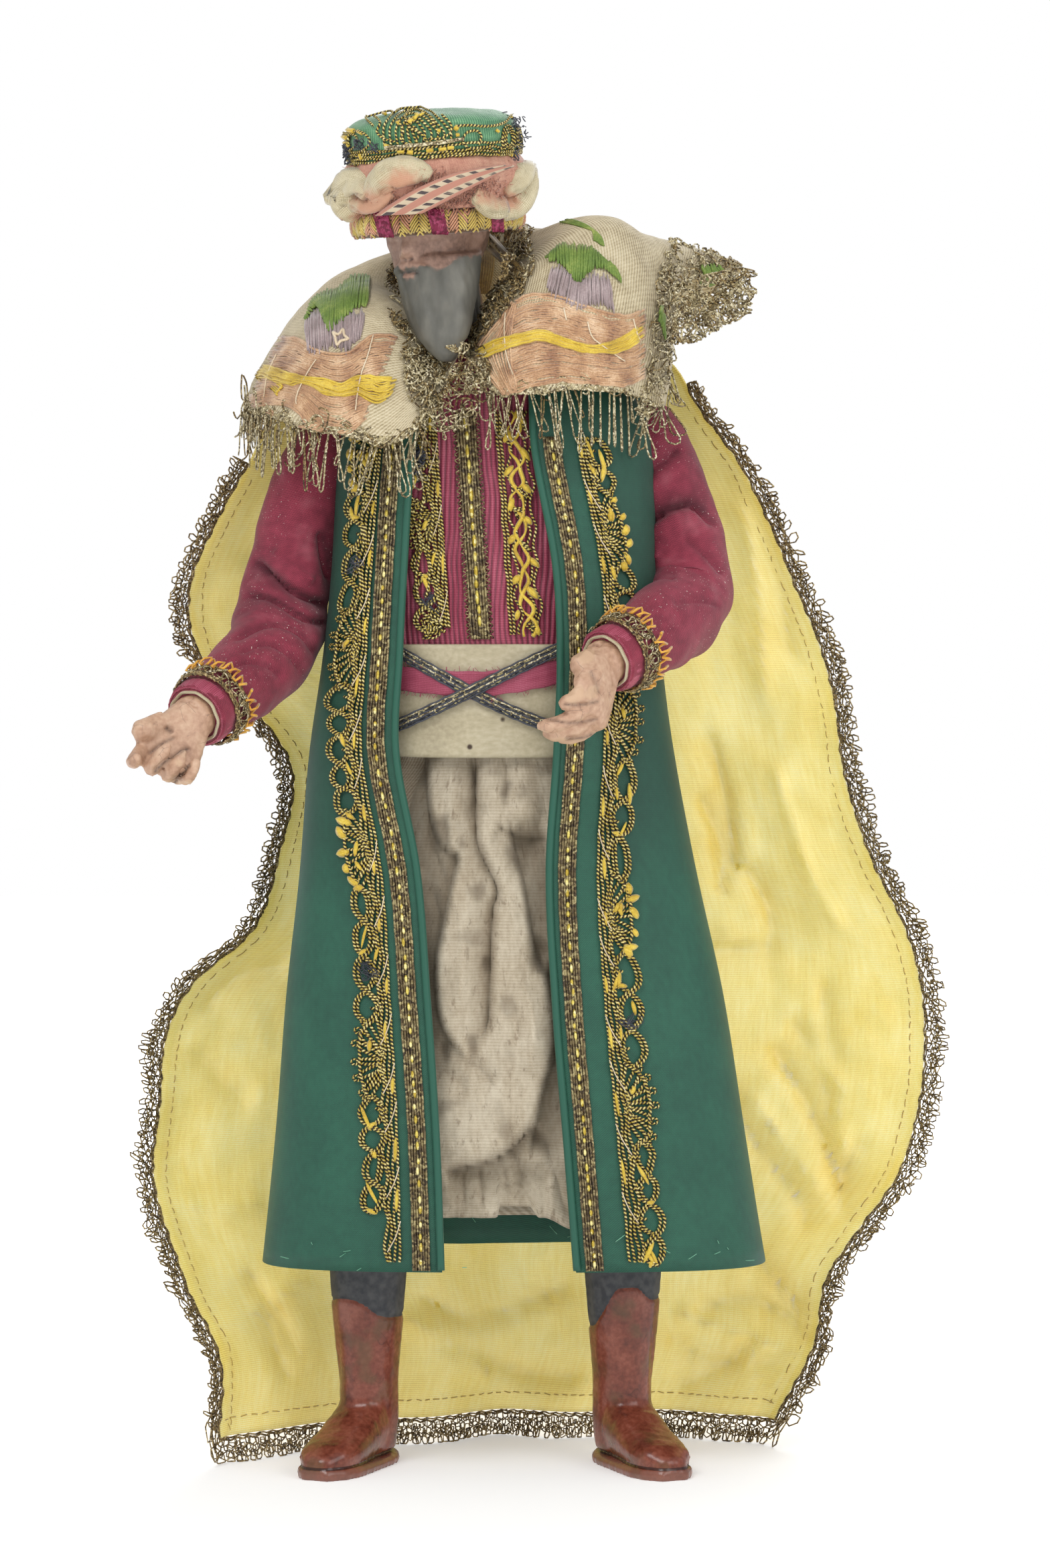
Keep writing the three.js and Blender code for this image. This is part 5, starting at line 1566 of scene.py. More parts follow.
# Legs and hands keep the shape of the solids, with finer relief.
def carved(name, voxel, rounds, relief=None):
    """A finer copy of a solid, smoothed; relief(point, normal) moves its surface out in millimetres."""
    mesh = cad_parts[name].data.copy()
    mesh.transform(TO_FRAME.inverted())
    bm = bmesh.new()
    bm.from_mesh(mesh)
    bmesh.ops.remove_doubles(bm, verts=bm.verts, dist=0.003)
    bm.to_mesh(mesh)
    bm.free()
    holder = link(name + "_copy", mesh)
    remesh = holder.modifiers.new("cells", "REMESH")
    remesh.mode = "VOXEL"
    remesh.voxel_size = voxel
    fine = bpy.data.meshes.new_from_object(holder.evaluated_get(bpy.context.evaluated_depsgraph_get()))
    bpy.data.objects.remove(holder)
    bpy.data.meshes.remove(mesh)
    bm = bmesh.new()
    bm.from_mesh(fine)
    bpy.data.meshes.remove(fine)
    for _ in range(rounds):
        bmesh.ops.smooth_vert(bm, verts=bm.verts, factor=0.5, use_axis_x=True, use_axis_y=True,
                              use_axis_z=True)
    if relief:
        bm.normal_update()
        moves = [vert.normal * relief(vert.co, vert.normal) for vert in bm.verts]
        for vert, move in zip(bm.verts, moves):
            vert.co += move
    return bm


BOOT_TOPS = {"right": (-38, 43.5), "left": (38, 44.5)}


def boot_line(side, point):
    x = point.x - BOOT_TOPS[side][0]
    if side == "right":
        level = 52.6 + 0.36 * x * (1 if x < 0 else 0) - 8.5 * ease((x + 8) / 15)
    else:
        level = 52.4 - 11.5 * ease((-x - 1) / 9) + 1.5 * hump(x, 2, 4) - 3.2 * ease((x - 3) / 6)
    return level + 0.5 * rough(point.x, point.y, 0, 4, 22)


def make_legs():
    for side in ("right", "left"):
        turn = math.radians(24) * (-1 if side == "right" else 1)
        ankle = Vector((BOOT_TOPS[side][0], 0, 0))
        unturn = Matrix.Rotation(-turn, 4, "Z") @ Matrix.Translation(-ankle)

        def relief(point, normal, unturn=unturn, side=side):
            local = unturn @ point
            out = 0.12 * rough(point.x, point.y, point.z, 2.2, 23)
            if point.z < 4.6:
                out -= 0.3 * hump(point.z, 3.4, 0.5)
            forward = -local.y
            if 3 < point.z < 40:
                for at, turn_in in ((2, 0.5), (9, 0.45), (15, 0.3)):
                    crease = hump(forward - 0.25 * (point.z - 18), at + 2, 1.0)
                    out -= 0.55 * turn_in * crease * ease((point.z - 9) / 5)
            edge = boot_line(side, point)
            out += 0.28 * ease((edge - point.z) / 0.8) if point.z > 20 else 0.28
            out -= 0.35 * hump(point.z, edge + 0.5, 0.6)
            return out

        bm = carved(side + "_leg", 0.92, 4, relief)
        for vert in bm.verts:
            if vert.co.z < 0.05:
                vert.co.z = 0.0

        def above_boot(p, side=side):
            return 0.5 + 0.5 * max(-1, min(1, (p.z - boot_line(side, p)) / 0.5)) if p.z > 20 else 0.0

        formed(side + "_booted_leg", bm, LEG_PAINT, "boot_paint", side + "_leg", above_boot=above_boot)


# Arms: a line through shoulder, elbow and wrist, and how wide the sleeve is along it.
ARM_LINES = {
    "right": [(-42, 4, 318), (-55, 2, 290), (-62, 0, 262), (-66, -9, 243), (-77, -29, 230),
              (-86, -44, 222)],
    "left": [(34, 5, 324), (45, 4, 304), (53, 3, 284), (57, 0, 259), (46, -24, 246), (32.5, -39, 238)],
}
SLEEVE_RADIUS = 12.8
SLEEVE_SIZES = through([(0, 0.72), (0.1, 0.84), (0.24, 1), (0.4, 1.02), (0.56, 1.1), (0.75, 1), (0.9, 0.84),
    (1, 0.75)])
ELBOW = {"right": 0.56, "left": 0.62}


class Arm:
    """The line of an arm by its length, with a frame that does not twist."""

    def __init__(self, points):
        fine = smooth_path(points, 0.5)
        lengths = [0.0]
        for a, b in zip(fine, fine[1:]):
            lengths.append(lengths[-1] + (b - a).length)
        self.length = lengths[-1]
        self.points = []
        k = 0
        for i in range(401):
            goal = self.length * i / 400
            while k < len(fine) - 2 and lengths[k + 1] < goal:
                k += 1
            part = (goal - lengths[k]) / max(lengths[k + 1] - lengths[k], 1e-6)
            self.points.append(fine[k].lerp(fine[k + 1], min(part, 1)))
        self.ways = [(self.points[min(i + 2, 400)] - self.points[max(i - 2, 0)]).normalized()
                     for i in range(401)]
        front = Vector((0, -1, 0))
        self.fronts = []
        for way in self.ways:
            front = (front - way * front.dot(way)).normalized()
            self.fronts.append(front)

    def at(self, t, angle, reach):
        place = min(max(t, 0), 1) * 400
        i = min(int(place), 399)
        centre = self.points[i].lerp(self.points[i + 1], place - i)
        way = self.ways[i].lerp(self.ways[i + 1], place - i).normalized()
        if t > 1:
            centre = centre + way * (t - 1) * self.length
        if t < 0:
            centre = centre + way * t * self.length
        front = self.fronts[i]
        side = way.cross(front)
        return centre + (front * math.cos(angle) + side * math.sin(angle)) * reach


SLEEVE_FOLDS = {
    "right": Folds(-8, [
        (-2.6, 1.0, 3.2, [(508, 906), (470, 893), (437, 878), (405, 855), (374, 832)]),
        (-1.8, 0.8, 2.2, [(504, 930), (465, 925), (430, 905), (395, 890), (360, 890)]),
        (-1.2, 0.8, 2.0, [(480, 990), (462, 955), (430, 935), (395, 935), (350, 960)]),
        (-2.0, 2.5, 1.5, [(506, 890), (488, 840), (480, 790)]),
        (-1.0, 0.8, 1.8, [(460, 1015), (440, 980), (405, 962), (362, 978)]),
        (1.2, 2, 2, [(470, 870), (440, 850), (410, 820)]),
        (-1.4, 2, 1, [(500, 960), (490, 1000), (470, 1030)]),
        (-0.9, 0.7, 1.6, [(430, 1020), (415, 1000), (380, 990), (345, 1005)]),
    ]),
    "left": Folds(-8, [
        (-3.0, 1.0, 3.4, [(940, 806), (958, 788), (985, 770), (1013, 757), (1040, 756), (1072, 786)]),
        (-1.4, 1.2, 3.0, [(950, 726), (975, 702), (1000, 686), (1018, 664)]),
        (0.9, 2, 2, [(938, 846), (960, 834), (990, 830)]),
        (-0.9, 1, 2, [(1020, 806), (1050, 826), (1082, 860)]),
        (-0.8, 1, 2, [(942, 880), (980, 862), (1010, 864)]),
        (-0.7, 1, 1.6, [(1000, 905), (1040, 900), (1076, 905)]),
        (-1.4, 2, 1, [(930, 700), (934, 760), (938, 820)]),
    ]),
}


def sleeve_reach(side, t, angle):
    size = SLEEVE_RADIUS * SLEEVE_SIZES(t)[0]
    bend = hump(t, ELBOW[side], 0.16)
    x, y = math.cos(angle), math.sin(angle)
    behind = bend * 0.6 * math.sin(52 * t + 2 * y) * ease(0.4 - x)
    soft = 0.9 * rough(x * 9, y * 9, t * 90, 9, 24) + 0.4 * rough(x * 9, y * 9, t * 90, 4, 25)
    return size + behind + soft - 0.25


CUFF_LACE_START = 0.915
CUFF_TURNS = 22


def make_arm(side):
    arm = Arm(ARM_LINES[side])

    def surface(u, v):
        angle = math.tau * u + math.pi
        point = arm.at(v, angle, sleeve_reach(side, v, angle))
        front = ease(1.6 * math.cos(angle) + 0.2) * ease((0.94 - v) / 0.1)
        fold = 2.1 * SLEEVE_FOLDS[side].at(point.x, point.z) if front else 0
        return arm.at(v, angle, sleeve_reach(side, v, angle) + fold * front)

    bm = closed(cloth(surface, 96, 130, (80, arm.length), joined=True))
    # The deep mark is painted shade in the sleeve's folds, on the front.
    sleeve = formed(side + "_twill_sleeve", bm, CRIMSON_TWILL, "crimson_twill", side + "_sleeve",
                    deep=lambda p: SLEEVE_FOLDS[side].deep(p.x, p.z, 1.7) * ease(-p.y / 4))
    make_cuff_lace(side, arm)
    make_cuff(side, arm)


def make_cuff_lace(side, arm):
    """Wound wires round the cuff in two tangled rows, with loops of orange floss along its edge."""
    reach = SLEEVE_RADIUS * SLEEVE_SIZES(0.93)[0] + 0.5

    def on_cuff(s, t, lift):
        return arm.at(CUFF_LACE_START + t / arm.length, s / reach, reach + lift - 0.06 * t)

    around = math.tau * reach
    paths = []
    for t in (0.2, 0.9, 5.0, 5.7):
        run = [on_cuff(around * i / 90, t + 0.15 * math.sin(i * 1.3 + t),
                       0.4 + 0.15 * math.sin(i * 2.1 + t)) for i in range(91)]
        paths.append((run, 0.36, 0))
    for steps, start, wide, deep, skew, lift, wave, thick, finish in (
            (14, 0, 1.2, 1.9, 1, 0.6, 0.5, 0.32, 0), (12, 1, 0.9, 1.4, 1.31, 0.9, 0.7, 0.22, 2)):
        run = []
        for i in range(CUFF_TURNS * steps + 1):
            angle = math.tau * i / steps + start
            s = around * i / (CUFF_TURNS * steps) + wide * math.sin(angle * skew)
            run.append(on_cuff(s, 3.0 + deep * math.cos(angle), lift + 0.3 * math.sin(angle * wave)))
        paths.append((run, thick, finish))
    for _ in range(14):
        s = random.uniform(0, around)
        paths.append(tangle(on_cuff, s, random.uniform(0.5, 5.5), random.uniform(0.9, 1.8), 1.8, 0.16, 2,
                            1.2))
    for first, last in ((-0.1, 0.2), (0.23, 0.44), (0.5, 0.66), (0.7, 0.87)):
        run = []
        count = int((last - first) * 150)
        for i in range(count + 1):
            s = around * mix(first, last, i / count) + 0.5 * math.sin(i * 1.9)
            t = -1.0 + 2.0 * math.sin(i * 1.25) + 0.8 * math.sin(i * 0.37)
            run.append(on_cuff(s, t, 1.2 + 0.7 * math.cos(i * 1.25)))
        paths.append((run, 0.42, 1))
    corded(side + "_cuff_metal_lace", paths, [BRONZE_CORD, ORANGE_FLOSS, METAL_CORD], "tarnished_braid",
           side + "_cuff_lace")


def make_cuff(side, arm):
    """The shirt's ivory cuff, out and back again within the sleeve, and the sleeve's turned end."""
    def cuff_surface(u, v):
        angle = math.tau * u
        t = mix(0.955, 1 + 1.2 / arm.length, 1 - abs(2 * v - 1))
        ring = 7.35 if v > 0.5 else 7.9
        uneven = rough(8 * math.cos(angle), 8 * math.sin(angle), t * 90, 3, 26)
        return arm.at(t, angle, ring + 0.12 * math.sin(9 * angle) + 0.1 * uneven)

    bm = cloth(cuff_surface, 90, 16, (50, 12), joined=True)
    lining = formed(side + "_silk_lining", bm, IVORY_SILK, "ivory_linen", side + "_shirt_cuff", wall=0.3)

    def band_surface(u, v):
        ring = mix(9.55, 8.9, v) + 0.08 * math.sin(31 * math.tau * u) + 0.35 * math.sin(math.pi * v)
        return arm.at(mix(0.962, 1.0 + 0.2 / arm.length, v), math.tau * u, ring)

    bm = cloth(band_surface, 110, 10, (56, 5), joined=True)
    band = formed(side + "_cuff_band", bm, CRIMSON_RIB, "crimson_rib", wall=0.5)


HAND_GROOVES = {
    "right": Folds(-56, [(-1.3, 0.6, 0.6, [(232, 1156), (258, 1132), (284, 1115)]),
    (-1.3, 0.6, 0.6, [(246, 1182), (268, 1161), (290, 1139)]),
    (-1.0, 0.5, 0.5, [(222, 1128), (240, 1112), (262, 1100)]),
    (-1.2, 0.9, 0.9, [(246, 1084), (252, 1090), (258, 1094)])]),
    "left": Folds(-52, [(-1.0, 0.5, 0.5, [(838, 1052), (866, 1053), (896, 1047)]),
    (-1.0, 0.5, 0.5, [(808, 1070), (849, 1080), (896, 1073)]),
    (-1.0, 0.5, 0.5, [(842, 1103), (872, 1101), (890, 1093)]),
    (-0.7, 0.6, 0.6, [(880, 1000), (890, 1020), (894, 1040)])]),
}
HAND_BREAKS = {"right": [(273, 1138, 1.2), (280, 1175, 1.4)],
    "left": [(872, 976, 3.2), (857, 1036, 3.0), (884, 1034, 2.2)]}


def hand_break(side, point):
    """How far a place in the picture lies in a break of the hand's paint."""
    total = 0
    for u, v, size in HAND_BREAKS[side]:
        x, z = in_plane(u, v, -54)
        away = math.hypot(point.x - x, point.z - z) + 0.9 * rough(point.x, point.z, 0, 1.6, 45)
        total = max(total, ease((size - away) / 0.6))
    return total * ease(-0.5 - (point.y + 34) / 6)


def make_hand(side):
    low = TO_FRAME.inverted() @ Vector(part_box(side + "_hand")[0])

    def broken(p):
        tips = low.z + 2.2 - p.z + 0.8 * rough(p.x, p.y, p.z, 1.2, 29)
        return max(hand_break(side, p), ease(tips / 0.5))

    def relief(point, normal):
        out = 0.1 * rough(point.x, point.y, point.z, 1.6, 27)
        out -= 0.25 * ease((rough(point.x, point.y, point.z, 3.6, 28) - 0.25) / 0.15)
        if normal.y < 0:
            out += HAND_GROOVES[side].at(point.x, point.z) * ease(-2 * normal.y)
        return out - 0.35 * hand_break(side, point)

    bm = carved(side + "_hand", 0.54, 2, relief)
    # A mark darkens the hand's grooves as painted shade.
    formed(side + "_painted_hand", bm, HAND_PAINT, "painted_terracotta", side + "_hand", broken=broken,
           crack=lambda p: 0.8 * HAND_GROOVES[side].deep(p.x, p.z, 1.0))


# Things drawn on a surface where the camera sees it.
def drawn(skin, spots, lift, spacing=3.0, wander=0.0, seed=0.0):
    """A path on a surface through places in the picture."""
    flat = smooth_path([(u, v, 0) for u, v in spots], spacing)
    path = []
    for i, spot in enumerate(flat):
        shift = wander * rough(i * spacing, seed * 13, 0, 14, 30)
        up = lift(i / max(len(flat) - 1, 1)) if callable(lift) else lift
        path.append(skin.seen(spot[0], spot[1] + shift, up))
    return path


def between_lines(first, last, share, count=26):
    """A line part of the way from one drawn line to another."""
    def even(line):
        fine = smooth_path([(u, v, 0) for u, v in line], 2)
        return [fine[round(i * (len(fine) - 1) / count)] for i in range(count + 1)]

    return [(mix(a[0], b[0], share), mix(a[1], b[1], share)) for a, b in zip(even(first), even(last))]


def laid_strands(skin, first, last, count, radius, finish, lift=0.45, wander=1.4):
    """Strands of floss laid side by side between two drawn lines."""
    paths = []
    for i in range(count):
        share = (i + 0.5) / count
        line = between_lines(first, last, share)
        a, b = random.uniform(0, 0.07), random.uniform(0.93, 1)
        part = line[int(a * 26):int(b * 26) + 1]
        up = lift + 0.35 * rough(i, 0, 0, 3, 31) + random.uniform(-0.12, 0.3)
        paths.append((drawn(skin, part, up, 5, wander, i * 0.37), radius * random.uniform(0.8, 1.2),
                      finish))
    return paths


def satin_stitches(skin, first, last, count, radius, finish, lift=0.5, ragged=0.12):
    """Stitches that run from one drawn line to another."""
    one = between_lines(first, first, 0, count)
    two = between_lines(last, last, 0, count)
    paths = []
    for a, b in zip(one, two):
        a0, b0 = random.uniform(-ragged, ragged), random.uniform(1 - ragged, 1 + ragged)
        spots = []
        for k in range(6):
            t = mix(a0, b0, k / 5)
            spots.append(skin.seen(mix(a[0], b[0], t) + random.uniform(-0.6, 0.6), mix(a[1], b[1], t),
                                   lift + 0.25 * math.sin(math.pi * k / 5) + random.uniform(-0.05, 0.1)))
        paths.append((spots, [radius * v for v in (0.5, 0.9, 1, 1, 0.9, 0.5)], finish))
    return paths


# Shoulder cape: angle, then reach and level of its neck edge, its middle and its outer edge.
CAPE_ANGLES = through([
    (-180, 20, 368, 40, 362, 50, 330), (-150, 20, 366, 44, 358, 60, 326), (-115, 20, 360, 48, 352, 66, 318),
    (-90, 22, 352, 46, 345, 64, 317), (-60, 20, 346, 42, 341.5, 62, 309), (-42, 18, 341, 38, 336, 57, 304),
    (-24, 17, 334, 31, 325, 43, 302), (-8, 17, 330, 25, 325, 33, 316), (8, 17, 331, 25, 327, 33, 321),
    (20, 17, 339, 30, 336, 36, 316), (45, 18, 352, 42, 352, 52, 317), (66, 19, 361, 51, 362, 60, 316),
    (78, 19, 365, 54, 365, 62, 317), (88, 19, 367, 56, 366, 63, 350), (98, 19, 368, 58, 367, 66, 354),
    (118, 20, 370, 66, 368, 96, 361), (140, 20, 370, 50, 364, 66, 334), (180, 20, 368, 40, 362, 50, 330),
])
NECK = (-10, 3)


def cape_point(angle, share):
    neck, neck_z, reach, level, edge, edge_z = CAPE_ANGLES(angle)
    a = (1 - share) * (1 - 2 * share)
    b = 4 * share * (1 - share)
    c = share * (2 * share - 1)
    radius = a * neck + b * reach + c * edge
    z = a * neck_z + b * level + c * edge_z
    turn = math.radians(angle)
    return Vector((NECK[0] + radius * math.sin(turn), NECK[1] - radius * math.cos(turn), z))


def cape_surface(u, v):
    angle = mix(2 + 10 * v, 358 - 8 * v, u)
    if angle > 180:
        angle -= 360
    point = cape_point(angle, v)
    crumple = 0.7 * rough(point.x, point.y, point.z, 11, 32) + 0.3 * rough(point.x, point.y, point.z, 5, 33)
    edge = ease((v - 0.8) / 0.2)
    crumple += edge * 0.9 * rough(point.x, point.y, point.z, 6, 34)
    middle = Vector((NECK[0], NECK[1], point.z - 20))
    return point + (point - middle).normalized() * crumple * ease(v / 0.1)


PEACH_LEFT = ([(420, 503), (450, 508), (478, 526), (520, 528), (556, 502), (598, 505)],
              [(366, 612), (400, 606), (440, 612), (468, 648), (500, 662), (548, 628)])
YELLOW_LEFT = ([(388, 540), (406, 549), (440, 560), (462, 566), (492, 569), (510, 576), (532, 564),
    (566, 564), (598, 566)], [(374, 566), (400, 566), (430, 576), (456, 576), (490, 592), (510, 594),
        (534, 592), (562, 604), (588, 586)])
PEACH_RIGHT = ([(766, 452), (792, 440), (832, 442), (870, 456), (910, 468), (940, 470), (967, 456)],
               [(757, 596), (786, 582), (830, 572), (880, 574), (920, 577), (944, 572), (966, 560)])
PEACH_RIGHT_SIDE = ([(766, 452), (746, 480), (712, 520), (716, 545), (736, 572), (757, 596)],
                    [(772, 456), (768, 486), (766, 520), (768, 548), (772, 570), (776, 588)])
YELLOW_RIGHT = ([(714, 524), (742, 508), (778, 499), (812, 494), (850, 508), (888, 516), (926, 503),
    (962, 478)], [(716, 542), (744, 528), (780, 516), (812, 510), (850, 522), (888, 528), (928, 526),
        (964, 500)])
LILAC_LEFT = ([(458, 482), (470, 462), (500, 458), (530, 470), (544, 468)],
              [(462, 512), (466, 530), (496, 522), (520, 524), (538, 505)])
LEAF_LEFT = ([(460, 478), (470, 450), (488, 440), (510, 432), (530, 415), (552, 417)],
             [(462, 482), (478, 462), (492, 494), (505, 490), (528, 468), (546, 462)])
LILAC_RIGHT = ([(826, 402), (846, 404), (866, 416), (890, 412), (908, 420)],
               [(818, 432), (842, 452), (864, 460), (890, 456), (914, 464)])
LEAF_RIGHT = ([(826, 378), (842, 368), (860, 372), (880, 371), (900, 388), (914, 398)],
              [(822, 394), (842, 400), (862, 424), (876, 412), (898, 404), (924, 424)])
LEAF_WING = ([(1040, 402), (1056, 398), (1072, 404)], [(1046, 420), (1060, 422), (1074, 414)])
LEAF_TIP = ([(1080, 438), (1098, 434), (1116, 444)], [(1084, 462), (1100, 470), (1114, 476)])
COUCHING = [
    [(418, 532), (410, 548), (402, 572), (398, 596)],
    [(475, 540), (462, 560), (448, 590), (446, 606)],
    [(556, 504), (546, 540), (536, 570), (530, 615)],
    [(758, 470), (756, 498), (758, 530), (768, 560)],
    [(842, 462), (846, 480)], [(876, 482), (884, 506), (912, 528), (930, 540)],
    [(942, 478), (948, 500), (952, 508)],
]


def embroidery(skin):
    """Finishes are peach, yellow, lilac and green floss, then cream thread."""
    paths = []
    paths += laid_strands(skin, *PEACH_LEFT, 46, 0.4, 0, 0.45, 3.2)
    paths += laid_strands(skin, *YELLOW_LEFT, 14, 0.4, 1, 0.95, 3.4)
    paths += laid_strands(skin, *PEACH_RIGHT, 44, 0.42, 0, 0.45, 3.2)
    paths += laid_strands(skin, *PEACH_RIGHT_SIDE, 13, 0.36, 0, 0.45, 2.4)
    paths += laid_strands(skin, *YELLOW_RIGHT, 9, 0.4, 1, 0.95, 2.6)
    for lines in (LILAC_LEFT, LILAC_RIGHT):
        paths += satin_stitches(skin, *lines, 30, 0.48, 2, 0.6, 0.06)
        paths += satin_stitches(skin, *lines, 18, 0.36, 2, 1.0, 0.15)
    paths += satin_stitches(skin, *LEAF_LEFT, 36, 0.6, 3, 1.2, 0.05)
    paths += satin_stitches(skin, *LEAF_RIGHT, 28, 0.6, 3, 1.2, 0.05)
    for lines in (LEAF_WING, LEAF_TIP):
        paths += satin_stitches(skin, *lines, 13, 0.55, 3, 2.1, 0.15)
    stem = [(788, 329), (830, 330), (862, 336), (888, 348), (894, 366)]
    for k in range(7):
        line = []
        for i, (u, v) in enumerate(stem):
            line.append((u + 2.2 * (k - 3) * (0.3 + 0.7 * i / 4), v + 1.4 * (k - 3)))
        paths.append((drawn(skin, line, 0.7, 4, 1.0, k), 0.36, 3))
    for line in COUCHING:
        paths.append((drawn(skin, line, 1.25, 4, 0.8, line[0][0]), 0.22, 4))
    for k in range(7):
        strap = [(717 + 3.4 * k, 350), (715 + 3.6 * k, 380), (713 + 3.4 * k, 410), (712 + 2.6 * k, 436)]
        paths.append((drawn(skin, strap, 1.2 + 0.5 * math.sin(k * 0.5), 4), 0.62, 5))
    star = [(500, 500), (508, 504), (514, 496), (516, 506), (522, 510), (510, 514), (506, 520), (504, 510),
            (500, 500)]
    paths.append((drawn(skin, star, 1.4, 3), 0.5, 4))
    return paths


class CapeEdge:
    """Walks an edge of the cape: share v of the cape, by millimetres along it."""

    def __init__(self, v, count=700):
        self.rows = []
        length = 0
        for i in range(count + 1):
            u = i / count
            point = cape_surface(u, v)
            if self.rows:
                length += (point - self.rows[-1][1]).length
            inner = cape_surface(u, v - 0.08) if v > 0.5 else cape_surface(u, v + 0.08)
            self.rows.append((length, point, (point - inner).normalized()))
        self.length = length

    def at(self, s):
        goal = min(max(s, 0), self.length)
        low, high = 0, len(self.rows) - 1
        while high - low > 1:
            half = (low + high) // 2
            if self.rows[half][0] < goal:
                low = half
            else:
                high = half
        a, b = self.rows[low], self.rows[high]
        part = (goal - a[0]) / max(b[0] - a[0], 1e-6)
        return a[1].lerp(b[1], part), a[2].lerp(b[2], part)


def hairpin(start, out, long, wide, swing, curl):
    """A loop of twisted wire that leaves an edge and hangs from it."""
    along = Vector((-out.y, out.x, 0))
    along = along.normalized() if along.length > 0.01 else Vector((1, 0, 0))
    run = []
    for i in range(11):
        t = i / 10
        away = math.sin(math.pi * t) ** 0.8
        spread = wide * math.sin(math.tau * t) * (0.2 + 0.9 * away ** 3)
        droop = long * away
        push = Vector((out.x, out.y, 0)) * (1.6 * math.sin(math.pi * away / 2) + 0.7)
        aside = spread + swing * away + curl * math.sin(5 * t) * 0.6
        run.append(start + push + along * aside - Vector((0, 0, droop)))
    return run


def curled_wire(start, out, long):
    """A loose wire that leaves an edge and winds as it hangs."""
    away = Vector((out.x, out.y, 0))
    along = Vector((-out.y, out.x, 0.001)).normalized()
    way = random.uniform(-2.2, 2.2)
    bend = random.uniform(-0.4, 0.4)
    run = [start]
    for i in range(int(long / 1.1)):
        way += bend + random.uniform(-0.35, 0.35)
        push = away * (0.7 if i < 4 else 0.05)
        down = 1.1 * math.cos(way) + 0.25
        run.append(run[-1] + push + along * 1.1 * math.sin(way) - Vector((0, 0, down)))
    return run


def curls(edge, amount, least, most, long):
    """Loose wires along the part of an edge that lies between two places across the figure."""
    paths = []
    while len(paths) < amount:
        point, out = edge.at(random.uniform(0, edge.length))
        if least < point.x < most:
            paths.append((curled_wire(point, out, random.uniform(*long)), 0.27, random.choice((0, 0, 1))))
    return paths


def fringe_net(edge, inward, wide, amount, fine=0.24, finishes=(0, 0, 1)):
    """Tangled wires that lie along an edge in a band."""
    paths = []
    for _ in range(amount):
        s0 = random.uniform(0, edge.length)
        long = random.uniform(8, 24)
        t0, t1 = random.uniform(-wide, wide * 0.4), random.uniform(-wide, wide * 0.4)
        a, b = random.uniform(0, 9), random.uniform(0, 9)
        run = []
        count = int(long / 0.9)
        for i in range(count + 1):
            share = i / count
            s = s0 + long * share
            point, out = edge.at(s)
            t = mix(t0, t1, share) + 1.3 * math.sin(share * long * 0.7 + a)
            up = 0.9 + 0.6 * math.sin(share * long * 0.9 + b)
            normal = Vector((out.x, out.y, 0)) * 0.4 + Vector((0, -0.25, 0.75))
            if inward:
                normal = Vector((-out.x, -out.y, 0)) * 0.2 + Vector((0, -0.3, 0.8))
            run.append(point + out * t + normal.normalized() * up)
        paths.append((run, fine * random.uniform(0.8, 1.2), random.choice(finishes)))
    return paths


WING_TIP_NET = [(1000, 470), (1056, 432), (1128, 415), (1130, 440), (1118, 470), (1075, 492), (1040, 512),
    (996, 512)]
DROP_NET = [(962, 505), (972, 455), (990, 440), (996, 500), (996, 560), (986, 604), (968, 628), (946, 616),
    (962, 570)]
WING_NET = [(968, 440), (985, 385), (998, 354), (1046, 366), (1096, 390), (1128, 412), (1130, 436),
    (1122, 470), (1075, 492), (1040, 512), (990, 516)]
COLLAR_NET = [(744, 358), (798, 362), (804, 398), (786, 436), (752, 476), (716, 520), (700, 540),
    (706, 500), (738, 440), (748, 400)]
LOBE_NET = [(594, 528), (640, 520), (700, 520), (738, 542), (732, 596), (704, 636), (664, 648), (630, 640),
    (604, 592)]
NECK_NET = [(636, 524), (690, 510), (730, 520), (736, 560), (720, 590), (668, 592), (642, 570)]
LEFT_COLLAR_NET = [(582, 436), (598, 462), (610, 500), (640, 530), (604, 542), (590, 506), (576, 462)]


# An outline, how many wires it holds and how many steps each has, their radius and finishes, and then,
# where wires hang free, how far forward they hang and how far forward the cloth has to be to carry them.
NETS = [
    (WING_NET, 150, 15, 0.3, (0, 0, 0, 1)),
    (WING_TIP_NET, 50, 13, 0.3, (0, 0, 0, 1)),
    (DROP_NET, 44, 12, 0.28, (0, 0, 1)),
    (COLLAR_NET, 90, 12, 0.32, (1, 1, 0)),
    (LOBE_NET, 130, 12, 0.3, (0, 0, 0, 1), -32, -14),
    (NECK_NET, 60, 12, 0.3, (0, 0, 1, 1), -37, -14),
    (LEFT_COLLAR_NET, 24, 9, 0.3, (1, 1, 0)),
]


def inside_outline(u, v, outline):
    inside = False
    for (u0, v0), (u1, v1) in zip(outline, outline[1:] + outline[:1]):
        if (v0 > v) != (v1 > v) and u < u0 + (v - v0) * (u1 - u0) / (v1 - v0):
            inside = not inside
    return inside


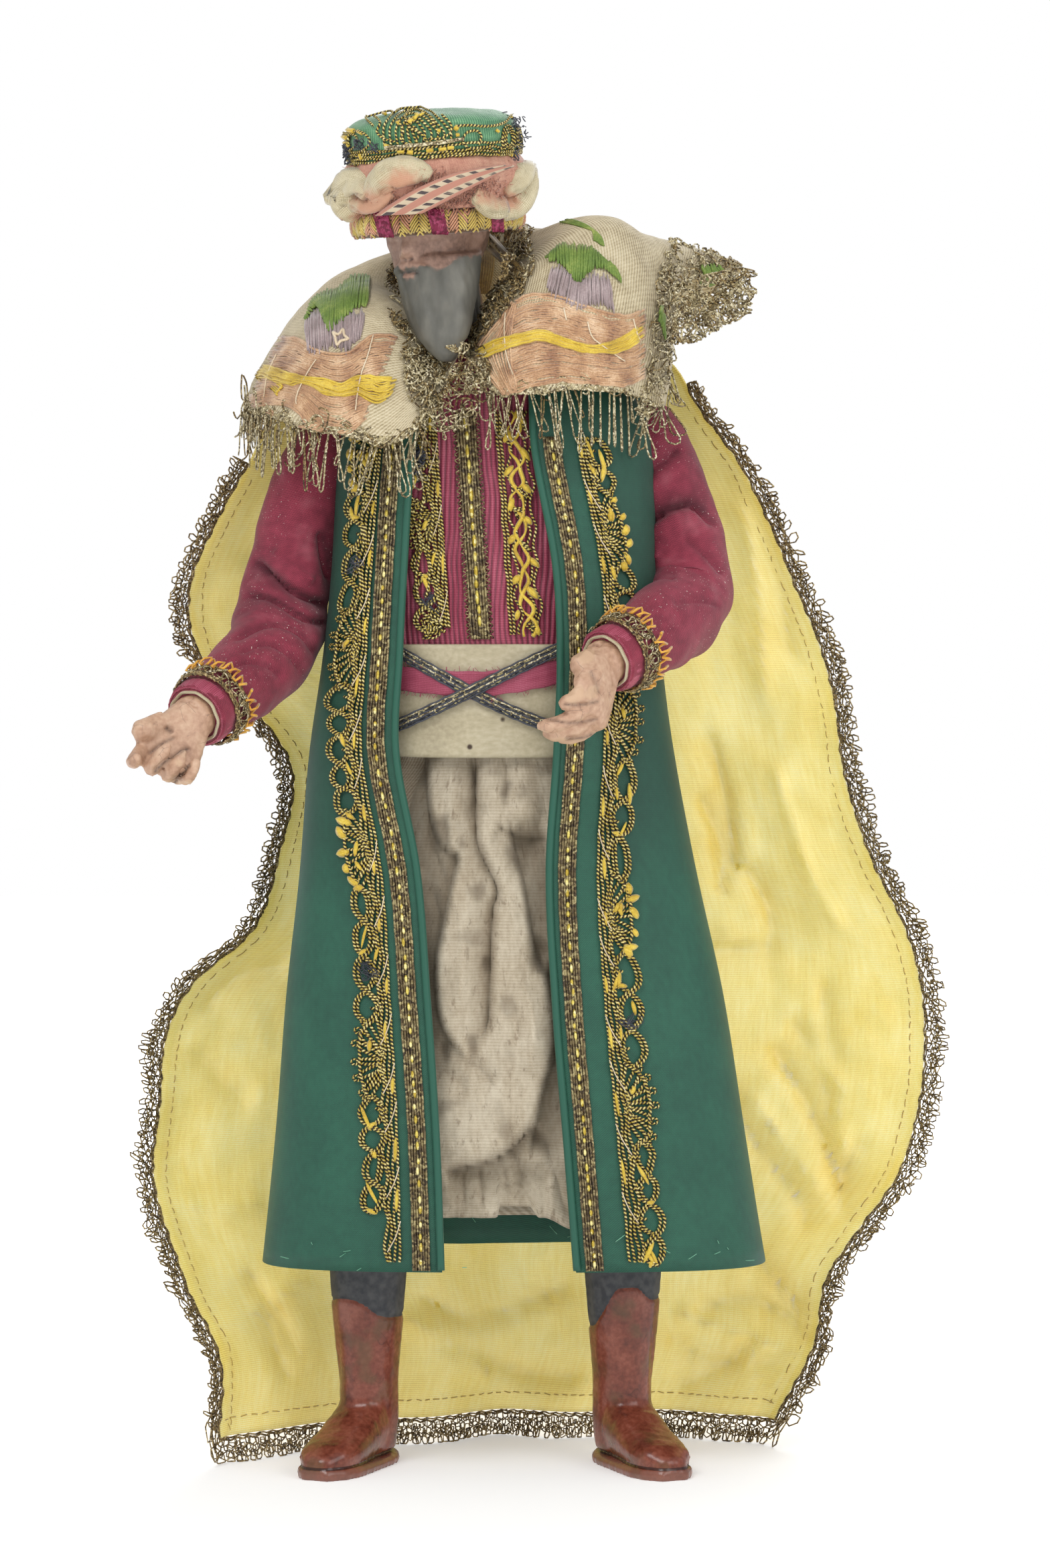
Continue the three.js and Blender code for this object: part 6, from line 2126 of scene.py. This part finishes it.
def net_patch(skin, outline, amount, steps, fine, finishes, depth=-31, behind=40):
    """Curled wires tangled inside an outline in the picture, at a depth where the cloth is further off."""
    def laid(u, v, lift):
        if skin.cast(u, v)[1] and skin.seen(u, v, lift).y < behind:
            return skin.seen(u, v, lift)
        loose = depth - lift + 4 * rough(u / 14, v / 14, depth, 1, 52)
        x, z = in_plane(u, v, loose)
        return Vector((x, loose, z))

    low_u, high_u = min(p[0] for p in outline), max(p[0] for p in outline)
    low_v, high_v = min(p[1] for p in outline), max(p[1] for p in outline)
    paths = []
    while len(paths) < amount:
        u, v = random.uniform(low_u, high_u), random.uniform(low_v, high_v)
        if not inside_outline(u, v, outline):
            continue
        way = random.uniform(0, math.tau)
        turn = random.uniform(-0.5, 0.5)
        run = []
        for i in range(steps):
            lift = 0.9 + 1.1 * abs(math.sin(i * 0.7 + way))
            run.append(laid(u, v, lift))
            way += turn + random.uniform(-0.45, 0.45)
            step_u, step_v = 4.6 * math.cos(way), 4.6 * math.sin(way)
            stretch = max((laid(u + step_u, v + step_v, lift) - run[-1]).length / 1.6, 1)
            next_u, next_v = u + step_u / stretch, v + step_v / stretch
            near = (laid(next_u, next_v, lift) - run[-1]).length < 3.2
            if near and inside_outline(next_u, next_v, outline):
                u, v = next_u, next_v
            else:
                way += 2.4
        paths.append((run, fine * random.uniform(0.8, 1.15), random.choice(finishes)))
    return paths


def make_cape():
    bm = cloth(cape_surface, 180, 44, (330, 62))
    skin = Skin(bm)
    linen = formed("twill_cape", bm, IVORY_TWILL, "ivory_linen", "shoulder_cape", wall=1.0)
    silks = [PEACH_FLOSS, YELLOW_FLOSS, LILAC_FLOSS, LEAF_FLOSS, CREAM_THREAD, STRAP_FLOSS]
    floss = corded("cape_embroidery", embroidery(skin), silks, "ivory_linen")
    fringe = corded("cape_wire_fringe", cape_wires(skin), [METAL_CORD, BRONZE_CORD], "tarnished_lace",
                    "cape_fringe")


def cape_wires(skin):
    """The wound edges of the cape, its nets of tangled wire and its loose loops."""
    outer = CapeEdge(1)
    neck = CapeEdge(0)
    paths = []
    for edge in (outer, neck):
        for k in range(3):
            run = []
            count = int(edge.length)
            for i in range(count + 1):
                point, out = edge.at(edge.length * i / count)
                twist = i * 1.1 + k * math.tau / 3
                lift = Vector((0, -0.3, 0.5 + 0.7 * math.sin(twist)))
                run.append(point + out * (0.8 * math.cos(twist) - 0.3) + lift)
            paths.append((run, 0.42, 0))
    paths += fringe_net(outer, False, 4.0, 170)
    paths += fringe_net(neck, True, -5.0, 70, fine=0.26, finishes=(1, 1, 0))
    for patch in NETS:
        paths += net_patch(skin, *patch)
    paths += curls(outer, 75, -140, -50, (6, 20))
    paths += curls(outer, 16, -50, 60, (5, 12))
    s = 0.0
    while s < outer.length:
        point, out = outer.at(s)
        front = ease((-point.y - 2) / 20)
        long = mix(8, 15, front) * random.uniform(0.5, 1.25)
        if 96 > point.x > 56 and point.z > 330:
            long *= 0.35
        run = hairpin(point, out, long, random.uniform(1.1, 2.5), random.uniform(-6.5, 6.5),
                      random.uniform(-2.6, 2.6))
        paths.append((run, 0.28, 0 if random.random() < 0.85 else 1))
        s += random.uniform(1.3, 3.2)
    s = 0.0
    while s < neck.length:
        point, out = neck.at(s)
        run = hairpin(point + Vector((0, 0, 1)), out, random.uniform(3, 7), random.uniform(0.5, 1.1),
                      random.uniform(-3, 3), 1)
        paths.append((run, 0.26, random.choice((0, 1, 1))))
        s += random.uniform(1.2, 2.4)
    return paths


# Head and turban, about the middle of the skull; the face looks along -Y before the head is turned.
HEAD = (Matrix.Translation((-17, -15, 369)) @ Matrix.Rotation(math.radians(-30), 4, "Z")
        @ Matrix.Rotation(math.radians(9), 4, "X") @ Matrix.Rotation(math.radians(1), 4, "Y"))
UNHEAD = HEAD.inverted()


def beard_line(x):
    """How high the beard reaches on the face at a distance from the middle."""
    away = abs(x)
    return -12.2 + 0.8 * ease((away - 2) / 3) - 1.2 * ease((away - 5) / 4) + 2.6 * ease((away - 10) / 4)


def face_relief(point, normal):
    p = UNHEAD @ point
    if p.z < -60:
        return 0.0
    out = 0.05 * rough(p.x, p.y, p.z, 1.5, 35)
    if p.y < 0 and p.z > -24:
        away = abs(p.x)
        front = ease(-p.y / 8)
        side = hump(away, 5.6, 2.7)
        face = 0.0
        face += 1.1 * side * hump(p.z, -3.0, 2.0)
        face -= 0.5 * hump(away, 5.6, 3.2) * hump(p.z, -1.0, 0.5)
        face -= 0.35 * hump(away, 5.6, 3.0) * hump(p.z, -3.2, 0.35)
        face -= 0.3 * hump(away, 5.8, 3.0) * hump(p.z, -5.4, 0.5)
        face += 0.8 * hump(away, 5.6, 4.4) * hump(p.z, 1.4, 1.6)
        face += 0.9 * hump(away, 2.5, 1.0) * hump(p.z, -9.9, 1.2)
        face -= 0.7 * hump(away, 1.1, 0.55) * hump(p.z, -11.0, 0.5)
        crease = hump(away - 3.6 - (-9.6 - p.z) * 0.75, 0, 0.7)
        face -= 0.35 * crease * ease((-8.8 - p.z) / 1) * ease((14.5 + p.z) / 2)
        face += 0.5 * hump(away, 8.4, 2.6) * hump(p.z, -6.4, 2.2)
        moustache = hump(p.z, -12.4 - away * 0.28, 1.5) * ease((8 - away) / 3)
        face += 1.1 * moustache - 0.5 * hump(away, 0, 0.6) * hump(p.z, -12.2, 1.2)
        face -= 0.9 * hump(p.z, -14.6 - away * 0.12, 0.45) * ease((4.2 - away) / 1.2)
        face += 0.6 * hump(p.z, -15.8, 0.8) * ease((3.6 - away) / 1.6)
        out += face * front
    ear = hump(p.y, 1.6, 2.2) * hump(p.z, -4.2, 3.8) - 0.5 * hump(p.y, 1.2, 1.0) * hump(p.z, -3.6, 2.2)
    if abs(p.x) > 9:
        out += 1.9 * ear
    if p.z < beard_line(p.x) + 1 and p.y < 8:
        share = ease((beard_line(p.x) - p.z) / 3)
        middle = 0.32 * (-p.z - 12) if p.z < -12 else 0
        angle = math.atan2(p.x - middle * 0.9, 8 - p.y)
        locks = math.sin(angle * 15 + 1.6 * math.sin(p.z / 5.5) + 1.2 * rough(p.x, p.y, p.z, 6, 36))
        out += share * (0.2 * locks * abs(locks) ** 0.2 + 0.05 * math.sin(angle * 47 + p.z / 3))
    return out


def make_head():
    def hair(point):
        p = UNHEAD @ point
        if p.y > 9 or p.z > 1:
            return 0.0
        lip = hump(p.z, -15.6, 0.9) * ease((2.8 - abs(p.x)) / 1.2)
        return ease((beard_line(p.x) - p.z + 0.8 * rough(p.x, p.y, p.z, 2, 37)) / 2.2) * (1 - 0.8 * lip)

    def shaded(point):
        p = UNHEAD @ point
        if p.y > 0:
            return 0.0
        away = abs(p.x)
        socket = 0.5 * hump(away, 5.6, 3.4) * hump(p.z, -2.2, 1.8)
        nostril = 0.8 * hump(away, 1.1, 0.6) * hump(p.z, -11.0, 0.5)
        mouth = 0.6 * hump(p.z, -14.6 - away * 0.12, 0.5) * ease((4 - away) / 1.2)
        lash = 0.5 * hump(away, 5.6, 2.6) * hump(p.z, -3.2, 0.4)
        return min(socket + nostril + mouth + lash, 1)

    bm = carved("head", 0.68, 3, face_relief)
    formed("painted_head", bm, HEAD_PAINT, "painted_terracotta", "head", hair=hair, shaded=shaded)


# Turban levels are above the middle of the skull.
BAND_BOTTOM = -4.4
BAND_TOP = 3.3
WRAP_BOTTOM = 3.75
WRAP_TOP = 16.9
CROWN_BOTTOM = 17.3
CROWN_WALL = 9.4
CROWN_DOME = 5.4
CROWN_RADIUS = 25.2
BAND_RADIUS = 24.9
BAND_INSET = 1.4
DARNED_COLUMNS = 56


def roll_point(u, v, bottom, top, radius, inset, ruffle=None):
    """A wound roll about the head: v runs over its outer face from the top edge to the bottom one."""
    angle = math.tau * u
    share = 1 - v
    reach = radius - inset * (1 - math.sin(math.pi * share) ** 0.5)
    z = mix(bottom, top, share)
    if ruffle:
        reach += ruffle(angle, share)
    return HEAD @ Vector((reach * math.sin(angle), -(reach + 0.6) * math.cos(angle), z))


def closed_roll(bottom, top, radius, inner, inset, across, down, size, ruffle=None):
    """A roll with its inside: v from 0 to .7 is the outer face, the rest comes back within."""
    def surface(u, v):
        if v <= 0.7:
            return roll_point(u, v / 0.7, bottom, top, radius, inset, ruffle)
        back = (v - 0.7) / 0.3
        angle = math.tau * u
        reach = mix(radius - inset, inner, math.sin(math.pi * back))
        return HEAD @ Vector((reach * math.sin(angle), -(reach + 0.6) * math.cos(angle),
                              mix(bottom, top, back)))

    return cloth(surface, across, down, size, joined=True)


def tube(path, radii, sides, size):
    """A soft round roll of cloth along a path, with its own UV map in millimetres."""
    points = [Vector(p) for p in path]
    count = len(points) - 1
    ways = [(points[min(i + 1, count)] - points[max(i - 1, 0)]).normalized() for i in range(count + 1)]

    def surface(u, v):
        place = v * count
        i = min(int(place), count - 1)
        part = place - i
        centre = points[i].lerp(points[i + 1], part)
        way = ways[i].lerp(ways[i + 1], part).normalized()
        front = Vector((0, -1, 0.2))
        front = (front - way * front.dot(way)).normalized()
        side = way.cross(front)
        angle = math.tau * u
        reach = mix(radii[i], radii[i + 1], part)
        x, y = 4 * math.cos(angle), 4 * math.sin(angle)
        crease = ease(1 - 3.4 * abs(math.sin(2 * angle + 1.3 * math.sin(v * 7) + 0.25 * x * v)))
        reach *= 1 - 0.3 * crease + 0.14 * rough(x, y, v * 12, 4, 38)
        return centre + (front * math.cos(angle) * 0.5 + side * math.sin(angle)) * reach

    return closed(cloth(surface, sides, count * 2, size, joined=True))


def hairs(skin, spots, amount, long, finish, spread):
    """Short hairs that stand off a surface round places in the picture."""
    paths = []
    for _ in range(amount):
        u, v = random.choice(spots)
        start = skin.seen(u + random.gauss(0, spread), v + random.gauss(0, spread * 0.5), 0)
        way = Vector((random.gauss(0, 0.5), -1, random.gauss(0.1, 0.6))).normalized()
        way = way * long * random.uniform(0.5, 1.2)
        sag = Vector((0, 0, -0.3 * long))
        run = [start + way * t + sag * t * t for t in (0, 0.5, 1.0)]
        paths.append((run, [0.15, 0.13, 0.05], finish))
    return paths


RUFFLES = [
    [(514, 350, 3.0), (503, 332, 4.8), (500, 308, 5.6), (508, 286, 5.4), (526, 272, 4.6),
        (544, 276, 4.0), (556, 290, 3.0)],
    [(556, 294, 3.0), (566, 276, 4.4), (584, 262, 5.2), (606, 256, 4.8), (630, 258, 3.4), (644, 264, 1.8)],
    [(524, 300, 2.6), (546, 304, 3.6), (566, 300, 3.0), (586, 286, 1.6)],
    [(708, 288, 2.4), (726, 302, 4.2), (748, 308, 5.0), (768, 300, 4.8), (781, 282, 4.2),
        (786, 262, 3.2), (788, 248, 2.0)],
    [(752, 288, 1.6), (766, 278, 3.0), (778, 262, 3.4), (786, 246, 2.4)],
]

# Where the wrap's pile shows, in the picture.
PILE = [(530, 300), (560, 310), (600, 262), (640, 262), (660, 275), (700, 300), (690, 290), (720, 280),
    (650, 300), (540, 320), (600, 300), (500, 330), (498, 345), (740, 280), (800, 300), (780, 325),
    (670, 308), (630, 305)]

# Where the ruffles are stained pink, in the picture, and how far each stain reaches, in millimetres.
PINK_STAINS = [(556, 314, 5.5), (600, 278, 5), (575, 300, 4), (735, 284, 4.5), (762, 300, 2.5),
    (504, 345, 3)]


def pink_stain(point):
    share = 0
    for u, v, reach in PINK_STAINS:
        x, z = in_plane(u, v, point.y)
        uneven = 0.5 * rough(point.x, point.y, point.z, 1.6, 51)
        away = math.hypot(point.x - x, point.z - z) / reach + uneven
        share = max(share, ease(1.5 - away))
    return share


def crown_surface(u, v):
    """The crown from the foot of its wall, v = 0, to the middle of its top, v = 1."""
    angle = math.tau * u
    if v < 0.4:
        share = v / 0.4
        reach = CROWN_RADIUS + 0.5 * math.sin(math.pi * share)
        z = CROWN_BOTTOM + CROWN_WALL * share
    else:
        turn = math.pi / 2 * (v - 0.4) / 0.6
        reach = CROWN_RADIUS * math.cos(turn) ** 0.8 if v < 1 else 0
        z = CROWN_BOTTOM + CROWN_WALL + CROWN_DOME * math.sin(turn)
    soft = 0.4 * rough(math.sin(angle) * reach, math.cos(angle) * reach, z, 7, 44)
    reach += soft
    return HEAD @ Vector((reach * math.sin(angle), -reach * math.cos(angle), z + soft * ease(v * 2 - 0.6)))


# The lace on the crown's front in the picture: rows of cord, curls of cord, and strands of floss by their
# middle, half length and slant.
CROWN_ROWS = [
    [(502, 246), (540, 243), (580, 242), (640, 240), (700, 236), (760, 234), (790, 236)],
    [(508, 240), (545, 238), (600, 235), (655, 234), (705, 230), (750, 231), (784, 226)],
    [(530, 232), (560, 234), (598, 229), (640, 228), (690, 224), (730, 219), (748, 220)],
    [(540, 250), (570, 250), (610, 247), (650, 243), (690, 240)],
    [(700, 222), (730, 222), (750, 236), (775, 240), (788, 234)],
    [(506, 232), (550, 229), (600, 222), (650, 219), (700, 213), (744, 212)],
    [(516, 250), (560, 247), (620, 244), (700, 240), (770, 240)],
    [(640, 233), (680, 229), (720, 225), (760, 226), (782, 218)],
    [(512, 226), (556, 226), (590, 224), (640, 222)],
]
CROWN_CURLS = [
    [(640, 214), (630, 200), (612, 190), (606, 176), (622, 168), (640, 176), (650, 190)],
    [(560, 190), (548, 180), (556, 168), (575, 166), (590, 172), (600, 164), (615, 163)],
    [(560, 178), (570, 186), (566, 198), (578, 208), (592, 212)],
    [(700, 224), (690, 212), (694, 200), (708, 196), (716, 204), (712, 216)],
    [(680, 190), (700, 188), (725, 190), (745, 186), (760, 176), (775, 168)],
    [(520, 222), (512, 210), (520, 200), (536, 204), (536, 216), (526, 224)],
    [(500, 236), (492, 226), (496, 212), (508, 204), (518, 198)],
    [(498, 240), (490, 236), (491, 226), (500, 222)],
    [(532, 196), (548, 200), (556, 212), (546, 224), (536, 228), (540, 240)],
    [(596, 182), (604, 196), (600, 210), (616, 216)],
    [(660, 176), (672, 186), (672, 198), (660, 206), (640, 208)],
    [(745, 206), (746, 218), (740, 228), (744, 236)],
]
CROWN_FLOSS = [
    (528, 196, 6, 0.1), (541, 198, 5, 0.4), (520, 206, 4, 0.3), (505, 218, 4, 0.8), (520, 214, 3, 0.2),
    (614, 184, 4, -0.5), (622, 178, 5, -0.9), (630, 175, 4, -0.5), (655, 196, 3, 0.1), (600, 226, 6, 0),
    (614, 227, 5, 0.1), (642, 224, 6, -0.1), (660, 222, 7, -0.1), (672, 220, 6, 0), (680, 192, 4, 0.6),
    (542, 234, 5, 1.2), (738, 234, 4, 0.2), (768, 232, 4, 0.3), (682, 202, 3, 0), (580, 218, 4, 0.4),
    (596, 186, 3, 0.2), (575, 174, 3, 0.3), (740, 196, 3, 0.6),
]


def crown_front(skin):
    """Rows, arches and curls of cord, strands of floss and a flat strip of metal cord."""
    paths = []
    for k, line in enumerate(CROWN_ROWS):
        paths.append((drawn(skin, line, 0.7, 3, 2.0, k), 0.42, 0))
    for k in range(6):
        grow = 4 + k * 9
        arch = [(628 - grow * 1.05, 214 + k), (622 - grow * 0.95, 200 - k * 2),
                (618 - grow * 0.5, 196 - grow * 0.55), (618, 192 - grow * 0.62),
                (618 + grow * 0.55, 192 - grow * 0.42), (622 + grow * 1.0, 200 - k),
                (618 + grow * 1.1, 212)]
        paths.append((drawn(skin, arch, 0.8, 3, 1.2, k + 5), 0.4, 0))
    for line in CROWN_CURLS:
        paths.append((drawn(skin, line, 1.0, 3, 0.8, line[0][0]), 0.4, 0))
    for u, v, long, turn in CROWN_FLOSS:
        run = [(u + long * k * math.cos(turn) * 0.9, v + long * k * math.sin(turn))
               for k in (-0.9, -0.3, 0.3, 0.9)]
        paths.append((drawn(skin, run, 0.9, 3), random.uniform(0.5, 0.85), 1))
    for k in range(3):
        strip = [(578, 222 - k * 1.5), (610, 219 - k * 1.5), (650, 215 - k * 1.5), (690, 209 - k * 1.2)]
        paths.append((drawn(skin, strip, 1.4, 3, 1.0, k), 0.3, 3))
    return paths


def crown_frays(skin):
    """A cluster of frayed dark thread, and small tangles of it round the lace's edges."""
    paths = []
    spot = skin.seen(768, 198, 0.6)
    for _ in range(60):
        a = Vector((random.uniform(-5, 2.5), random.uniform(-1.0, 0.5), random.uniform(-5, 4)))
        way = Vector((random.uniform(-1, 0.7), random.uniform(-0.6, 0.1),
                      random.uniform(-1, 1))) * random.uniform(1.2, 2.8)
        run = [spot + a + way * t + Vector((0.5 * math.sin(5 * t + a.x), 0, 0.5 * math.cos(5 * t + a.z)))
               for t in (0, 0.25, 0.5, 0.75, 1)]
        paths.append((run, 0.17, 2))
    for u, v in ((496, 232), (494, 244), (540, 216), (560, 220), (786, 240), (498, 226)):
        spot = skin.seen(u, v, 0.8)
        for _ in range(4):
            a, b = random.uniform(0, 6), random.uniform(0, 6)
            run = [spot + Vector((1.7 * math.sin(a + t), 0.6 * math.sin(b + 2 * t) - 0.5,
                                  1.7 * math.cos(b + 1.2 * t))) for t in range(7)]
            paths.append((run, 0.16, 2))
    return paths


def crown_loops():
    """Two rows of cord and nested loops above them, round the crown's sides and back."""
    paths = []
    count = 260
    for level, lift in ((0.03, 0.5), (0.1, 0.6)):
        run = [crown_rim(mix(0.24, 0.8, i / count), level + 0.012 * math.sin(i * 0.5), lift)
               for i in range(count + 1)]
        paths.append((run, 0.42, 0))
    for k in range(11):
        middle = mix(0.25, 0.79, k / 10)
        for size in (0.5, 0.75, 1.0):
            turns = [math.tau * i / 18 for i in range(19)]
            run = [crown_rim(middle + 0.022 * size * math.sin(t), 0.2 - 0.16 * size * math.cos(t), 0.5)
                   for t in turns]
            paths.append((run, 0.36, 0))
    return paths


def crown_rim(u, v, lift):
    point = crown_surface(u, v)
    out = crown_surface(u, v + 0.001) - HEAD @ Vector((0, 0, CROWN_BOTTOM + 4))
    return point + out.normalized() * lift


# The checked ribbon's upper and lower edge: share of the way along it, and its place in the picture.
RIBBON_EDGES = (
    through([(0, 563, 322), (0.14, 584, 306), (0.4, 625, 281), (0.66, 672, 261), (0.84, 706, 253),
             (1, 745, 247)]),
    through([(0, 630, 319), (0.14, 650, 309), (0.4, 682, 292), (0.66, 712, 276), (0.84, 738, 262),
             (1, 768, 248)]),
)


def band_bulge(angle, share):
    uneven = rough(24 * math.cos(angle), 24 * math.sin(angle), share * 6, 3, 39)
    return 0.35 * math.sin(math.pi * share) + 0.25 * uneven


def puffs(angle, share):
    swell = math.sin(7 * angle + 1) * math.sin(math.pi * share)
    x, y = 28 * math.cos(angle), 28 * math.sin(angle)
    return swell + 0.8 * rough(x, y, share * 13, 6, 40) + 0.35 * rough(x, y, share * 13, 2.4, 41)


def darned(k, row):
    """One slanted strand of the band's darning, where it lies on the band."""
    lean = 1.8 if k % 2 else -1.8
    start = Vector((k / DARNED_COLUMNS, (row + 0.5 - lean) / 7))
    end = Vector(((k + 1) / DARNED_COLUMNS, (row + 0.5 + lean) / 7))
    run = []
    for i in range(4):
        spot = start.lerp(end, i / 3)
        if 0 <= spot.y <= 1:
            bulged = roll_point(spot.x, spot.y, BAND_BOTTOM, BAND_TOP, BAND_RADIUS, BAND_INSET, band_bulge)
            away = bulged - HEAD.translation
            away.z = 0
            run.append(bulged + away.normalized() * (0.25 + 0.25 * math.sin(math.pi * i / 3)))
    return run


def make_band():
    bm = closed_roll(BAND_BOTTOM, BAND_TOP, BAND_RADIUS, 21, BAND_INSET, 180, 24, (157, 12), band_bulge)
    skin = Skin(bm)
    band = formed("herringbone_turban_band", bm, BAND_GROUND, "herringbone_band", "turban_band")
    darning = []
    for k in range(DARNED_COLUMNS):
        for row in range(-2, 9):
            run = darned(k, row)
            if len(run) > 1:
                wide = math.sin(0.42 * (2.5 * k + row)) + 1.4 * rough(k, row, 0, 3, 46)
                wide += random.uniform(-0.6, 0.6)
                darning.append((run, 0.31, 1 if wide > 0.35 else 0))
    corded("band_darning", darning, [BAND_YELLOW, BAND_PINK], "herringbone_band")
    bars = []
    for top, bottom, wide in ((570, 584, 18), (650, 662, 20), (738, 745, 14)):
        for k in range(9):
            shift = wide * (k / 8 - 0.5)
            line = [(top + shift, 314), ((top + bottom) / 2 + shift - 1, 338), (bottom + shift, 364)]
            bars.append((drawn(skin, line, 1.0, 4), 0.42, 0))
    corded("band_bars", bars, [CRIMSON_CORD], "crimson_rib", sides=6)


def make_ruffles(skin):
    rolls = bmesh.new()
    for line in RUFFLES:
        flat = smooth_path(line, 6)
        path = [skin.seen(p[0], p[1], 0.6) for p in flat]
        bm = tube(path, [p[2] for p in flat], 22, (16, 24))
        for vert in bm.verts:
            vert.co += Vector((0, -0.3 * rough(vert.co.x, vert.co.y, vert.co.z, 3, 42), 0))
        holder = bpy.data.meshes.new("roll")
        bm.to_mesh(holder)
        bm.free()
        rolls.from_mesh(holder)
        bpy.data.meshes.remove(holder)
    ruffles = formed("ivory_ruffles", rolls, IVORY_SILK, "pink_silk", deep=pink_stain)


def make_wrap():
    bm = closed_roll(WRAP_BOTTOM - 1.2, WRAP_TOP + 1.2, 27.2, 22, 3.2, 200, 44, (178, 20), puffs)
    skin = Skin(bm)
    wrap = formed("silk_turban_wrap", bm, PINK_SILK, "pink_silk", "turban_wrap")
    make_ruffles(skin)
    fuzz = hairs(skin, PILE, 1000, 2.8, 0, 14)
    for _ in range(220):
        angle = random.uniform(1.2, 5.2)
        start = roll_point(angle / math.tau, random.random(), WRAP_BOTTOM, WRAP_TOP, 27, 3)
        out = HEAD @ Vector((math.sin(angle), -math.cos(angle), random.uniform(-0.5, 0.5)))
        way = (out - HEAD.translation) * random.uniform(1, 2.4)
        fuzz.append(([start, start + way * 0.5, start + way], [0.1, 0.09, 0.04], 0))
    corded("pink_fuzz", fuzz, [PINK_PILE], "pink_silk")


def make_checked_ribbon():
    even = cloth(lambda u, v: roll_point(u, v, WRAP_BOTTOM - 9, WRAP_TOP + 9, 29.2, 0), 120, 4, (1, 1))
    smooth_skin = Skin(even)
    even.free()

    def ribbon(u, v):
        upper, lower = RIBBON_EDGES[0](u), RIBBON_EDGES[1](u)
        bulge = 0.8 + 0.5 * math.sin(math.pi * v) + 0.25 * math.sin(math.tau * 2 * v)
        return smooth_skin.seen(mix(upper[0], lower[0], v), mix(upper[1], lower[1], v), bulge)

    bm = cloth(ribbon, 90, 12, (40, 6))
    strip = formed("checked_turban_ribbon", bm, CHECKED, "pink_silk", "turban_ribbon", wall=0.4)


def make_crown():
    bm = closed(cloth(crown_surface, 140, 40, (160, 40), joined=True))
    skin = Skin(bm)
    crown = formed("ribbed_turban_crown", bm, GREEN_RIB, "green_rib_silk", "turban_crown")
    paths = crown_front(skin) + crown_frays(skin) + crown_loops()
    corded("crown_cord_lace", paths, LACE_FINISHES, "silk_cord_lace", "turban_crown_lace")


# The whole figure.
LEG_PAINT = boot_and_stocking()
HEAD_PAINT = head_paint()
HAND_PAINT = hand_paint()
CHECKED = ribbon_checks()

set_camera()
set_floor()
set_lights()
make_cloak()
make_coat()
make_waistcoat()
make_sash()
make_breeches()
make_legs()
for name in ("right", "left"):
    make_arm(name)
    make_hand(name)
make_cape()
make_head()
make_band()
make_wrap()
make_checked_ribbon()
make_crown()
